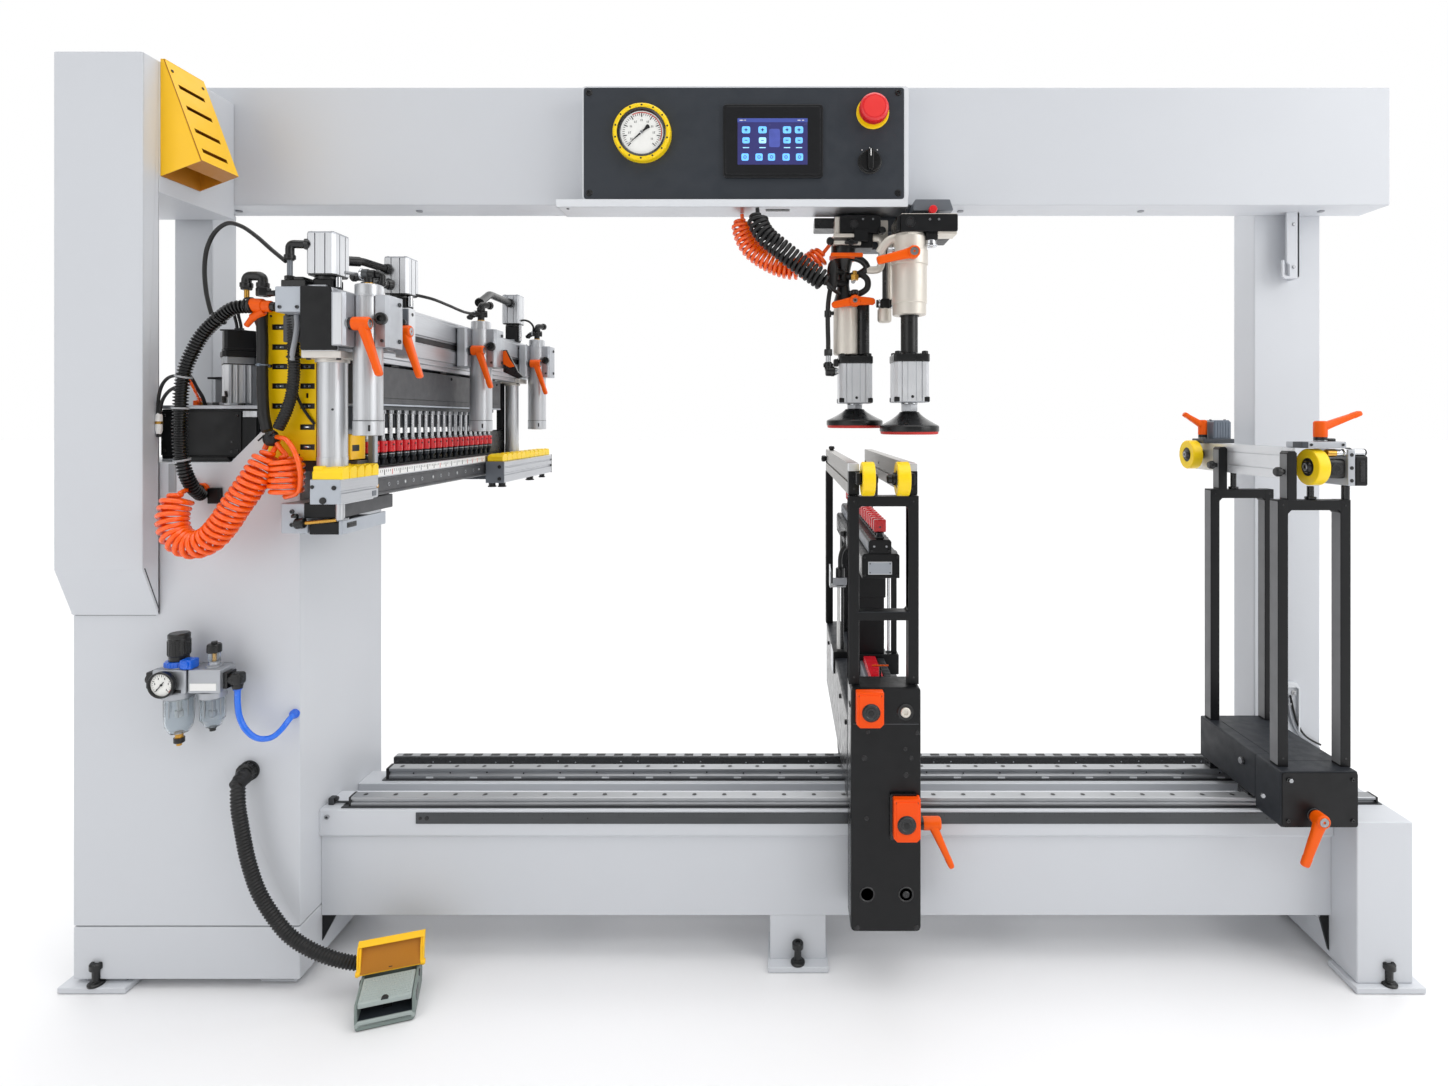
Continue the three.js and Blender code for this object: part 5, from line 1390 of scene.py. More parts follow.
for tag, x, y, r, z0, lower in (("near", -815, -60, 24.6, 985.5, True), ("far", -815, 877, 19.6, 980.2, False)):
    b = B("guide_column_" + tag, slot="steel")
    b.cyl((x, y, z0), (0, 0, 1), r, 1194 - z0, "alu", 1.2, 40)
    b.cyl((x, y, z0), (0, 0, 1), r + 0.7, 31, "alu", 0.8, 40)
    b.box(x - 37, x + 34, y - 34, y + 34, 1193.5, 1207, "cream", 2, 2)
    b.cyl((x, y, 1187), (0, 0, 1), r + 3.5, 7, "cream", 1, 36)
    for dx in (-28, 26):
        b.socket((x + dx, y - 26, 1193.5), (0, 0, -1), 4, 3)
    if lower:
        b.cyl((x + 12, y - r * 0.86, 1102), (0.45, -0.9, 0), 2.2, 1.0, "steel_dark", 0.3, 12)
    else:
        b.box(-851, -834, 846, 870, 985, 1194, "black", 1.5)
    b.done()

for i, (cx, cy, z0, z1) in enumerate(((-823, -60, 1343, 1421), (-808, 180, 1347, 1427), (-811, 877, 1372, 1460))):
    b = B("air_cylinder_%d" % (i + 1), slot="aluminium")
    out = slotted(cx, cy, 26, 5, at=(-9, 9), gw=2.0, gd=3.6)
    b.prism("z", out, z0 + 2.6, z1 - 3, "alu", b=0.5)
    b.prism("z", slotted(cx, cy, 25.4, 5, at=(), gw=0), z1 - 3.2, z1, "alu_cast", b=0.8, rc=1.5)
    b.prism("z", slotted(cx, cy, 25.2, 6, at=(), gw=0), z0, z0 + 2.8, "plastic", b=0.6, rc=1.5)
    for sx in (-1, 1):
        for sy in (-1, 1):
            b.socket((cx + sx * 18, cy + sy * 18, z1 - 0.4), (0, 0, 1), 4, 1.6, "steel_dark")
    b.cyl((cx, cy, z1 - 0.3), (0, 0, 1), 11, 1.0, "steel", 0.4, 28)
    base = 1319.8
    b.cyl((cx, cy, z0 - 7), (0, 0, 1), 22, 8, "plastic", 2, 28)
    b.box(cx - 18, cx + 18, cy - 18, cy + 18, base, z0 - 5, "black", 2.5, 2)
    b.box(cx - 26, cx + 10, cy - 24, cy + 24, base, base + 6, "alu_cast", 1.2)
    b.cyl((cx + 23, cy - 8, base + 3), (0, 0, 1), 5.4, z0 - base - 4, "chrome", 1, 18)
    b.done()

YS = (-57, 468, 912)
for i, y in enumerate(YS):
    b = B("clamp_block_%d" % (i + 1), slot="aluminium")
    arc = [(-750 + 27.3 * math.cos(t), y + 27.3 * math.sin(t)) for t in np.linspace(math.radians(-120.8), math.radians(-41.2) - 2 * math.pi, 26)]
    out = [(-790, y - 50), (-786, y - 56), (-770, y - 56), (-764, y - 50), (-764, y - 25)] + arc + [(-712, y - 18), (-706, y - 13), (-706, y + 34), (-710, y + 36), (-790, y + 36)]
    b.prism("z", out, 1214, 1309, "alu_cast", b=1.3)
    b.box(-784, -768, y - 56.8, y - 55, 1216, 1307, "alu", 0.8)
    # clamp screw with its black head
    b.lathe((-717, y - 18, 1265), (0.12, -1, 0), [(0, 0), (9.5, 0), (10.6, 1), (11.2, 3), (11.2, 9), (10.2, 11.4), (8.4, 12.2), (5.4, 12.2), (4.6, 11), (4.4, 6), (0, 6)], "plastic", 28)
    b.cyl((-717, y - 19, 1226), (0, -1, 0), 3, 1.6, "steel_dark", 0.4, 12)
    for z in (1228, 1296):
        b.socket((-706, y + 22, z), (1, 0, 0), 4.2, 2.6, "steel_dark")
    b.done()
    b = B("presser_barrel_tube_%d" % (i + 1), "presser_%d" % (i + 1), slot="aluminium")
    g = 1.8 if i == 0 else 0
    b.cyl((-750 - g, y, 1082), (0, 0, 1), 26.6 - g, 226, "alu", 1.0, 44)
    b.cyl((-750 - g, y, 1055), (0, 0, 1), 27.2 - g, 27.4, "alu", 1.4, 44)
    b.ring((-750, y, 1081.2), (0, 0, 1), 25.8, 27.3, 1.0, "steel_dark", 0.2, 44)
    b.lathe((-750, y, 1307), (0, 0, 1), [(0, 0), (26.6, 0), (26.6, 2), (23.8, 3), (23.8, 20), (22.6, 22), (20, 22.6), (0, 22.6)], "alu", 44)
    b.box(-739, -735.4, y - 25.6, y - 23, 1063, 1074, "ink", 0.8)
    b.cyl((-750, y, 1054.4), (0, 0, 1), 15, 1.6, "rubber", 0.5, 30)
    b.lathe((-750, y, 1329), (0, 0, 1), [(0, 0), (8.4, 0), (9, 0.6), (9, 3.8), (8.2, 4.4), (0, 4.4)], "brass", 24)
    b.cyl((-750, y, 1332), (0, 0, 1), 8.2, 10, "plastic", 1, 22)
    b.lathe((-750, y, 1341), (0, 0, 1), [(0, 0), (9.6, 0), (10.2, 1), (10.2, 10), (9, 12), (6, 13), (0, 13)], "plastic", 22)
    if i == 0:
        b.cyl((-762, y - 2, 1349), (1, 0, 0), 9.4, 13, "steel_dark", 1.5, 22)
        b.ring((-764, y - 2, 1349), (1, 0, 0), 5, 10.4, 4, "chrome", 0.8, 22)
        b.cyl((-750, y - 2, 1349), (1, 0, 0), 8, 12, "plastic", 2, 20)
        elbow(b, (-740, y + 3, 1350), (-729, y + 7, 1350), (-731, y + 7, 1330), 6.5)
    else:
        elbow(b, (-750, y, 1356), (-750, y, 1372), (-736, y + 30, 1374), 8.0)
        b.pin((-764, y - 4, 1349), (-736, y + 6, 1349), 8.4, "plastic", 1.5, 20)
        b.ring((-766, y - 5, 1349), (1, 0.3, 0), 4.5, 8.6, 4, "steel", 0.6, 20)
        elbow(b, (-776, y - 6, 1336), (-774, y - 8, 1345), (-764, y - 4, 1347), 6.2)
    b.done("presser_barrel_%d" % (i + 1))
    handle("presser_clamp_lever_%d" % (i + 1), "presser_lever_%d" % (i + 1), (-763.6, y - 42, 1254), (1, 0, 0), (-710, y - 40, 1161), 12, 38, "clamp_lever_%d" % (i + 1))
handle("side_clamp_lever", "presser_lever_4", (-741.6, 8, 1252), (1, 0, 0), (-688, 10, 1163), 12, 38, "clamp_lever_4")

b = B("side_clamp_block", slot="aluminium")
b.box(-790, -742, -6, 50, 1214, 1290, "alu_cast", 2.5, 2)
b.box(-743, -716, 24, 50, 1204, 1300, "alu", 2, 2)
b.box(-742, -718, 22.6, 25, 1246, 1298, "grey_face", 1.2)
b.box(-742, -718, 22.9, 25, 1208, 1244, "block_grey", 1.0)
b.pin((-726, 23, 1268), (-718, 2, 1270), 6, "plastic", 2, 18)
b.pin((-734, 23, 1272), (-738, 6, 1276), 5, "plastic", 2, 18)
b.cyl((-716.2, 37, 1288), (1, 0, 0), 3.4, 1.0, "ink", 0.3, 14)
b.done()

b = B("locking_catch", slot="black")
x0, _, z0 = Q(508, 349, 505)
b.prism("y", [(-706, 1262), (-697, 1262), (-668, 1205), (-655, 1193), (-668, 1188), (-706, 1206)], 500, 508, "plastic", b=1.2, rc=2)
b.prism("y", [(-706, 1258), (-699, 1260), (-688, 1236), (-676, 1219), (-690, 1217), (-706, 1226)], 497, 500.6, "orange", b=1.0, rc=2)
b.pin((-706, 504, 1240), (-706, 520, 1240), 5, "steel_dark", 1, 16)
b.done()

# ------------------------------------------------------------------ rests, fence bar and the bracket under them
b = B("near_rest_block", slot="aluminium")
b.prism("y", [(-832, 934), (-781, 934), (-779, 936), (-779, 951), (-782, 952.5), (-782, 955.5), (-779, 957), (-779, 977), (-832, 977)], -97, 30, "alu_y", b=0.8)
b.box(-832.5, -778.5, -100, -96, 933.5, 977.5, "block_grey", 1.2, 2)
for px, py, r in ((312, 487, 3.4), (334, 488, 4.2)):
    x, _, z = Q(px, py, -100)
    b.cyl((max(x, -828), -99.6, z), (0, -1, 0), r, 2.2, "plastic", 0.7, 18)
    b.cyl((max(x, -828), -101.6, z), (0, -1, 0), r * 0.45, 0.5, "ink", 0.1, 6)
b.cyl((-809, -99.6, 940), (0, -1, 0), 6.2, 2.4, "plastic", 1, 22)
b.box(-779.6, -778.2, 8, 22, 938, 948, "grey_face", 0.5)
for i in range(5):
    y0 = -99 + i * 25.5
    b.prism("x", [(y0, 977), (y0 + 24, 977), (y0 + 24, 995), (y0 + 19, 1000), (y0 + 5, 997), (y0, 990)], -829, -776, "lemon", b=1.6, rc=2)
    b.cyl((-786, y0 + 13, 996), (0, 0, 1), 4.2, 4.0, "lemon", 1.2, 16)
    b.box(-829, -812, y0 + 2, y0 + 22, 993, 1001, "lemon", 2.5, 2)
b.box(-905, -800, -5, 32, 985.5, 1006, "cover_grey", 1.5)
# carrier blocks, the post between them, the screw and its knob
b.box(-868, -806, -60, 128, 904, 932, "black", 2, 2)
b.box(-806.5, -800, -58, 128, 904, 931, "cover_grey", 1.5)
b.box(-826, -788, -70, 30, 930.5, 934.5, "alu", 1)
b.pin((-800, -62, 902), (-800, -62, 934), 7.5, "alu", 1.2, 24)
b.box(-858, -804, -60, 60, 874, 897, "black", 2, 2)
b.box(-804.5, -798, -60, 96, 873.6, 899, "block_grey", 1.5)
b.box(-799, -797.2, -44, -12, 884, 894, "plastic", 1.2)
b.box(-797.5, -796.6, -40, -16, 887, 891, "ink", 0.4)
b.pin((-862, -66, 896), (-806, -62, 901), 3.4, "brass", 0.6, 16)
b.pin((-806, -62, 901), (-786, -60, 903), 2.6, "steel", 0.6, 14)
b.lathe((-880, -66, 895), (1, 0.06, 0.06), [(0, 0), (7, 0), (9.5, 2), (10.5, 6), (9.4, 10), (10.2, 13), (9, 17), (5, 19), (0, 19)], "plastic", 24)
b.lathe((-880, -66, 909), (0.1, 0, 1), [(0, -4), (6, -3), (6.5, 1), (4, 4), (0, 4.6)], "plastic", 18)
b.box(-911.5, -862, -58, 30, 876, 931, "block_grey", 2.5, 2)
b.box(-912, -905, 40, 140, 880, 1000, "alu_cast", 1.5)
for z in (892, 916):
    b.socket((-890, -58, z), (0, -1, 0), 4, 2.6, "steel_dark")
b.done("near_rest")

b = B("amber_sensor_box", slot="yellow")
b.box(-842, -806, -16, 34, 1008, 1056, "yellow", 1.5, 2)
b.box(-806.6, -805.5, -12, 12, 1024, 1036, "ink", 0.4)
b.box(-841, -807, -17.4, -14, 1010, 1054, "yellow", 1.0)
b.box(-832, -817, -18.2, -16, 1027, 1040, "ink", 2.5, 2)
b.box(-829, -820, -18.8, -17.6, 1029, 1036, "steel_dark", 1)
b.box(-904, -842, 8, 34, 1012, 1020, "cover_grey", 1)
b.box(-798.2, -788, 34, 46, 1000, 1108, "alu_cast", 1)
b.box(-800, -790, 32, 34.5, 994, 1060, "grey_face", 1)
b.done()

b = B("fence_scale_bar", slot="aluminium")
b.box(-803, -786.4, 30.3, 850, 970, 988, "alu_y", 0.8)
b.prism("y", [(-803, 935.3), (-790, 935.3), (-787, 938), (-787, 941), (-790, 942), (-790, 965), (-787, 966), (-786, 969.5), (-803, 969.5)], 31, 849, "cover_grey", b=0.6)
b.box(-786.6, -785.9, 31, 588, 972.5, 987, "white", 0.2)
rng = np.random.default_rng(5)
for k in range(70):
    y = 36 + 7.8 * k
    major = k % 4 == 0
    mat = ("dial_red", "ink", "slate_blue", "ink")[int(rng.integers(0, 4))] if major else "ink"
    b.box(-785.95, -785.6, y - (1.1 if major else 0.4), y + (1.1 if major else 0.4), 974 if major else 979.5, 984.5, mat, 0.05)
for k, y in enumerate((48, 92, 128, 160, 196, 236, 290, 330, 372, 420, 470, 520, 556)):
    b.ring((-790.4, y, 954), (1, 0, 0), 2.2, 4.2, 1.2, "brass" if k == 0 else "steel", 0.3, 16)
    b.cyl((-790.6, y, 954), (1, 0, 0), 2.3, 0.8, "ink" if k % 3 else "white", 0.1, 12)
b.box(-808, -802.4, 46, 850, 958, 984, "steel_dark", 0.8)
b.done("fence_bar")

# dark guard sheet behind the spindle row, folded at its top edge
b = B("spindle_back_guard", slot="black")
b.box(-837.5, -833, 33, 850, 958, 1054, "plastic", 0.8)
b.box(-844, -833, 33, 850, 1050, 1054.4, "plastic", 0.8)
b.box(-837, -803, 846, 850.2, 958, 984, "black", 0.8)
for y in (70, 250, 430, 610, 790):
    b.socket((-833, y, 970), (1, 0, 0), 3.2, 2.0, "steel_dark")
b.done()

b = B("far_rest_block", slot="aluminium")
b.prism("y", [(-785.6, 915), (-740, 915), (-737, 918), (-737, 934), (-741, 936), (-741, 940), (-737, 942), (-737, 953), (-740, 955), (-740, 957), (-737, 959), (-737, 970), (-740, 972), (-785.6, 972)], 594, 1019, "alu_y", b=0.8)
b.box(-785.6, -736.4, 590, 594.4, 915, 972, "grey_face", 1)
for z in (926, 958):
    b.cyl((-748, 590.4, z), (0, -1, 0), 5, 3, "plastic", 1, 18)
b.box(-785.6, -736.4, 1019, 1020, 915, 972, "plastic", 0.4)
for i in range(11):
    y0 = 596 + i * 38
    b.prism("x", [(y0, 972), (y0 + 37, 972), (y0 + 37, 986), (y0 + 30, 992), (y0 + 8, 990), (y0, 984)], -783, -742, "lemon", b=1.6, rc=2)
    b.cyl((-750, y0 + 20, 988), (0, 0, 1), 4.5, 4.5, "lemon", 1.2, 16)
for x, y, r in ((-776, 612, 9), (-750, 614, 9), (-752, 850, 10), (-750, 960, 8)):
    b.cyl((x, y, 906), (0, 0, 1), r, 9.4, "plastic", 1.2, 22)
    b.cyl((x, y, 903), (0, 0, 1), r * 1.25, 3.4, "rubber", 0.8, 22)
b.done()

# ------------------------------------------------------------------ left head: fittings, looms and thin tubes
b = B("air_fittings_left", slot="black")
elbow(b, Q(246.5, 288, -56), Q(246.5, 276, -56), Q(254, 276, -56), 8.6, ends=(True, False))
elbow(b, Q(254, 276, -56), Q(263, 276, -56), Q(263, 288, -56), 8.6, ends=(False, True))
b.hexnut(Q(246.5, 290, -56), (0, 0, 1), 16, 11, "plastic")
b.pin(Q(246.8, 298, -56), Q(246.8, 289, -56), 4.4, "brass", 0.6, 16)
b.hexnut(Q(263.5, 296.5, -56), (0, 0, 1), 21, 16, "plastic")
b.pin(Q(264, 294, -56), Q(276, 293, -60), 5.5, "plastic", 1, 16)
# branch fitting
b.pin(Q(251, 305, -57), Q(264, 305.6, -57), 12.5, "orange", 2, 26)
b.pin(Q(262, 305.8, -57), Q(272, 306.5, -57), 10.5, "orange", 2, 24)
b.pin(Q(271, 306.5, -57), Q(276, 306.8, -57), 8.5, "plastic", 1, 22)
b.pin(Q(264, 311, -56), Q(252, 318, -55), 7.6, "orange", 1.5, 22)
b.pin(Q(253.5, 317, -55), Q(246, 326, -54), 6.0, "orange", 1.5, 20, r2=4.8)
b.pin(Q(256, 317, -52), Q(260, 327, -50), 5.4, "rubber", 1, 18)
b.ring(Q(250, 305, -57), (1, 0, 0), 11, 14.6, 5, "plastic", 0.8, 28)
b.ring(Q(247, 305, -57), (1, -0.05, 0), 12, 14.2, 4, "rubber", 0.8, 28)
# between the first cylinder and the first barrel
b.pin(Q(345, 272.5, -80), Q(357, 274, -60), 3.0, "steel", 0.5, 16)
elbow(b, (-880, 64, 1400), (-846, 96, 1404), (-822, 153, 1398), 8.2)
b.pin((-868, 76, 1401), (-848, 94, 1403), 9.8, "plastic", 2, 20)
b.hexnut((-825, 147, 1399), (0.35, 0.9, 0), 21, 7, "plastic")
elbow(b, (-852, 70, 1368), (-836, 100, 1372), (-818, 153, 1370), 7.4)
elbow(b, (-788, -10, 1334), (-768, 10, 1344), (-752, 30, 1344), 8)
elbow(b, (-810, 610, 1398), (-816, 700, 1436), (-811, 850, 1434), 10.5)
b.hexnut((-811, 840, 1434), (0, 1, 0), 24, 12, "plastic")
# plate with the sockets on the cabinet
b.box(-1161, -1147, -1.6, 0.2, 946, 1000, "tie", 0.8)
# inset on the plate in the darker paint copy: painted shade
b.box(-1158, -1150, -2.0, -0.6, 952, 994, "paint_painted_shade", 0.8)
b.cyl((-1093, -1, 953), (0, -1, 0), 11, 10, "orange", 1.5, 24)
b.cyl((-1093, -10, 953), (0, -1, 0), 8, 6, "plastic", 1, 20)
b.cyl((-1112, -1, 962), (0, -1, 0), 8, 8, "red_cap", 1.2, 20)
b.box(-1080, -1058, -12, 0.2, 925, 955, "black", 2, 2)
# connector at the pillar
b.lathe(Q(159, 432, -9), (0, 0, 1), [(0, -3), (4, -3), (5, 0), (5.6, 3), (5.6, 31), (4.4, 34), (3, 36), (0, 36)], "white", 20)
b.cyl(Q(159, 437, -9), (0, 0, 1), 4.2, 6, "ink", 1, 16)
b.ring(Q(159, 424, -9), (0, 0, 1), 5.0, 6.2, 5, "brass", 0.5, 20)
b.pin(Q(159, 422, -9), (-1178, -9, Q(159, 422, -9)[2]), 3.5, "steel", 0.5, 14)
b.done()

main = smooth(CONDUIT, 120)
b = B("cable_ties", slot="black")
for py in (318, 377, 408, 459):
    z = Q(0, py, -62)[2]
    k = int(np.argmin(np.abs(main[:, 2] - z)))
    k = min(max(k, 1), len(main) - 2)
    tie(b, main[k], main[k + 1] - main[k - 1], 12.6, "rubber" if py == 318 else "tie")
tie(b, Q(262.5, 365, -50), (0, 0, 1), 9.6, "slate_blue", 2.6)
b.box(*[q for a, w in zip(Q(269.5, 366, -48), (4, 3, 3)) for q in (a - w, a + w)], "plastic", 1.2)
tie(b, Q(294, 357, -54), (0, 0, 1), 11.5, "plastic", 3)
b.done()

hose("loom_left", [Q(262.5, 311, -48), Q(262, 322, -49), Q(262.6, 345, -50), Q(262.4, 370, -50), Q(262.8, 395, -50), Q(264, 415, -52), Q(267.5, 431, -58)], 9.4, "rubber", "hose_black", n=60, seg=16)
hose("loom_right", [Q(291, 309, -50), Q(292.5, 325, -51), Q(293.5, 350, -53), Q(294, 372, -54), Q(292, 392, -55), Q(286.5, 411, -57), Q(278, 429, -60)], 10.4, "rubber", "hose_black", pitch=5.0, seg=16, rib=0.12)
hose("grey_sheath", [Q(296.5, 315, -62), Q(297, 325, -63.5), Q(295, 340, -64.5), Q(292.6, 352, -65), Q(292, 360, -63)], 4.4, "grey_cable", "hose_black", n=30)
hose("thin_tube_arch", [Q(211.5, 314, -50), Q(208.5, 303, -50), Q(206, 290, -52), Q(204.6, 268, -56), Q(207.5, 247, -60), Q(216, 231, -64), Q(228, 223.2, -68), Q(241, 226, -72), Q(256, 236, -76), Q(272, 250, -80), Q(286, 261.5, -84)], 3.7, "rubber", "hose_black", n=90)
hose("thin_tube_left_1", [Q(186, 377, -50), Q(176, 375.6, -44), Q(168, 378, -34), Q(161.6, 386, -20), Q(158.6, 398, -12), Q(158, 413.6, -9.5)], 2.9, "rubber", "hose_black", n=50)
hose("thin_tube_left_2", [Q(184, 386, -50), Q(175, 387.5, -44), Q(168, 392, -34), Q(162.6, 400, -20), Q(160.4, 408, -12), Q(159.8, 414, -9)], 2.9, "rubber", "hose_black", n=50)
hose("thin_tube_motor", [Q(187, 372, -50), Q(192, 379, -40), Q(197, 388, -10), Q(202, 396, 24), Q(204, 401, 40), Q(205, 405.5, 52)], 3.2, "rubber", "hose_black", n=40)
hose("thin_tube_orange", [Q(188.5, 379, -52), Q(192, 385, -40), Q(195.5, 392, -14), Q(198.5, 398.5, 24), Q(200, 403, 50)], 2.4, "coil", "coil_orange", n=40)
hose("thin_tube_cover", [Q(296, 390, -46), Q(298, 398, -42), Q(303, 408, -40), Q(309, 417, -38), Q(314.5, 424, -36)], 2.6, "rubber", "hose_black", n=30)
hose("thin_tube_beam_1", [(-786, 190, 1352), (-776, 206, 1351), (-764, 232, 1349), (-757, 290, 1345), (-757, 380, 1342), (-760, 440, 1346), (-765, 464, 1349)], 3.3, "rubber", "hose_black", n=60, cross=("machine", "presser_2", (-757, 300, 1342), (-764, 450, 1349)))
hose("thin_tube_beam_2", [(-787, 870, 1384), (-776, 874, 1386), (-764, 884, 1382), (-757, 897, 1370), (-760, 908, 1357)], 3.0, "rubber", "hose_black", n=24, cross=("machine", "presser_3", (-787, 870, 1384), (-759, 906, 1357)))

# tape knot where the looms end
b = B("tape_knot", slot="black")
kc = np.array(Q(271, 438.5, -62))
b.lathe(kc - (0, 0, 14), (0.1, 0, 1), [(0, 0), (7, 1), (11, 5), (12.6, 11), (12.2, 18), (9.6, 24), (6, 27.6), (0, 28.4)], "rubber", 20)
for d, r, w, o in (((0.9, 0.1, 0.5), 12.6, 5, 0), ((-0.8, 0.2, 0.6), 12.4, 4.6, 0), ((0.1, 0.3, 1), 12.8, 4.4, 2), ((0.5, -0.7, 0.5), 11.8, 5, -2)):
    b.ring(kc + unit(d) * (o - w / 2), d, r - 3.5, r + 1.2, w, "plastic" if o else "rubber", 1.2, 22)
b.pin(kc + (6, -9, 7), kc + (16, -16, 15), 1.6, "plastic", 0.4, 10)
b.pin(kc + (-8, -8, 5), kc + (-15, -13, -4), 1.6, "plastic", 0.4, 10)
b.pin(kc + (-9, 4, -8), kc + (-13, 2, -20), 4.6, "coil", 1, 14)
b.done()
coil("head_coil_short", [Q(285, 497, -64), Q(286, 484, -64), Q(286.5, 470, -64), Q(286, 455, -64)], 26.0, 4.5, 7.2, "coil", "coil_orange",
     lead=[Q(277, 437, -66), Q(287, 440, -84), Q(296, 455, -90), Q(300.5, 475, -84), Q(298, 492, -74)], tail=[Q(281, 449, -66), Q(277, 443, -64)])

# ------------------------------------------------------------------ centre carriage: saddle
SX0, SX1 = 133, 264
b = B("saddle_casting", "centre_carriage", slot="slate")
b.prism("y", [(SX0, 335), (SX1, 335), (SX1, 508), (SX0, 508)], -18, 740, "slate_dark", b=3, rc=4)
b.prism("y", [(SX0, 124), (SX1, 124), (SX1, 582), (SX0, 582)], -20, 45, "black", b=3, rc=9, n=4)
b.prism("y", [(SX0 + 2, 124.5), (SX1 - 2, 124.5), (SX1 - 2, 340), (SX0 + 2, 340)], 44, 59, "slate_dark", b=1, rc=4)
b.prism("y", [(SX0 + 1.5, 516), (SX1 - 1.5, 516), (SX1 - 1.5, 580.5), (SX0 + 1.5, 580.5)], -21.4, -18, "black", b=1, rc=4)
b.box(SX0 + 4, SX1 - 4, -20.6, -19.6, 512.6, 514.2, "seam", 0.2)
b.box(SX0 - 0.4, SX0 + 1, -16, 44, 130, 574, "black_steel", 0.6)
b.box(SX0 - 0.6, SX0 + 1, 60, 730, 345, 500, "black_steel", 0.8)
b.box(SX0, SX1, 82, 118, 322, 336, "black_steel", 1)
b.box(SX0, SX1, 292, 328, 322, 336, "black_steel", 1)
for y in (75, 220, 420, 620):
    b.socket((SX0 - 0.4, y, 480), (-1, 0, 0), 5, 4)
    b.socket((SX1, y, 480), (1, 0, 0), 5, 4)
# holes: rings round dark discs, the discs painted shade in the holes
for px, py, r in ((864.3, 758, 3), (906.2, 775, 3), (911, 758, 2.4), (917.3, 733, 2.4), (857.4, 927.8, 3.2), (916.7, 927.8, 3.2), (868, 732, 2), (905.4, 749, 2), (866.6, 818.4, 2.2)):
    x, y, z = Q(px, py, -20)
    b.ring((x, -19.6, z), (0, -1, 0), r * 1.35, r * 1.35 + 1.2, 1.0, "black_steel", 0.3, 18)
    b.cyl((x, -19.4, z), (0, -1, 0), r * 1.3, 1.2, "ink", 0.3, 14)
# large holes: rings round dark discs, the discs painted shade; one has a cap
for px in (867.2, 906):
    x, y, z = Q(px, 894.3, -20)
    b.ring((x, -19.2, z), (0, -1, 0), 11.5, 14.6, 1.8, "black_steel", 0.6, 30)
    b.cyl((x, -19.4, z), (0, -1, 0), 11.6, 0.6, "ink", 0.2, 30)
    if px > 880:
        b.lathe((x, -19.8, z), (0, -1, 0), [(0, 0), (6.6, 0), (6.6, 1.4), (5.6, 2.4), (0, 2.6)], "black_steel", 24)
x, y, z = Q(905.4, 711.8, -20)
b.ring((x, -21, z), (0, -1, 0), 9.5, 15.5, 2.4, "plastic", 0.8, 30)
b.lathe((x, -21, z), (0, -1, 0), [(0, 0), (9.4, 0), (9.4, 3.4), (8.2, 4.6), (4.6, 4.8), (4.2, 2.4), (0, 2.4)], "champagne", 26)
b.box(SX0 - 2, SX0 + 1, -8, 12, 540, 546, "ink", 0.8)
b.done("centre_saddle")


def lock_box(name, x0, x1, z0, z1, kx, kz, knob, back=None):
    b = B(name, "centre_carriage", slot="orange")
    if back:
        b.prism("y", [(x0 - 5, z0 - 2), (x1 - 5, z0 - 2), (x1 - 5, z1 + 4), (x0 - 5, z1 + 4)], -27, -19.5, "plastic", b=1.2, rc=4)
    c = 7
    b.prism("y", [(x0, z0 + c), (x0 + c, z0), (x1 - c, z0), (x1, z0 + c), (x1, z1), (x0, z1)], -40, -19.6, "orange_box", b=2.2, rc=2.5)
    b.prism("y", [(x0 + 5, z0 + c + 2), (x0 + c + 2, z0 + 5), (x1 - c - 2, z0 + 5), (x1 - 5, z0 + c + 2), (x1 - 5, z1 - 5), (x0 + 5, z1 - 5)], -41, -38, "orange_box", b=0.8, rc=2)
    for sx, sz in ((x0 + 6, z1 - 7), (x1 - 6, z1 - 7), (x0 + 9, z0 + 10), (x1 - 9, z0 + 10)):
        b.cyl((sx, -39.2, sz), (0, -1, 0), 2.0, 1.2, "ink", 0.3, 12)
    b.ring((kx, -40.4, kz), (0, -1, 0), knob - 2.4, knob + 1.5, 1.8, "plastic", 0.6, 30)
    b.lathe((kx, -41, kz), (0, -1, 0), [(0, 0), (knob, 0), (knob, 2.2), (knob - 1, 3.2), (knob * 0.66, 3.6), (knob * 0.6, 2.8), (0, 2.8)], "black_steel", 30)
    b.lathe((kx, -43.4, kz), (0, -1, 0), [(0, 0), (knob * 0.36, 0), (knob * 0.34, 1.2), (0, 1.6)], "rubber", 20)
    return b.done()


x0, _, z1 = Q(856, 690, -30)
x1, _, z0 = Q(884, 726.5, -30)
kx, _, kz = Q(871.2, 713, -41)
lock_box("lock_box_upper", max(x0, 140.5), x1 - 1, z0, min(z1, 579), kx, kz, 15.5)
x0, _, z1 = Q(893, 797, -30)
x1, _, z0 = Q(920.6, 840, -30)
kx, _, kz = Q(906.8, 825.3, -41)
lock_box("lock_box_lower", max(x0, 210), min(x1, 260.5), z0, min(z1, 383), kx, kz, 16, back=True)
handle("carriage_clamp_lever", "carriage_lever", (264.4, 10, 312), (1, 0, 0), (327, 3, 232), 12.5, 43, "centre_lever", w=(27, 19), th=(16, 10), at=0.6)

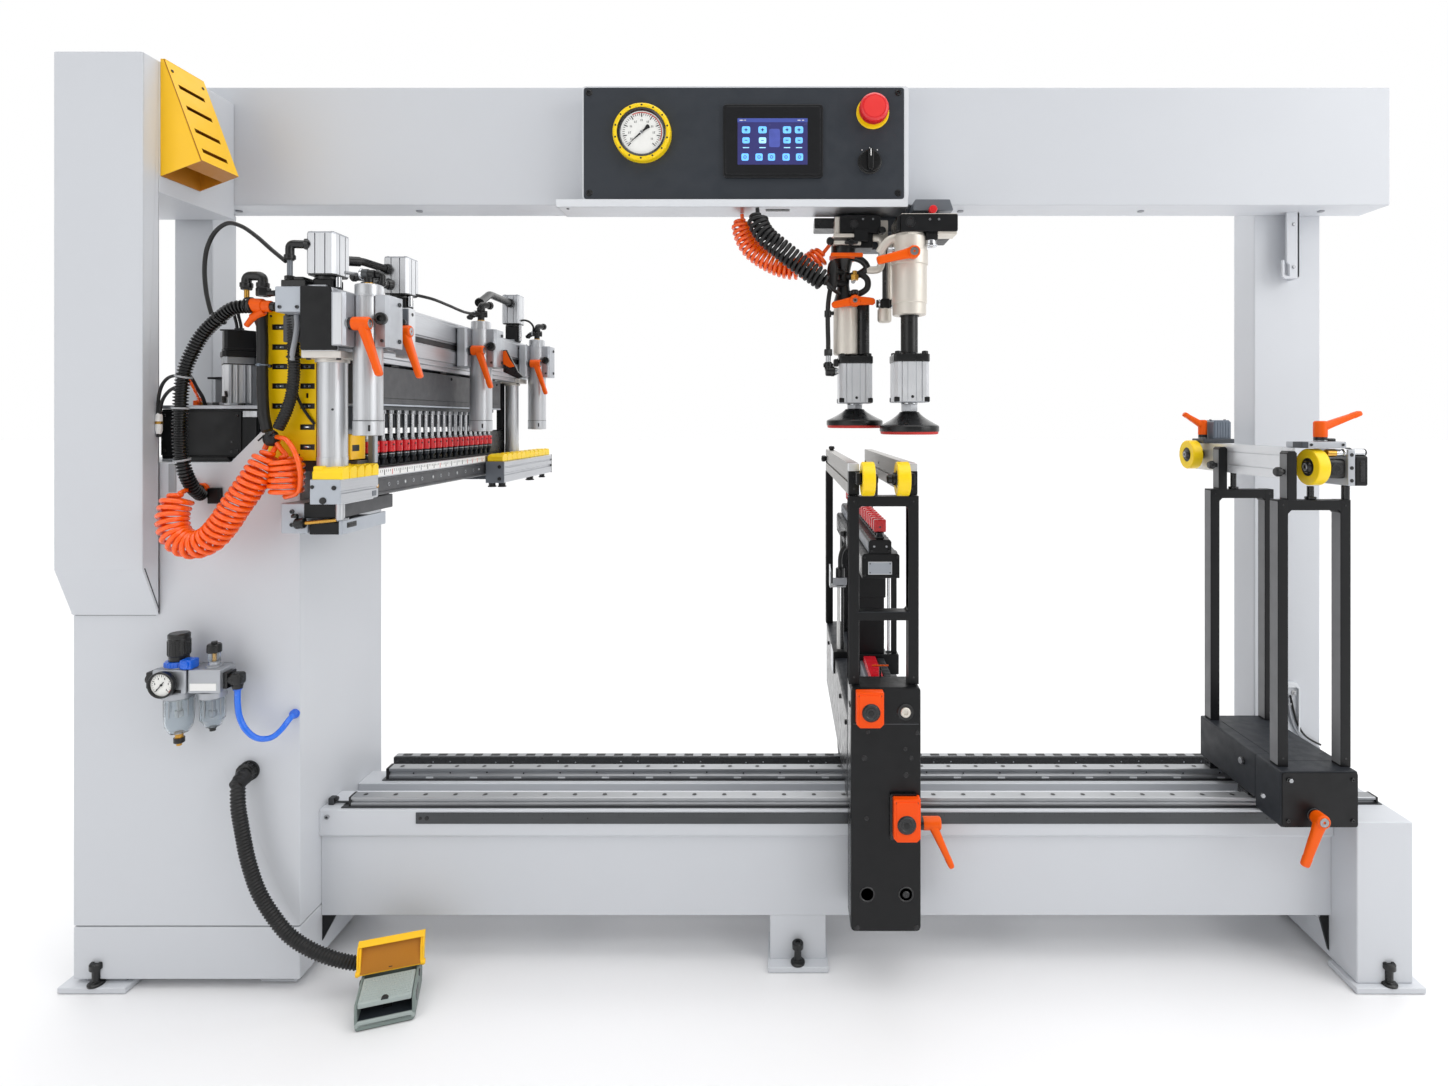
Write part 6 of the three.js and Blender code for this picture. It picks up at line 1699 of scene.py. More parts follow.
# ------------------------------------------------------------------ what stands on the saddle
b = B("lift_guides", "centre_carriage", slot="black")
for y in (275, 665):
    b.prism("y", [(166.5, 507), (227.5, 507), (227.5, 516), (220, 520), (174, 520), (166.5, 516)], y - 36, y + 34, "black", b=1.5)
    b.prism("y", [(171, 518), (231, 518), (231, 694), (227, 699), (175, 699), (171, 694)], y - 32, y + 32, "black", b=2, rc=4)
    for z in range(540, 690, 30):
        b.box(170.6, 231.4, y - 31, y + 31, z, z + 1.2, "seam", 0.3)
    b.ring((197, y, 698), (0, 0, 1), 12.3, 19, 2.4, "alu", 0.8, 34)
b.box(166, 262, 233, 242.6, 522, 566, "black", 2)
b.box(166.4, 261.6, 234, 262, 560, 567, "black_steel", 1.5)
b.box(172, 190, 232, 234, 540, 552, "holder", 0.8)
b.ring((240.9, 250, 566), (0, 0, 1), 3.2, 5.6, 3, "steel_dark", 0.6, 22)
b.done()

b = B("ribbed_tray", "centre_carriage", slot="red")
b.box(176, 230, 45, 236, 506, 553, "grey_face", 2)
b.box(183, 211, 46, 235, 551, 556.6, "red", 1.2)
for k in range(20):
    y = 50 + k * 9.4
    b.box(184, 210, y, y + 5.0, 555, 563.4, "red", 1.8)
    b.box(213, 229, y, y + 5.0, 551, 558.6, "steel_dark", 1.4)
b.box(188.5, 191, 44.2, 46, 512, 534, "red", 0.6)
b.box(206, 208.5, 44.2, 46, 512, 534, "red", 0.6)
b.pin((180, 43, 603), (212, 43, 603), 1.6, "orange", 0.4, 12)
b.box(194, 198, 43, 47, 535, 604, "black_steel", 1)
b.done()

b = B("side_feed_unit", "centre_carriage", slot="black")
b.box(136, 160, 398, 470, 508.2, 524, "black", 2)
b.prism("y", [(129, 470), (163, 470), (163, 523), (129, 523)], 396.5, 470, "black", b=1.5)
b.box(127.4, 129.4, 398, 468, 472, 522, "alu_bright", 0.8)
# small yellow patch in the darker yellow copy: painted shade
b.box(128, 129.2, 420, 440, 476, 498, "yellow_painted_shade", 0.4)
b.cyl((154, 396.8, 496), (0, -1, 0), 6, 5, "red_cap", 1.4, 24)
b.cyl((143, 420, 522), (0, 0, 1), 4.2, 158, "white", 1, 20)
b.cyl((152.5, 420, 522), (0, 0, 1), 3.6, 158, "black_steel", 1, 20)
b.cyl((147, 420, 678), (0, 0, 1), 11, 44, "plastic", 2.5, 30)
b.ring((147, 420, 688), (0, 0, 1), 10.6, 12.2, 5, "black_steel", 0.8, 30)
b.box(123, 160, 408, 436, 676, 680, "alu", 1)
b.prism("x", [(406, 676), (436, 676), (436, 728), (406, 716)], 121, 124.4, "alu", b=0.8)
b.box(128, 162, 404.6, 408.4, 682, 700, "alu_cast", 1)
b.tube(smooth([(147, 420, 720), (147, 420, 744), (151, 420, 762), (160, 420, 776), (162, 420, 792), (157, 420, 803)], 40), 5.2, "rubber", 14)
b.lathe((156, 420, 800), (-0.2, 0, 1), [(0, 0), (7, 0), (8.5, 3), (8.5, 9), (6, 12), (0, 13)], "plastic", 24)
b.done()

# ------------------------------------------------------------------ roller frame
b = B("roller_frame_front", "centre_carriage", slot="black")
b.prism("y", [(130, 582.4), (150, 582.4), (150, 939), (130, 939)], -5, 25, "black", b=1.6)
b.prism("y", [(243, 582.4), (263, 582.4), (263, 939), (243, 939)], -5, 25, "black", b=1.6)
b.prism("y", [(149.4, 919.4), (243.6, 919.4), (243.6, 938.6), (149.4, 938.6)], -4.8, 24.8, "black", b=0.4)
b.prism("y", [(149, 703.5), (244, 703.5), (244, 719.6), (149, 719.6)], -4.8, 24.8, "black", b=0.4)
for x0, x1, z0, z1, sx, sz in ((150, 243, 719.6, 919.4, 0, 0),):
    for cx, cz, dx, dz in ((x0, z1, 1, -1), (x1, z1, -1, -1), (x0, z0, 1, 1), (x1, z0, -1, 1)):
        k = 5
        arc = [(cx + dx * k - dx * k * math.cos(a), cz + dz * k - dz * k * math.sin(a)) for a in np.linspace(0, math.pi / 2, 8)]
        b.prism("y", [(cx - dx * 1, cz - dz * 1), (cx - dx * 1, cz + dz * k)] + arc[0:] + [(cx + dx * k, cz - dz * 1)], -4.6, 24.6, "black", b=0.8)
# grey strips on the posts' left faces and a lighter strip along the middle bar's top edge: painted highlights
b.box(130, 130.9, -4, 24.4, 586, 936, "edge_painted_highlight", 0.3)
b.box(243, 243.5, -3, 24, 722, 917, "edge_painted_highlight", 0.2)
b.box(148, 245, -5.2, -4.4, 718.6, 720.2, "holder", 0.3)
for x in (140, 253):
    for z in (596, 929):
        b.cyl((x, -4.8, z), (0, -1, 0), 2.0, 0.5, "black_steel", 0.2, 14)
b.done("centre_frame")

b = B("roller_frame_rear", "centre_carriage", slot="black")
b.prism("y", [(130, 508.4), (150, 508.4), (150, 939), (130, 939)], 715, 740, "black", b=1.6)
b.prism("y", [(243, 508.4), (263, 508.4), (263, 939), (243, 939)], 715, 740, "black", b=1.6)
b.prism("y", [(149.4, 919.4), (243.6, 919.4), (243.6, 938.6), (149.4, 938.6)], 715.2, 739.8, "black", b=0.4)
for x in (140, 253):
    for z in (530, 720, 929):
        b.socket((x, 740, z), (0, 1, 0), 3, 2.2)
b.done()

b = B("roller_frame_bars", "centre_carriage", slot="aluminium")
for x0, inner in ((131, 1), (242, 0)):
    x1 = x0 + 20
    xi = x1 if inner else x0
    s = 1 if inner else -1
    # a flat bar with a long groove in the face towards the rollers and a scalloped lower edge
    prof = [(x0, 940), (x1, 940), (x1, 962), (x1 - 4, 962), (x1 - 4, 968), (x1, 968), (x1, 1000), (x0, 1000), (x0, 968), (x0 + 4, 968), (x0 + 4, 962), (x0, 962)]
    b.prism("y", prof, 28, 738, "alu_grey", b=0.8)
    b.box(x0, x1, 5.4, 29, 940.4, 999.6, "alu_bright", 1)
    b.box(x0 - 0.3, x1 + 0.3, 4.8, 28.6, 940.2, 986, "black", 1.5)
    b.box(x0, x1, 736, 740, 941, 999.6, "black", 1.2)
    for z in (952, 976):
        b.cyl((x0 + 10, 5, z), (0, -1, 0), 2.2, 0.6, "black_steel", 0.2, 14)
        b.socket((x0 + 10, 740, z), (0, 1, 0), 3.4, 2.2)
    for y in range(60, 720, 66):
        b.box(x0 + 3, x1 - 3, y, y + 30, 938.4, 941.6, "alu_cast", 1)
for y in (150, 430):
    b.cyl((242.2, y, 978), (-1, 0, 0), 3, 1.0, "ink", 0.3, 12)
b.lathe((128.5, 700, 975), (-1, 0, 0), [(0, -3), (6, -3), (7, 0), (9, 4), (9, 9), (6.5, 12), (0, 13)], "plastic", 24)
b.lathe((141, 640, 999), (0, 0, 1), [(0, 0), (6, 0), (6, 4), (8, 6), (8, 11), (6, 13), (0, 13.6)], "plastic", 24)
b.done()


def roller(name, body, node, x0, x1, cy, cz, r, hub, bolt=True):
    b = B(name, body, slot="yellow")
    w = x1 - x0
    b.lathe((x0, cy, cz), (1, 0, 0), [(r * 0.5, 1), (r * 0.56, 0.4), (r - 3.4, 0.4), (r - 2.6, 0), (r - 1, 0.6), (r, 2.2), (r, w - 2.2), (r - 1, w - 0.6), (r - 2.6, w), (r - 3.4, w - 0.4), (r * 0.56, w - 0.4), (r * 0.5, w - 1)], "lemon", 56, closed=True)
    b.cyl((x0 + 1.6, cy, cz), (1, 0, 0), r * 0.515, w - 3.2, "plastic", 1, 40)
    s = -1 if hub < 0 else 1
    xe = x0 + 1.8 if s < 0 else x1 - 1.8
    b.lathe((xe, cy, cz), (s, 0, 0), [(0, 0), (r * 0.36, 0), (r * 0.34, 3), (r * 0.28, 5.4), (0, 5.6)], "black_steel", 32)
    b.socket((xe + s * 4.6, cy, cz), (s, 0, 0), r * 0.2, 2.4, "steel", "ink")
    for k in range(5):
        a = k * math.tau / 5
        b.cyl((xe - s * 0.2, cy + math.cos(a) * r * 0.43, cz + math.sin(a) * r * 0.43), (s, 0, 0), r * 0.035, 0.8, "black_steel", 0.2, 10)
    return b.done(node)


roller("panel_roller_left", "roller_left", "centre_roller_left", 152, 176, -22, 973, 32, 1)
roller("panel_roller_right", "roller_right", "centre_roller_right", 217, 241, -22, 973, 32, -1)
b = B("roller_axles", "centre_carriage", slot="black")
b.cyl((149.6, -22, 973), (1, 0, 0), 9, 2.2, "plastic", 0.6, 26)
b.lathe((176.4, -22, 973), (1, 0, 0), [(0, 0), (8, 0), (9.6, 1.4), (9.6, 5), (8, 6.6), (0, 7)], "plastic", 28)
b.box(177.6, 182.6, -26, 6, 939, 968, "black_steel", 1)
b.lathe((216.6, -22, 973), (-1, 0, 0), [(0, 0), (11, 0), (12.4, 1.6), (12.4, 6), (9, 8), (8.6, 15), (6, 17), (0, 17)], "plastic", 30)
b.cyl((241.2, -22, 973), (1, 0, 0), 9, 2.4, "plastic", 0.6, 26)
for x0, x1 in ((142, 151.4), (241.6, 251)):
    b.box(x0, x1, -34, 8, 962, 984, "black", 2)
b.done()

# ------------------------------------------------------------------ lifting drill head
b = B("lift_head_housing", "centre_head", slot="black")
b.prism("y", [(160.4, 774), (233.6, 774), (233.6, 818), (229.6, 822), (164.4, 822), (160.4, 818)], 40, 712, "black", b=2)
b.prism("y", [(174, 821), (218, 821), (218, 845), (214.6, 848.8), (177.4, 848.8), (174, 845)], 42, 710, "black", b=1.6)
# light grey sheet on the black top block's left face: painted highlight
b.box(172.6, 174.6, 44, 708, 824, 844, "grey_face", 0.6)
b.box(159.6, 161, 44, 708, 780, 815, "black_steel", 0.6)
x0, _, z1 = Q(868, 561.5, 40)
x1, _, z0 = Q(892, 574.5, 40)
b.box(x0, x1, 38.6, 41, z0, z1, "alu_bright", 1)
b.box(x0 + 1.6, x1 - 1.6, 38.3, 39, z0 + 1.6, z1 - 1.6, "block_grey", 0.4)
for sx, sz in ((x0 + 4, z1 - 4), (x1 - 4, z1 - 4), (x0 + 4, z0 + 4), (x1 - 4, z0 + 4)):
    b.cyl((sx, 38.4, sz), (0, -1, 0), 1.3, 0.6, "ink", 0.2, 12)
for x, z in ((165, 780), (165, 815), (229, 780), (229, 815), (179, 828), (213, 828)):
    b.socket((x, 40.4, z), (0, -1, 0), 2.6, 2.0)
for x in (184, 208):
    b.cyl((x, 42.4, 836), (0, -1, 0), 2.2, 1.4, "steel", 0.3, 12)
for k in range(20):
    b.box(176, 216, 60 + 32 * k + 14, 60 + 32 * k + 18, 847.6, 849, "black_steel", 0.4)
for y in (275, 665):
    b.cyl((197, y, 611), (0, 0, 1), 11.7, 146, "chrome", 1, 32)
    b.prism("z", [(168, y - 35), (234, y - 35), (234, y + 35), (168, y + 35)], 690, 775, "black", b=1.5, rc=3)
b.box(233, 260, 240, 262, 776, 792, "black_steel", 2)
b.pin((240.9, 250, 556), (240.9, 250, 778), 2.8, "chrome", 0.6)
b.prism("z", [(247.5, 243), (258.5, 243), (258.5, 257), (247.5, 257)], 552, 778, "black", b=1)
b.done("centre_drill_head")

b = B("lift_spindles", "centre_head", slot="red")
b.box(189, 205, 52, 708, 849.4, 853.6, "black_steel", 0.8)
for k in range(21):
    y = 60 + 32 * k
    b.lathe((197, y, 853), (0, 0, 1), [(0, 0), (7.4, 0), (7.4, 3), (6.2, 4.4), (6.2, 7), (10.4, 9.4), (0, 9.6)], "holder", 20)
    h, g = 12.0, 6.8
    c = 2.6
    sq = [(197 - h + c, y - g), (197 + h - c, y - g), (197 + h, y - g + c), (197 + h, y + g - c), (197 + h - c, y + g), (197 - h + c, y + g), (197 - h, y + g - c), (197 - h, y - g + c)]
    b.prism("z", sq, 862, 887, "red_chuck", b=2.2)
    b.ring((197, y, 886.4), (0, 0, 1), 4.2, 6.2, 0.9, "red_chuck", 0.3, 20)
    # dark disc in the chuck's bore: painted shade
    b.cyl((197, y, 886.2), (0, 0, 1), 4.3, 0.7, "ink", 0.2, 16)
    b.cyl((197, y - g + 0.2, 872), (0, -1, 0), 1.8, 0.8, "steel_dark", 0.2, 14)
b.done("centre_spindles")

# ------------------------------------------------------------------ right support
b = B("support_base", "side_support", slot="slate")
b.prism("y", [(939, 318), (1085, 318), (1085, 424), (939, 424)], -18, 59, "slate_dark", b=2.5, rc=5)
b.prism("y", [(939, 335.5), (1085, 335.5), (1085, 423.6), (939, 423.6)], 58, 258, "slate_dark", b=2.5, rc=4)
b.prism("y", [(941.5, 319.5), (1083.5, 319.5), (1083.5, 421.5), (941.5, 421.5)], -20, -17, "black", b=1.2, rc=5)
b.box(939, 1085, 82, 118, 322, 336, "black_steel", 1)
b.box(966.5, 1064.5, 26, 227, 423, 424.4, "slate_dark", 0.6)
b.box(939, 1085, 218, 242, 322.4, 336, "black_steel", 1)
for x in (952, 1073):
    for z in (332, 409):
        b.socket((x, -20, z), (0, -1, 0), 3.4, 2.4)
x, y, z = Q(1295, 795, -20)
for px, py in ((1262, 795), (1290, 780)):
    x, y, z = Q(px, py, -20)
    b.cyl((x, -20, z), (0, -1, 0), 4.6, 1.4, "black_steel", 0.4, 22)
    b.hexnut((x, -21, z), (0, -1, 0), 7.4, 3.6, "steel")
x, y, z = Q(1216, 758, 100)
b.cyl((939.2, 100, 392), (-1, 0, 0), 8, 1.6, "black_steel", 0.5, 22)
b.hexnut((938, 100, 392), (-1, 0, 0), 12, 5, "steel")
for y0 in (0, 228):
    y1 = y0 + 25
    b.prism("y", [(946, 423), (966, 423), (966, 931), (946, 931)], y0, y1, "black", b=1.6)
    b.prism("y", [(1065, 423), (1085, 423), (1085, 931), (1065, 931)], y0, y1, "black", b=1.6)
    b.prism("y", [(965.4, 911.5), (1065.6, 911.5), (1065.6, 930.6), (965.4, 930.6)], y0 + 0.2, y1 - 0.2, "black", b=0.4)
    for cx, dx in ((966, 1), (1065, -1)):
        k = 7
        arc = [(cx + dx * k - dx * k * math.cos(a), 911.5 - k + k * math.sin(a)) for a in np.linspace(0, math.pi / 2, 9)]
        b.prism("y", [(cx - dx, 912.5), (cx - dx, 911.5 - k)] + arc + [(cx + dx * k, 912.5)], y0 + 0.4, y1 - 0.4, "black", b=0.8)
    # grey strips on the posts' left faces: painted highlights
    b.box(945.6, 947, y0 + 1, y1 - 1, 427, 928, "edge_painted_highlight", 0.4)
    b.box(1064.6, 1066, y0 + 1, y1 - 1, 427, 908, "edge_painted_highlight", 0.4)
    # the upright that carries the bar, with its clamp knob
    b.prism("y", [(964.5, 930), (982.8, 930), (982.8, 1020), (979, 1024), (968, 1024), (964.5, 1020)], y0 + 0.4, y0 + 24.6, "black", b=1.4)
    # grey strip on the upright's left face: painted highlight
    b.box(963.9, 965.2, y0 + 2, y0 + 23, 934, 1018, "edge_painted_highlight", 0.4)
    b.lathe((964.2, y0 + 10, 984), (-1, 0, 0), [(0, 0), (5, 0), (5, 5), (8.4, 7), (9.4, 10), (9.0, 15), (6.5, 18), (0, 18.6)], "plastic", 26)
    for x in (956, 1075):
        for z in (440, 921):
            b.cyl((x, y0 + 0.2, z), (0, -1, 0), 2.0, 0.5, "black_steel", 0.2, 14)
b.pin((1020, 18, 930), (1020, 18, 956), 6, "black_steel", 1)
b.pin((1003, 240.5, 930), (1003, 240.5, 967.7), 6, "black_steel", 1)
b.pin((1083, 12, 924), (1083, 12, 957.7), 7, "black_steel", 1)
b.ring((1020, 18, 931), (0, 0, 1), 6, 10, 5, "black_steel", 0.8, 26)
b.ring((1003, 240.5, 931), (0, 0, 1), 6, 10, 5, "black_steel", 0.8, 26)
b.done("right_support")

b = B("bar_extrusion", "side_support", slot="aluminium")
X0, X1, Z0, Z1 = 983.3, 1006, 968, 1030
b.prism("y", [(X0, Z0), (X1, Z0), (X1, 978), (X1 - 5, 978), (X1 - 5, 984), (X1, 984), (X1, 1030), (1001, 1030), (1001, 1027), (989, 1027), (989, 1030), (X0, 1030), (X0, 1015), (X0 + 2.4, 1015), (X0 + 2.4, 1013), (X0, 1013), (X0, 987), (X0 + 2.4, 987), (X0 + 2.4, 985), (X0, 985)], 46, 359, "alu_bright", b=0.8)
b.box(X0, 988, 14.2, 46.4, 968.4, 1029.6, "alu_bright", 0.8)
b.box(X0, X1, 44, 46.4, Z0, Z1, "alu_cast", 1.0)
b.box(X0, X1, 358.4, 360, Z0, Z1, "black", 1.2)
for z in (981, 1016):
    b.socket((996.6, 44.2, z), (0, -1, 0), 3.6, 2)
    b.socket((994.6, 360, z), (0, 1, 0), 3.6, 2)
# ribbed guide block and base plate at the far lever
b.box(970, 1041, 300, 350, 1029.6, 1040, "slate", 1.6)
b.prism("y", [(996, 1039), (1037, 1039), (1037, 1078), (1032, 1083), (1001, 1083), (996, 1078)], 306, 345, "slate_blue", b=2.5)
for k in range(6):
    b.box(998.6 + k * 6.2, 1003.2 + k * 6.2, 305, 308, 1042, 1079, "slate_blue", 1)
for x in (1000, 1033):
    b.socket((x, 326, 1083), (0, 0, 1), 2.6, 1.6)
# base plate of the near lever with its small block and hook
b.box(1000, 1073, -5, 24, 1029.6, 1042, "alu_cast", 1.6)
b.box(1000, 1064, 23, 60, 1029.6, 1041, "alu_cast", 1.6)
b.box(988, 1001, -5, 22, 1029.8, 1041.8, "slate", 1.4)
for x in (1006, 1066):
    b.socket((x, -5, 1036), (0, -1, 0), 2.6, 1.6)
b.box(1048, 1064, 10, 26, 1041, 1048, "plastic", 2)
# drive unit at the near end: rounded box, bracket with holes, box, knob and cylinder
b.prism("x", [(2, 971), (92, 971), (92, 1009), (2, 1009)], 1044, 1077, "plastic", b=4, rc=8, n=4)
b.box(1005, 1045, 53, 91, 976, 1010, "black", 3)
b.ring((1060, 2.4, 990), (0, -1, 0), 5, 11, 1.4, "black_steel", 0.5, 26)
b.box(1076, 1090.6, -4, 91, 958, 1027, "alu_cast", 2)
# dark discs for the bracket's holes: painted shade
for z in (968, 992, 1017):
    b.cyl((1083.4, -3.6, z), (0, -1, 0), 3.6, 0.9, "ink", 0.2, 20)
b.prism("x", [(-5, 958), (60, 958), (60, 1015), (-5, 1015)], 1090, 1113.6, "black", b=2.5, rc=4)
b.box(1098, 1107, -6, -4, 966, 1006, "black_steel", 0.8)
b.cyl((1072, 6, 1021), (1, 0, 0), 7.6, 40, "chrome", 1.6, 28)
b.lathe((1110, 6, 1021), (1, 0, 0), [(0, 0), (6, 0), (7.4, 1), (7.4, 4), (6, 5.4), (0, 5.6)], "plastic", 24)
b.ring((1082, 8, 1022), (1, 0, 0), 7.4, 8.4, 6, "steel_dark", 0.4, 28)
b.cyl((1042, 8, 1020), (1, 0, 0), 7.6, 18, "brass", 1.2, 26)
b.cyl((1059, 8, 1020), (1, 0, 0), 6.4, 18, "chrome", 1.2, 26)
b.done("right_bar")

roller("side_roller_near", "roller_near", "right_roller_near", 1011, 1034, 15, 993, 35, -1)
roller("side_roller_far", "roller_far", "right_roller_far", 946, 968.5, 330, 1003, 33, -1)
b = B("side_roller_axles", "side_support", slot="black")
b.cyl((1034.4, 15, 993), (1, 0, 0), 10, 10.4, "plastic", 1, 28)
b.cyl((968.9, 330, 1003), (1, 0, 0), 10, 14.6, "plastic", 1.5, 28)
b.done()
handle("support_clamp_lever", "support_lever", (1000, -20.4, 343), (0, -1, 0), (966, -44, 260), 13, 29, "right_lever_front", w=(20, 15), th=(12, 8.5), at=0.66)
handle("bar_clamp_near_lever", "bar_lever_near", (1037, 15, 1042.4), (0, 0, 1), (1112, 12, 1097), 12, 39, "right_lever_near", w=(18, 14), th=(14, 9), at=0.66)
handle("bar_clamp_far_lever", "bar_lever_far", (984, 330, 1040.4), (0, 0, 1), (941, 333, 1098), 9.5, 43, "right_lever_far", w=(15, 12), th=(14, 9), at=0.7)

# ------------------------------------------------------------------ overhead units: bracket and barrels
NX, NY, FX, FY = 264, 110, 160, 190
b = B("overhead_bracket", slot="slate")
b.prism("y", [(122, 1490), (344.6, 1490), (344.6, 1546), (122, 1546)], 203, 289, "slate", b=2.5, rc=4)
b.prism("y", [(122, 1490), (150, 1460), (250, 1460), (290, 1490)], 240, 288, "slate", b=2)
b.prism("y", [(126, 1477), (212, 1477), (212, 1514), (126, 1514)], 155, 205, "black", b=2, rc=4)
b.prism("y", [(74, 1498), (120, 1498), (120, 1521), (74, 1521)], 205, 255, "plastic", b=1.5, rc=3)
b.box(110, 135, 210, 250, 1500, 1519, "black_steel", 1.5)
b.box(197, 232, 188, 204, 1470, 1512, "champagne", 2)
x, y, z = Q(853.8, 224, 155)
# hole: a ring round a dark disc, the disc painted shade
b.ring((x, 155.2, z), (0, -1, 0), 7, 10, 1.2, "black_steel", 0.5, 28)
b.cyl((x, 155.2, z), (0, -1, 0), 7, 0.8, "ink", 0.2, 28)
for px in (863, 873):
    x, y, z = Q(px, 219, 155)
    b.cyl((x, 155.2, z), (0, -1, 0), 2.2, 1.2, "steel", 0.3, 14)
x, y, z = Q(837.5, 224, 198)
b.box(116, 126, 160, 205, 1476, 1512, "champagne", 1.6)
# near clamp plate, its left side, its underside strip and what stands on it
xa, _, za = Q(900.9, 213.3, 74)
xb, _, zb = Q(958.2, 230.9, 74)
b.prism("y", [(xa, zb), (xb, zb), (xb, za), (xa, za)], 75, 203, "black", b=2, rc=4)
b.box(xa + 1, xb - 1, 76, 130, za - 1.4, za + 0.6, "champagne", 0.8)
b.box(xa - 7, xa + 1, 80, 160, zb + 2, za - 2, "black_steel", 2)
# hole: a ring round a dark disc, the disc painted shade
for px, py, r in ((910.5, 221.7, 8.5),):
    x, _, z = Q(px, py, 74)
    b.ring((x, 75.4, z), (0, -1, 0), r - 2, r + 2, 1.4, "black_steel", 0.5, 28)
    b.cyl((x, 75.4, z), (0, -1, 0), r - 2, 0.8, "ink", 0.2, 24)
for px in (930, 939):
    x, _, z = Q(px, 219, 74)
    b.cyl((x, 75.2, z), (0, -1, 0), 2.4, 1.2, "steel", 0.3, 14)
x0, _, z0 = Q(938, 234, 78)
x1, _, z1 = Q(957, 231, 78)
b.box(x0, x1, 78, 120, z0, z1 + 2, "champagne", 1)
x0, _, z0 = Q(911.9, 212, 150)
x1, _, z1 = Q(952.6, 200.6, 150)
b.prism("y", [(x0, z0), (x1, z0), (x1 - 8, z1), (x0 + 5, z1)], 138, 203, "grey_face", b=2, rc=3)
x, _, z = Q(931.5, 209, 138)
b.cyl((x, 130, z - 5), (0, -1, 0), 8.6, 12, "red_cap", 2, 28)
b.cyl((x, 138, z - 5), (0, -1, 0), 6, 9, "black_steel", 0.8, 24)
x, _, z = Q(931.5, 237, 92)
b.box(x - 12, x + 12, 84, 108, z - 8, z + 22, "plastic", 3)
b.cyl((x - 2, 92, z - 18), (0, 0, 1), 11, 11, "chrome", 1.5, 28)
b.ring((x - 2, 92, z - 20), (0, 0, 1), 5, 13.5, 5, "chrome", 1, 28)
# far unit: silver arms, blocks, wing knob
for z in (1451, 1466):
    b.box(112, 170, 150, 204, z, z + 8, "champagne", 1.6)
b.box(140, 196, 160, 200, 1446, 1478, "black", 2)
x0, _, z1 = Q(854, 230, 150)
x1, _, z0 = Q(868, 241.5, 150)
b.box(x0, x1, 146, 190, z0, z1, "black", 2)
for px, py, r in ((830, 241.5, 8), (881.7, 231, 8)):
    x, _, z = Q(px, py, 150)
    b.lathe((x, 156, z), (0, -1, 0), [(0, 0), (r * 0.6, 0), (r * 0.6, 4), (r, 6), (r, 13), (r * 0.8, 16), (0, 17)], "plastic", 26)
x, _, z = Q(851.4, 242.3, 140)
b.cyl((x, 150, z), (0, -1, 0), 6, 12, "plastic", 1.5, 24)
b.box(x - 14, x + 14, 138, 146, z - 3, z + 3.4, "plastic", 2.4, 2)
# champagne arms
x0, _, z1 = Q(867, 237, 165)
x1, _, z0 = Q(882, 270, 165)
b.tube(smooth([(x0 + 2, 170, z1), (x1 - 4, 168, z1 - 4), (x1, 166, (z0 + z1) / 2), (x1 - 6, 166, z0 + 3), (x0, 168, z0)], 40), 8, "champagne", 16, flat=((0, 1, 0), 0.7))
x0, _, z0 = Q(880, 249, 96)
x1, _, z1 = Q(925, 239, 96)
b.tube(smooth([(x0, 104, z0 - 6), (x0 + 6, 102, z0 + 4), (x0 + 24, 100, z1), (x1 - 20, 98, z1 + 2), (x1, 98, z1 - 3)], 50), 9, "champagne", 16, flat=((0, 1, 0), 0.6))
# barrels: near
b.lathe((NX, NY, 1293), (0, 0, 1), [(0, 0), (12.2, 0), (12.2, 3), (30, 3), (33, 3.8), (34, 6), (34, 26), (35.6, 28), (35.6, 118), (34.4, 121), (34.4, 126), (35.6, 129), (35.6, 160), (33, 164), (33, 167), (0, 167)], "champagne", 56)
b.ring((NX, NY, 1398), (0, 0, 1), 35.2, 37.6, 30, "champagne", 2.5, 56)
b.ring((NX, NY, 1293.4), (0, 0, 1), 12.4, 20, 4, "black_steel", 0.6, 34)
x, _, z = Q(889.6, 251, 100)
b.cyl((x + 14, 100, z), (-1, 0, 0), 8, 18, "alu", 2, 26)
b.ring((x + 9, 100, z), (-1, 0, 0), 7, 9.8, 5, "chrome", 0.8, 26)
# barrels: far, as a silver barrel with its black column
b.lathe((FX - 20, FY - 8, 1222), (0, 0, 1), [(0, 0), (24, 0), (25.2, 1), (26, 3), (26, 96), (25, 98), (24, 104), (0, 104)], "champagne", 52)
b.lathe((FX + 17, FY - 8, 1222), (0, 0, 1), [(0, 0), (13, 0), (14, 1), (14, 106), (12, 110), (0, 110)], "plastic", 40)
b.box(FX - 34, FX + 26, FY - 4, FY + 28, 1236, 1330, "black", 6, 2)
b.lathe((FX - 25, FY - 8, 1326), (0, 0, 1), [(0, 0), (21, 0), (22, 3), (20, 12), (15, 30), (13, 44), (13.5, 66), (16.5, 82), (20, 96), (24, 104), (26, 110), (26, 133), (0, 133)], "plastic", 44)
b.tube(smooth([(FX - 30, FY - 10, 1430), (FX - 6, FY - 18, 1428), (FX + 14, FY - 22, 1420), (FX + 24, FY - 20, 1406), (FX + 6, FY - 16, 1392), (FX - 16, FY - 12, 1388)], 50), 7.5, "plastic", 16)
b.tube(smooth([(FX - 16, FY - 14, 1388), (FX + 8, FY - 22, 1392), (FX + 24, FY - 26, 1380), (FX + 24, FY - 26, 1362), (FX + 8, FY - 22, 1351), (FX - 14, FY - 14, 1352)], 50), 6.6, "rubber", 16)
b.lathe((FX - 52, FY - 36, 1354), (0.06, 0, 1), [(0, 0), (7, 1), (10, 6), (11.6, 16), (11.8, 44), (10.4, 56), (6, 64), (0, 65)], "rubber", 26)
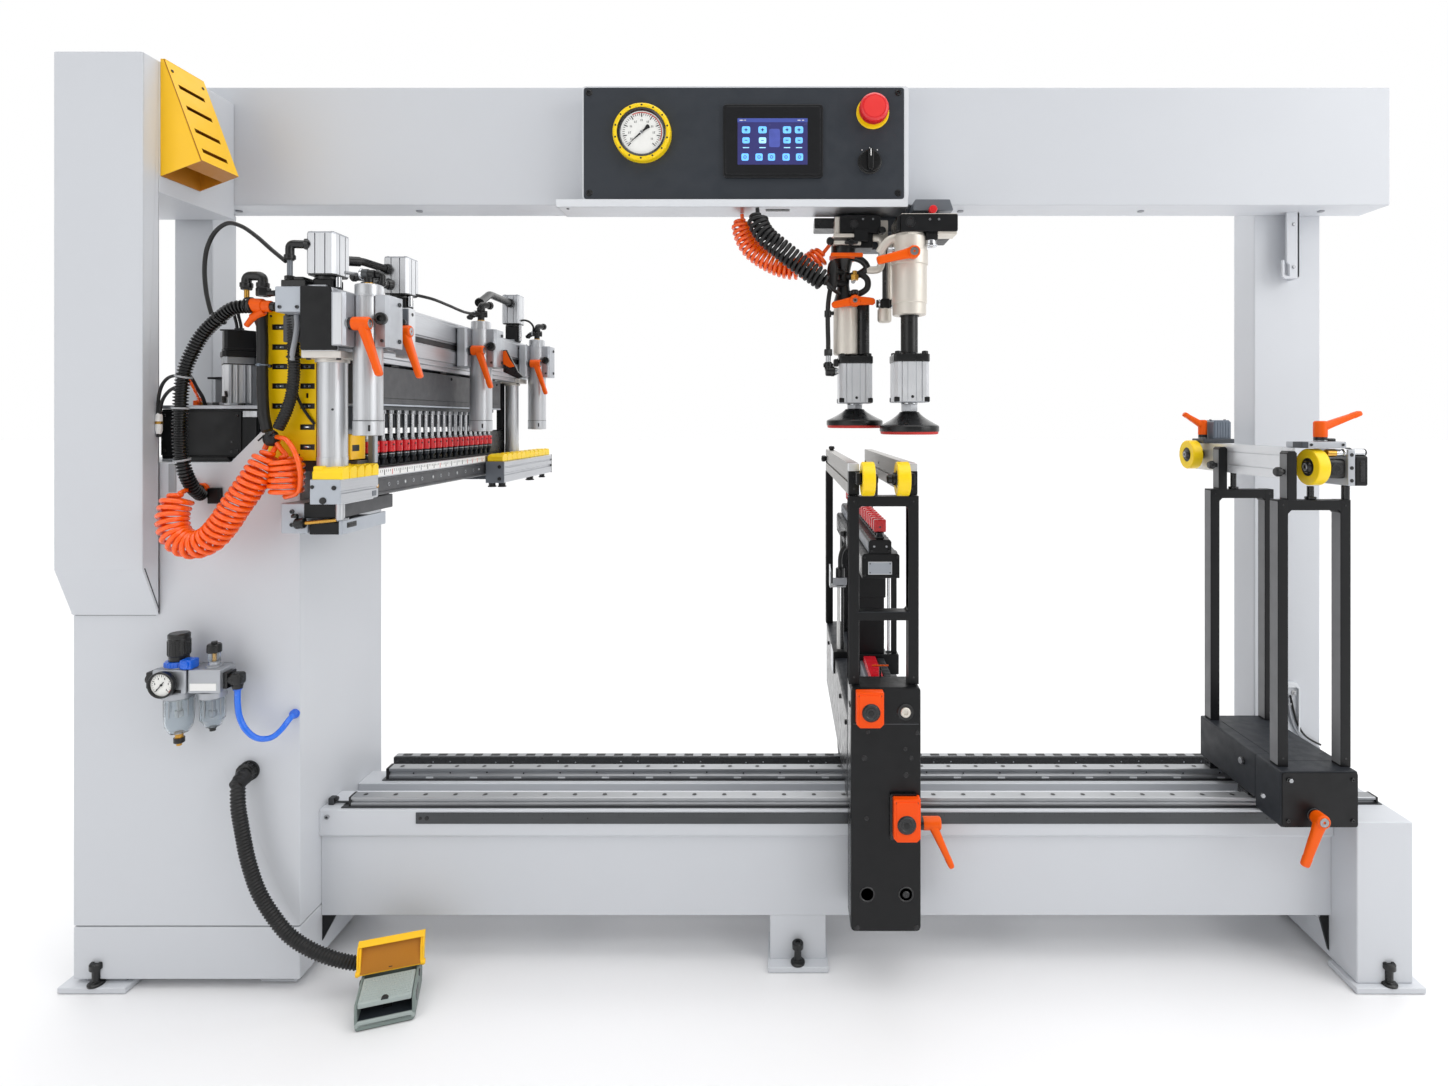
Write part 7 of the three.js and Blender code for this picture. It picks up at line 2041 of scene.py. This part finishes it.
b.pin((FX - 52, FY - 36, 1372), (FX - 22, FY - 12, 1372), 8, "rubber", 2, 20)
b.pin((FX - 52, FY - 36, 1398), (FX - 22, FY - 12, 1396), 7, "plastic", 2, 20)
b.ring((FX - 25, FY - 8, 1424), (0, 0, 1), 22, 30, 10, "orange", 2, 44)
b.box(FX - 54, FX + 14, FY - 42, FY - 34, 1425, 1434, "orange", 2.4)
# black rod at the right of the far unit with its cross connectors
b.pin((222, 172, 1312), (222, 172, 1462), 5, "black_steel", 1)
b.box(213, 232, 160, 186, 1318, 1340, "black", 4, 2)
b.cyl((204, 172, 1330), (1, 0, 0), 8.4, 38, "plastic", 1.6, 26)
for x in (208, 234):
    b.ring((x, 172, 1330), (1, 0, 0), 7, 9.6, 4, "chrome", 0.8, 26)
b.lathe((222, 174, 1290), (0, 0, 1), [(0, 0), (10, 0), (13.4, 1.6), (15, 5), (15, 26), (13, 30), (0, 30)], "champagne", 34)
b.cyl((232, 182, 1320), (0, 0, 1), 8.4, 140, "champagne", 2, 28)
# gold fitting with its loop
x, _, z = Q(854.6, 277.4, 150)
b.hexnut((x, 150, z - 6), (0, 0, 1), 15, 12, "brass")
b.cyl((x, 150, z + 5), (0, 0, 1), 5, 9, "brass", 0.8, 22)
b.pin((x, 150, z - 2), (x, 186, z - 2), 5, "black_steel", 1)
b.done("overhead_carriage")

# the two pressers: cone pads, rods and square cylinders
for side, px, py, z in (("near", NX, NY, 0), ("far", FX, FY, 12)):
    b = B("presser_pad_" + side, "pad_" + side, slot="black")
    b.lathe((px, py, 1054 + z), (0, 0, 1), [(0, 0), (54, 0), (57.4, 0.8), (58.4, 2.4), (58.4, 6), (0, 6)], "red_rubber", 64)
    b.lathe((px, py, 1059.4 + z), (0, 0, 1), [(0, 0), (58, 0), (59.6, 0.6), (60, 1.8), (60, 10), (59.2, 11.8), (57.2, 13.4), (51, 16.6), (43, 21), (35, 26), (27.6, 31.4), (22.4, 36), (20.4, 39), (18.6, 40.4), (0, 40.6)] if not z else
            [(0, 0), (58, 0), (59.6, 0.6), (60, 1.8), (60, 9), (59.2, 10.8), (57.2, 12.2), (51, 15), (43, 19), (35, 23.4), (27.6, 28), (22.4, 32), (20.4, 34.4), (18.6, 35.2), (0, 35.4)], "plastic", 64)
    zn = 1099.6 if not z else 1106
    b.hexnut((px, py, zn), (0, 0, 1), 30, 1118 - zn, "steel")
    b.ring((px, py, 1115), (0, 0, 1), 12, 17, 3.4, "chrome", 0.8, 34)
    top = 1216 if side == "near" else 1218
    low, high = 1120, top - 15
    b.prism("z", slotted(px, py, 34.6, 6, at=(-20, 20), gw=2.2, gd=3.4), low, high, "alu_bright", b=1.2)
    for sx in (-1, 1):
        b.box(px + sx * 8.5 - 0.6, px + sx * 8.5 + 0.6, py - 35, py - 34, low + 2, high - 1, "alu_cast", 0.3)
        for sy in (-1, 1):
            b.box(px + sx * 30 - 5.6, px + sx * 30 + 5.6, py + sy * 30 - 5.6, py + sy * 30 + 5.6, 1119.4, 1130, "plastic", 2)
            b.cyl((px + sx * 27, py + sy * 27, top - 1), (0, 0, 1), 6.4, 7, "plastic", 1.6, 22)
            b.cyl((px + sx * 27, py + sy * 27, top + 5.4), (0, 0, 1), 3.4, 1, "ink", 0.3, 14)
    b.prism("z", [(px - 36, py - 36), (px + 36, py - 36), (px + 36, py + 36), (px - 36, py + 36)], high - 1, top, "plastic", b=2, rc=6)
    b.prism("z", [(px - 34.8, py - 34.8), (px + 34.8, py - 34.8), (px + 34.8, py + 34.8), (px - 34.8, py + 34.8)], 1118.6, 1121, "alu_cast", b=0.8, rc=6)
    b.cyl((px + 1, py - 34.4, 1130), (0, -1, 0), 3, 1.0, "ink", 0.3, 16)
    b.lathe((px, py, top - 1), (0, 0, 1), [(0, 0), (22, 0), (22, 3), (19, 5), (12, 6), (0, 6)], "black_steel", 40)
    if side == "near":
        b.lathe((px, py, top + 1), (0, 0, 1), [(0, 0), (17, 0), (17.4, 2), (17.4, 132), (15, 134), (0, 134)], "plastic", 40)
    else:
        b.cyl((px, py, top), (0, 0, 1), 11.6, 1300 - top - 1, "chrome", 1, 34)
        b.cyl((px - 36, py - 22, 1186), (-1, 0, 0), 6.4, 9, "chrome", 1.2, 24)
        b.ring((px - 40, py - 22, 1186), (-1, 0, 0), 6, 8.4, 4, "steel", 0.8, 24)
        elbow(b, (px - 44, py - 22, 1186), (px - 58, py - 22, 1186), (px - 58, py - 22, 1204), 8.4)
        b.pin((px - 64, py - 22, 1186), (px - 50, py - 22, 1186), 10, "plastic", 3, 24)
        b.cyl((px - 58, py - 22, 1203), (0, 0, 1), 5.4, 18, "alu", 0.8, 22)
        b.hexnut((px - 58, py - 22, 1219), (0, 0, 1), 17, 14, "plastic")
        b.box(px - 47, px - 36, py - 32, py - 12, 1196, 1212, "plastic", 3)
    b.done("overhead_pad_" + side)
b = B("pad_hose_coupling", slot="black")
hose("pad_hose", [(110, 150, 1384), (107, 152, 1366), (104, 154, 1350), (101.4, 156, 1330), (100.6, 160, 1310), (100.8, 164, 1290), (101.4, 167, 1270), (102, 168, 1250), (102, 168, 1234)], 5.0, "rubber", "hose_black", n=70, cross=("machine", "pad_far", (104, 154, 1350), (102, 168, 1240)))
b.ring((100.8, 161.4, 1300), (0, 0, 1), 5.2, 7.4, 14, "plastic", 1.2, 26)
b.box(107, 114, 156, 164, 1304, 1312, "plastic", 2)
b.done()

handle("pad_clamp_lever_near", "pad_lever_near", (NX, 73.7, 1415), (0, -1, 0), (191, 55, 1397), 12.4, 26, "overhead_lever_near", w=(19, 15), th=(12, 9), at=0.62)
b = B("pad_clamp_lever_far", "pad_lever_far", slot="orange")
hub = np.array([156, 158.0, 1332])
b.cyl(hub, (0, -1, 0), 11.5, 3, "steel", 0.5, 26)
b.lathe(hub + [0, -2.6, 0], (0, -1, 0), [(0, 0), (11, 0), (12, 1.6), (12, 17), (11, 19.4), (8.6, 21), (7.4, 20.4), (7.2, 19.4), (0, 19.4)], "orange", 30)
b.socket(hub + [0, -20.6, 0], (0, -1, 0), 5, 3, "steel", "ink")
loft(b, [(156, 146, 1332), (146, 144, 1330), (128, 142, 1326), (112, 142, 1323), (108, 142, 1322)], [(22, 13), (18, 12), (15.5, 10.5), (14.5, 9.5), (7, 5)], (0, 0, 1), "orange", 20)
loft(b, [(156, 146, 1332), (168, 144, 1332), (184, 142, 1331), (194, 142, 1330), (198, 142, 1330)], [(22, 13), (18, 12), (16, 10.5), (15, 10), (8, 5)], (0, 0, 1), "orange", 20)
b.lathe((156, 146, 1341), (0, 0, 1), [(0, 0), (6, 0), (6, 3), (9, 5), (9, 11), (6.5, 14), (0, 14.6)], "plastic", 24)
b.done("overhead_lever_far")

# ------------------------------------------------------------------ small bracket with two cables low on the right post
b = B("post_cable_bracket", slot="paint_grey")
b.prism("y", [(1151, 376), (1178, 376), (1178, 476), (1171, 488), (1151, 488)], 287.6, 291, "paint", b=0.8, rc=2)
b.prism("y", [(1151, 477), (1171, 477), (1178, 470), (1178, 476), (1171, 488), (1151, 488)], 281, 288, "border", b=0.8)
b.box(1175, 1178.4, 281, 288, 376, 472, "border", 0.8)
b.cyl((1168, 287.8, 463), (0, -1, 0), 5.4, 3.4, "white", 1.2, 24)
b.hexnut((1168, 284.6, 463), (0, -1, 0), 7, 2.4, "steel")
b.box(1151, 1160, 282, 288, 436, 441, "tie", 0.8)
b.done()
hose("post_cable_1", [(1154, 284.4, 452), (1156.5, 284.4, 420), (1165.5, 284.4, 390), (1181, 284.4, 365), (1202, 284.4, 349), (1224, 284.4, 338)], 2.4, "grey_cable", "hose_black", n=60)
hose("post_cable_2", [(1158, 284.2, 458), (1166, 284.2, 422), (1175, 284.2, 392), (1190.5, 284.2, 368), (1210, 284.2, 354), (1227, 284.2, 346)], 2.2, "rubber", "hose_black", n=60)
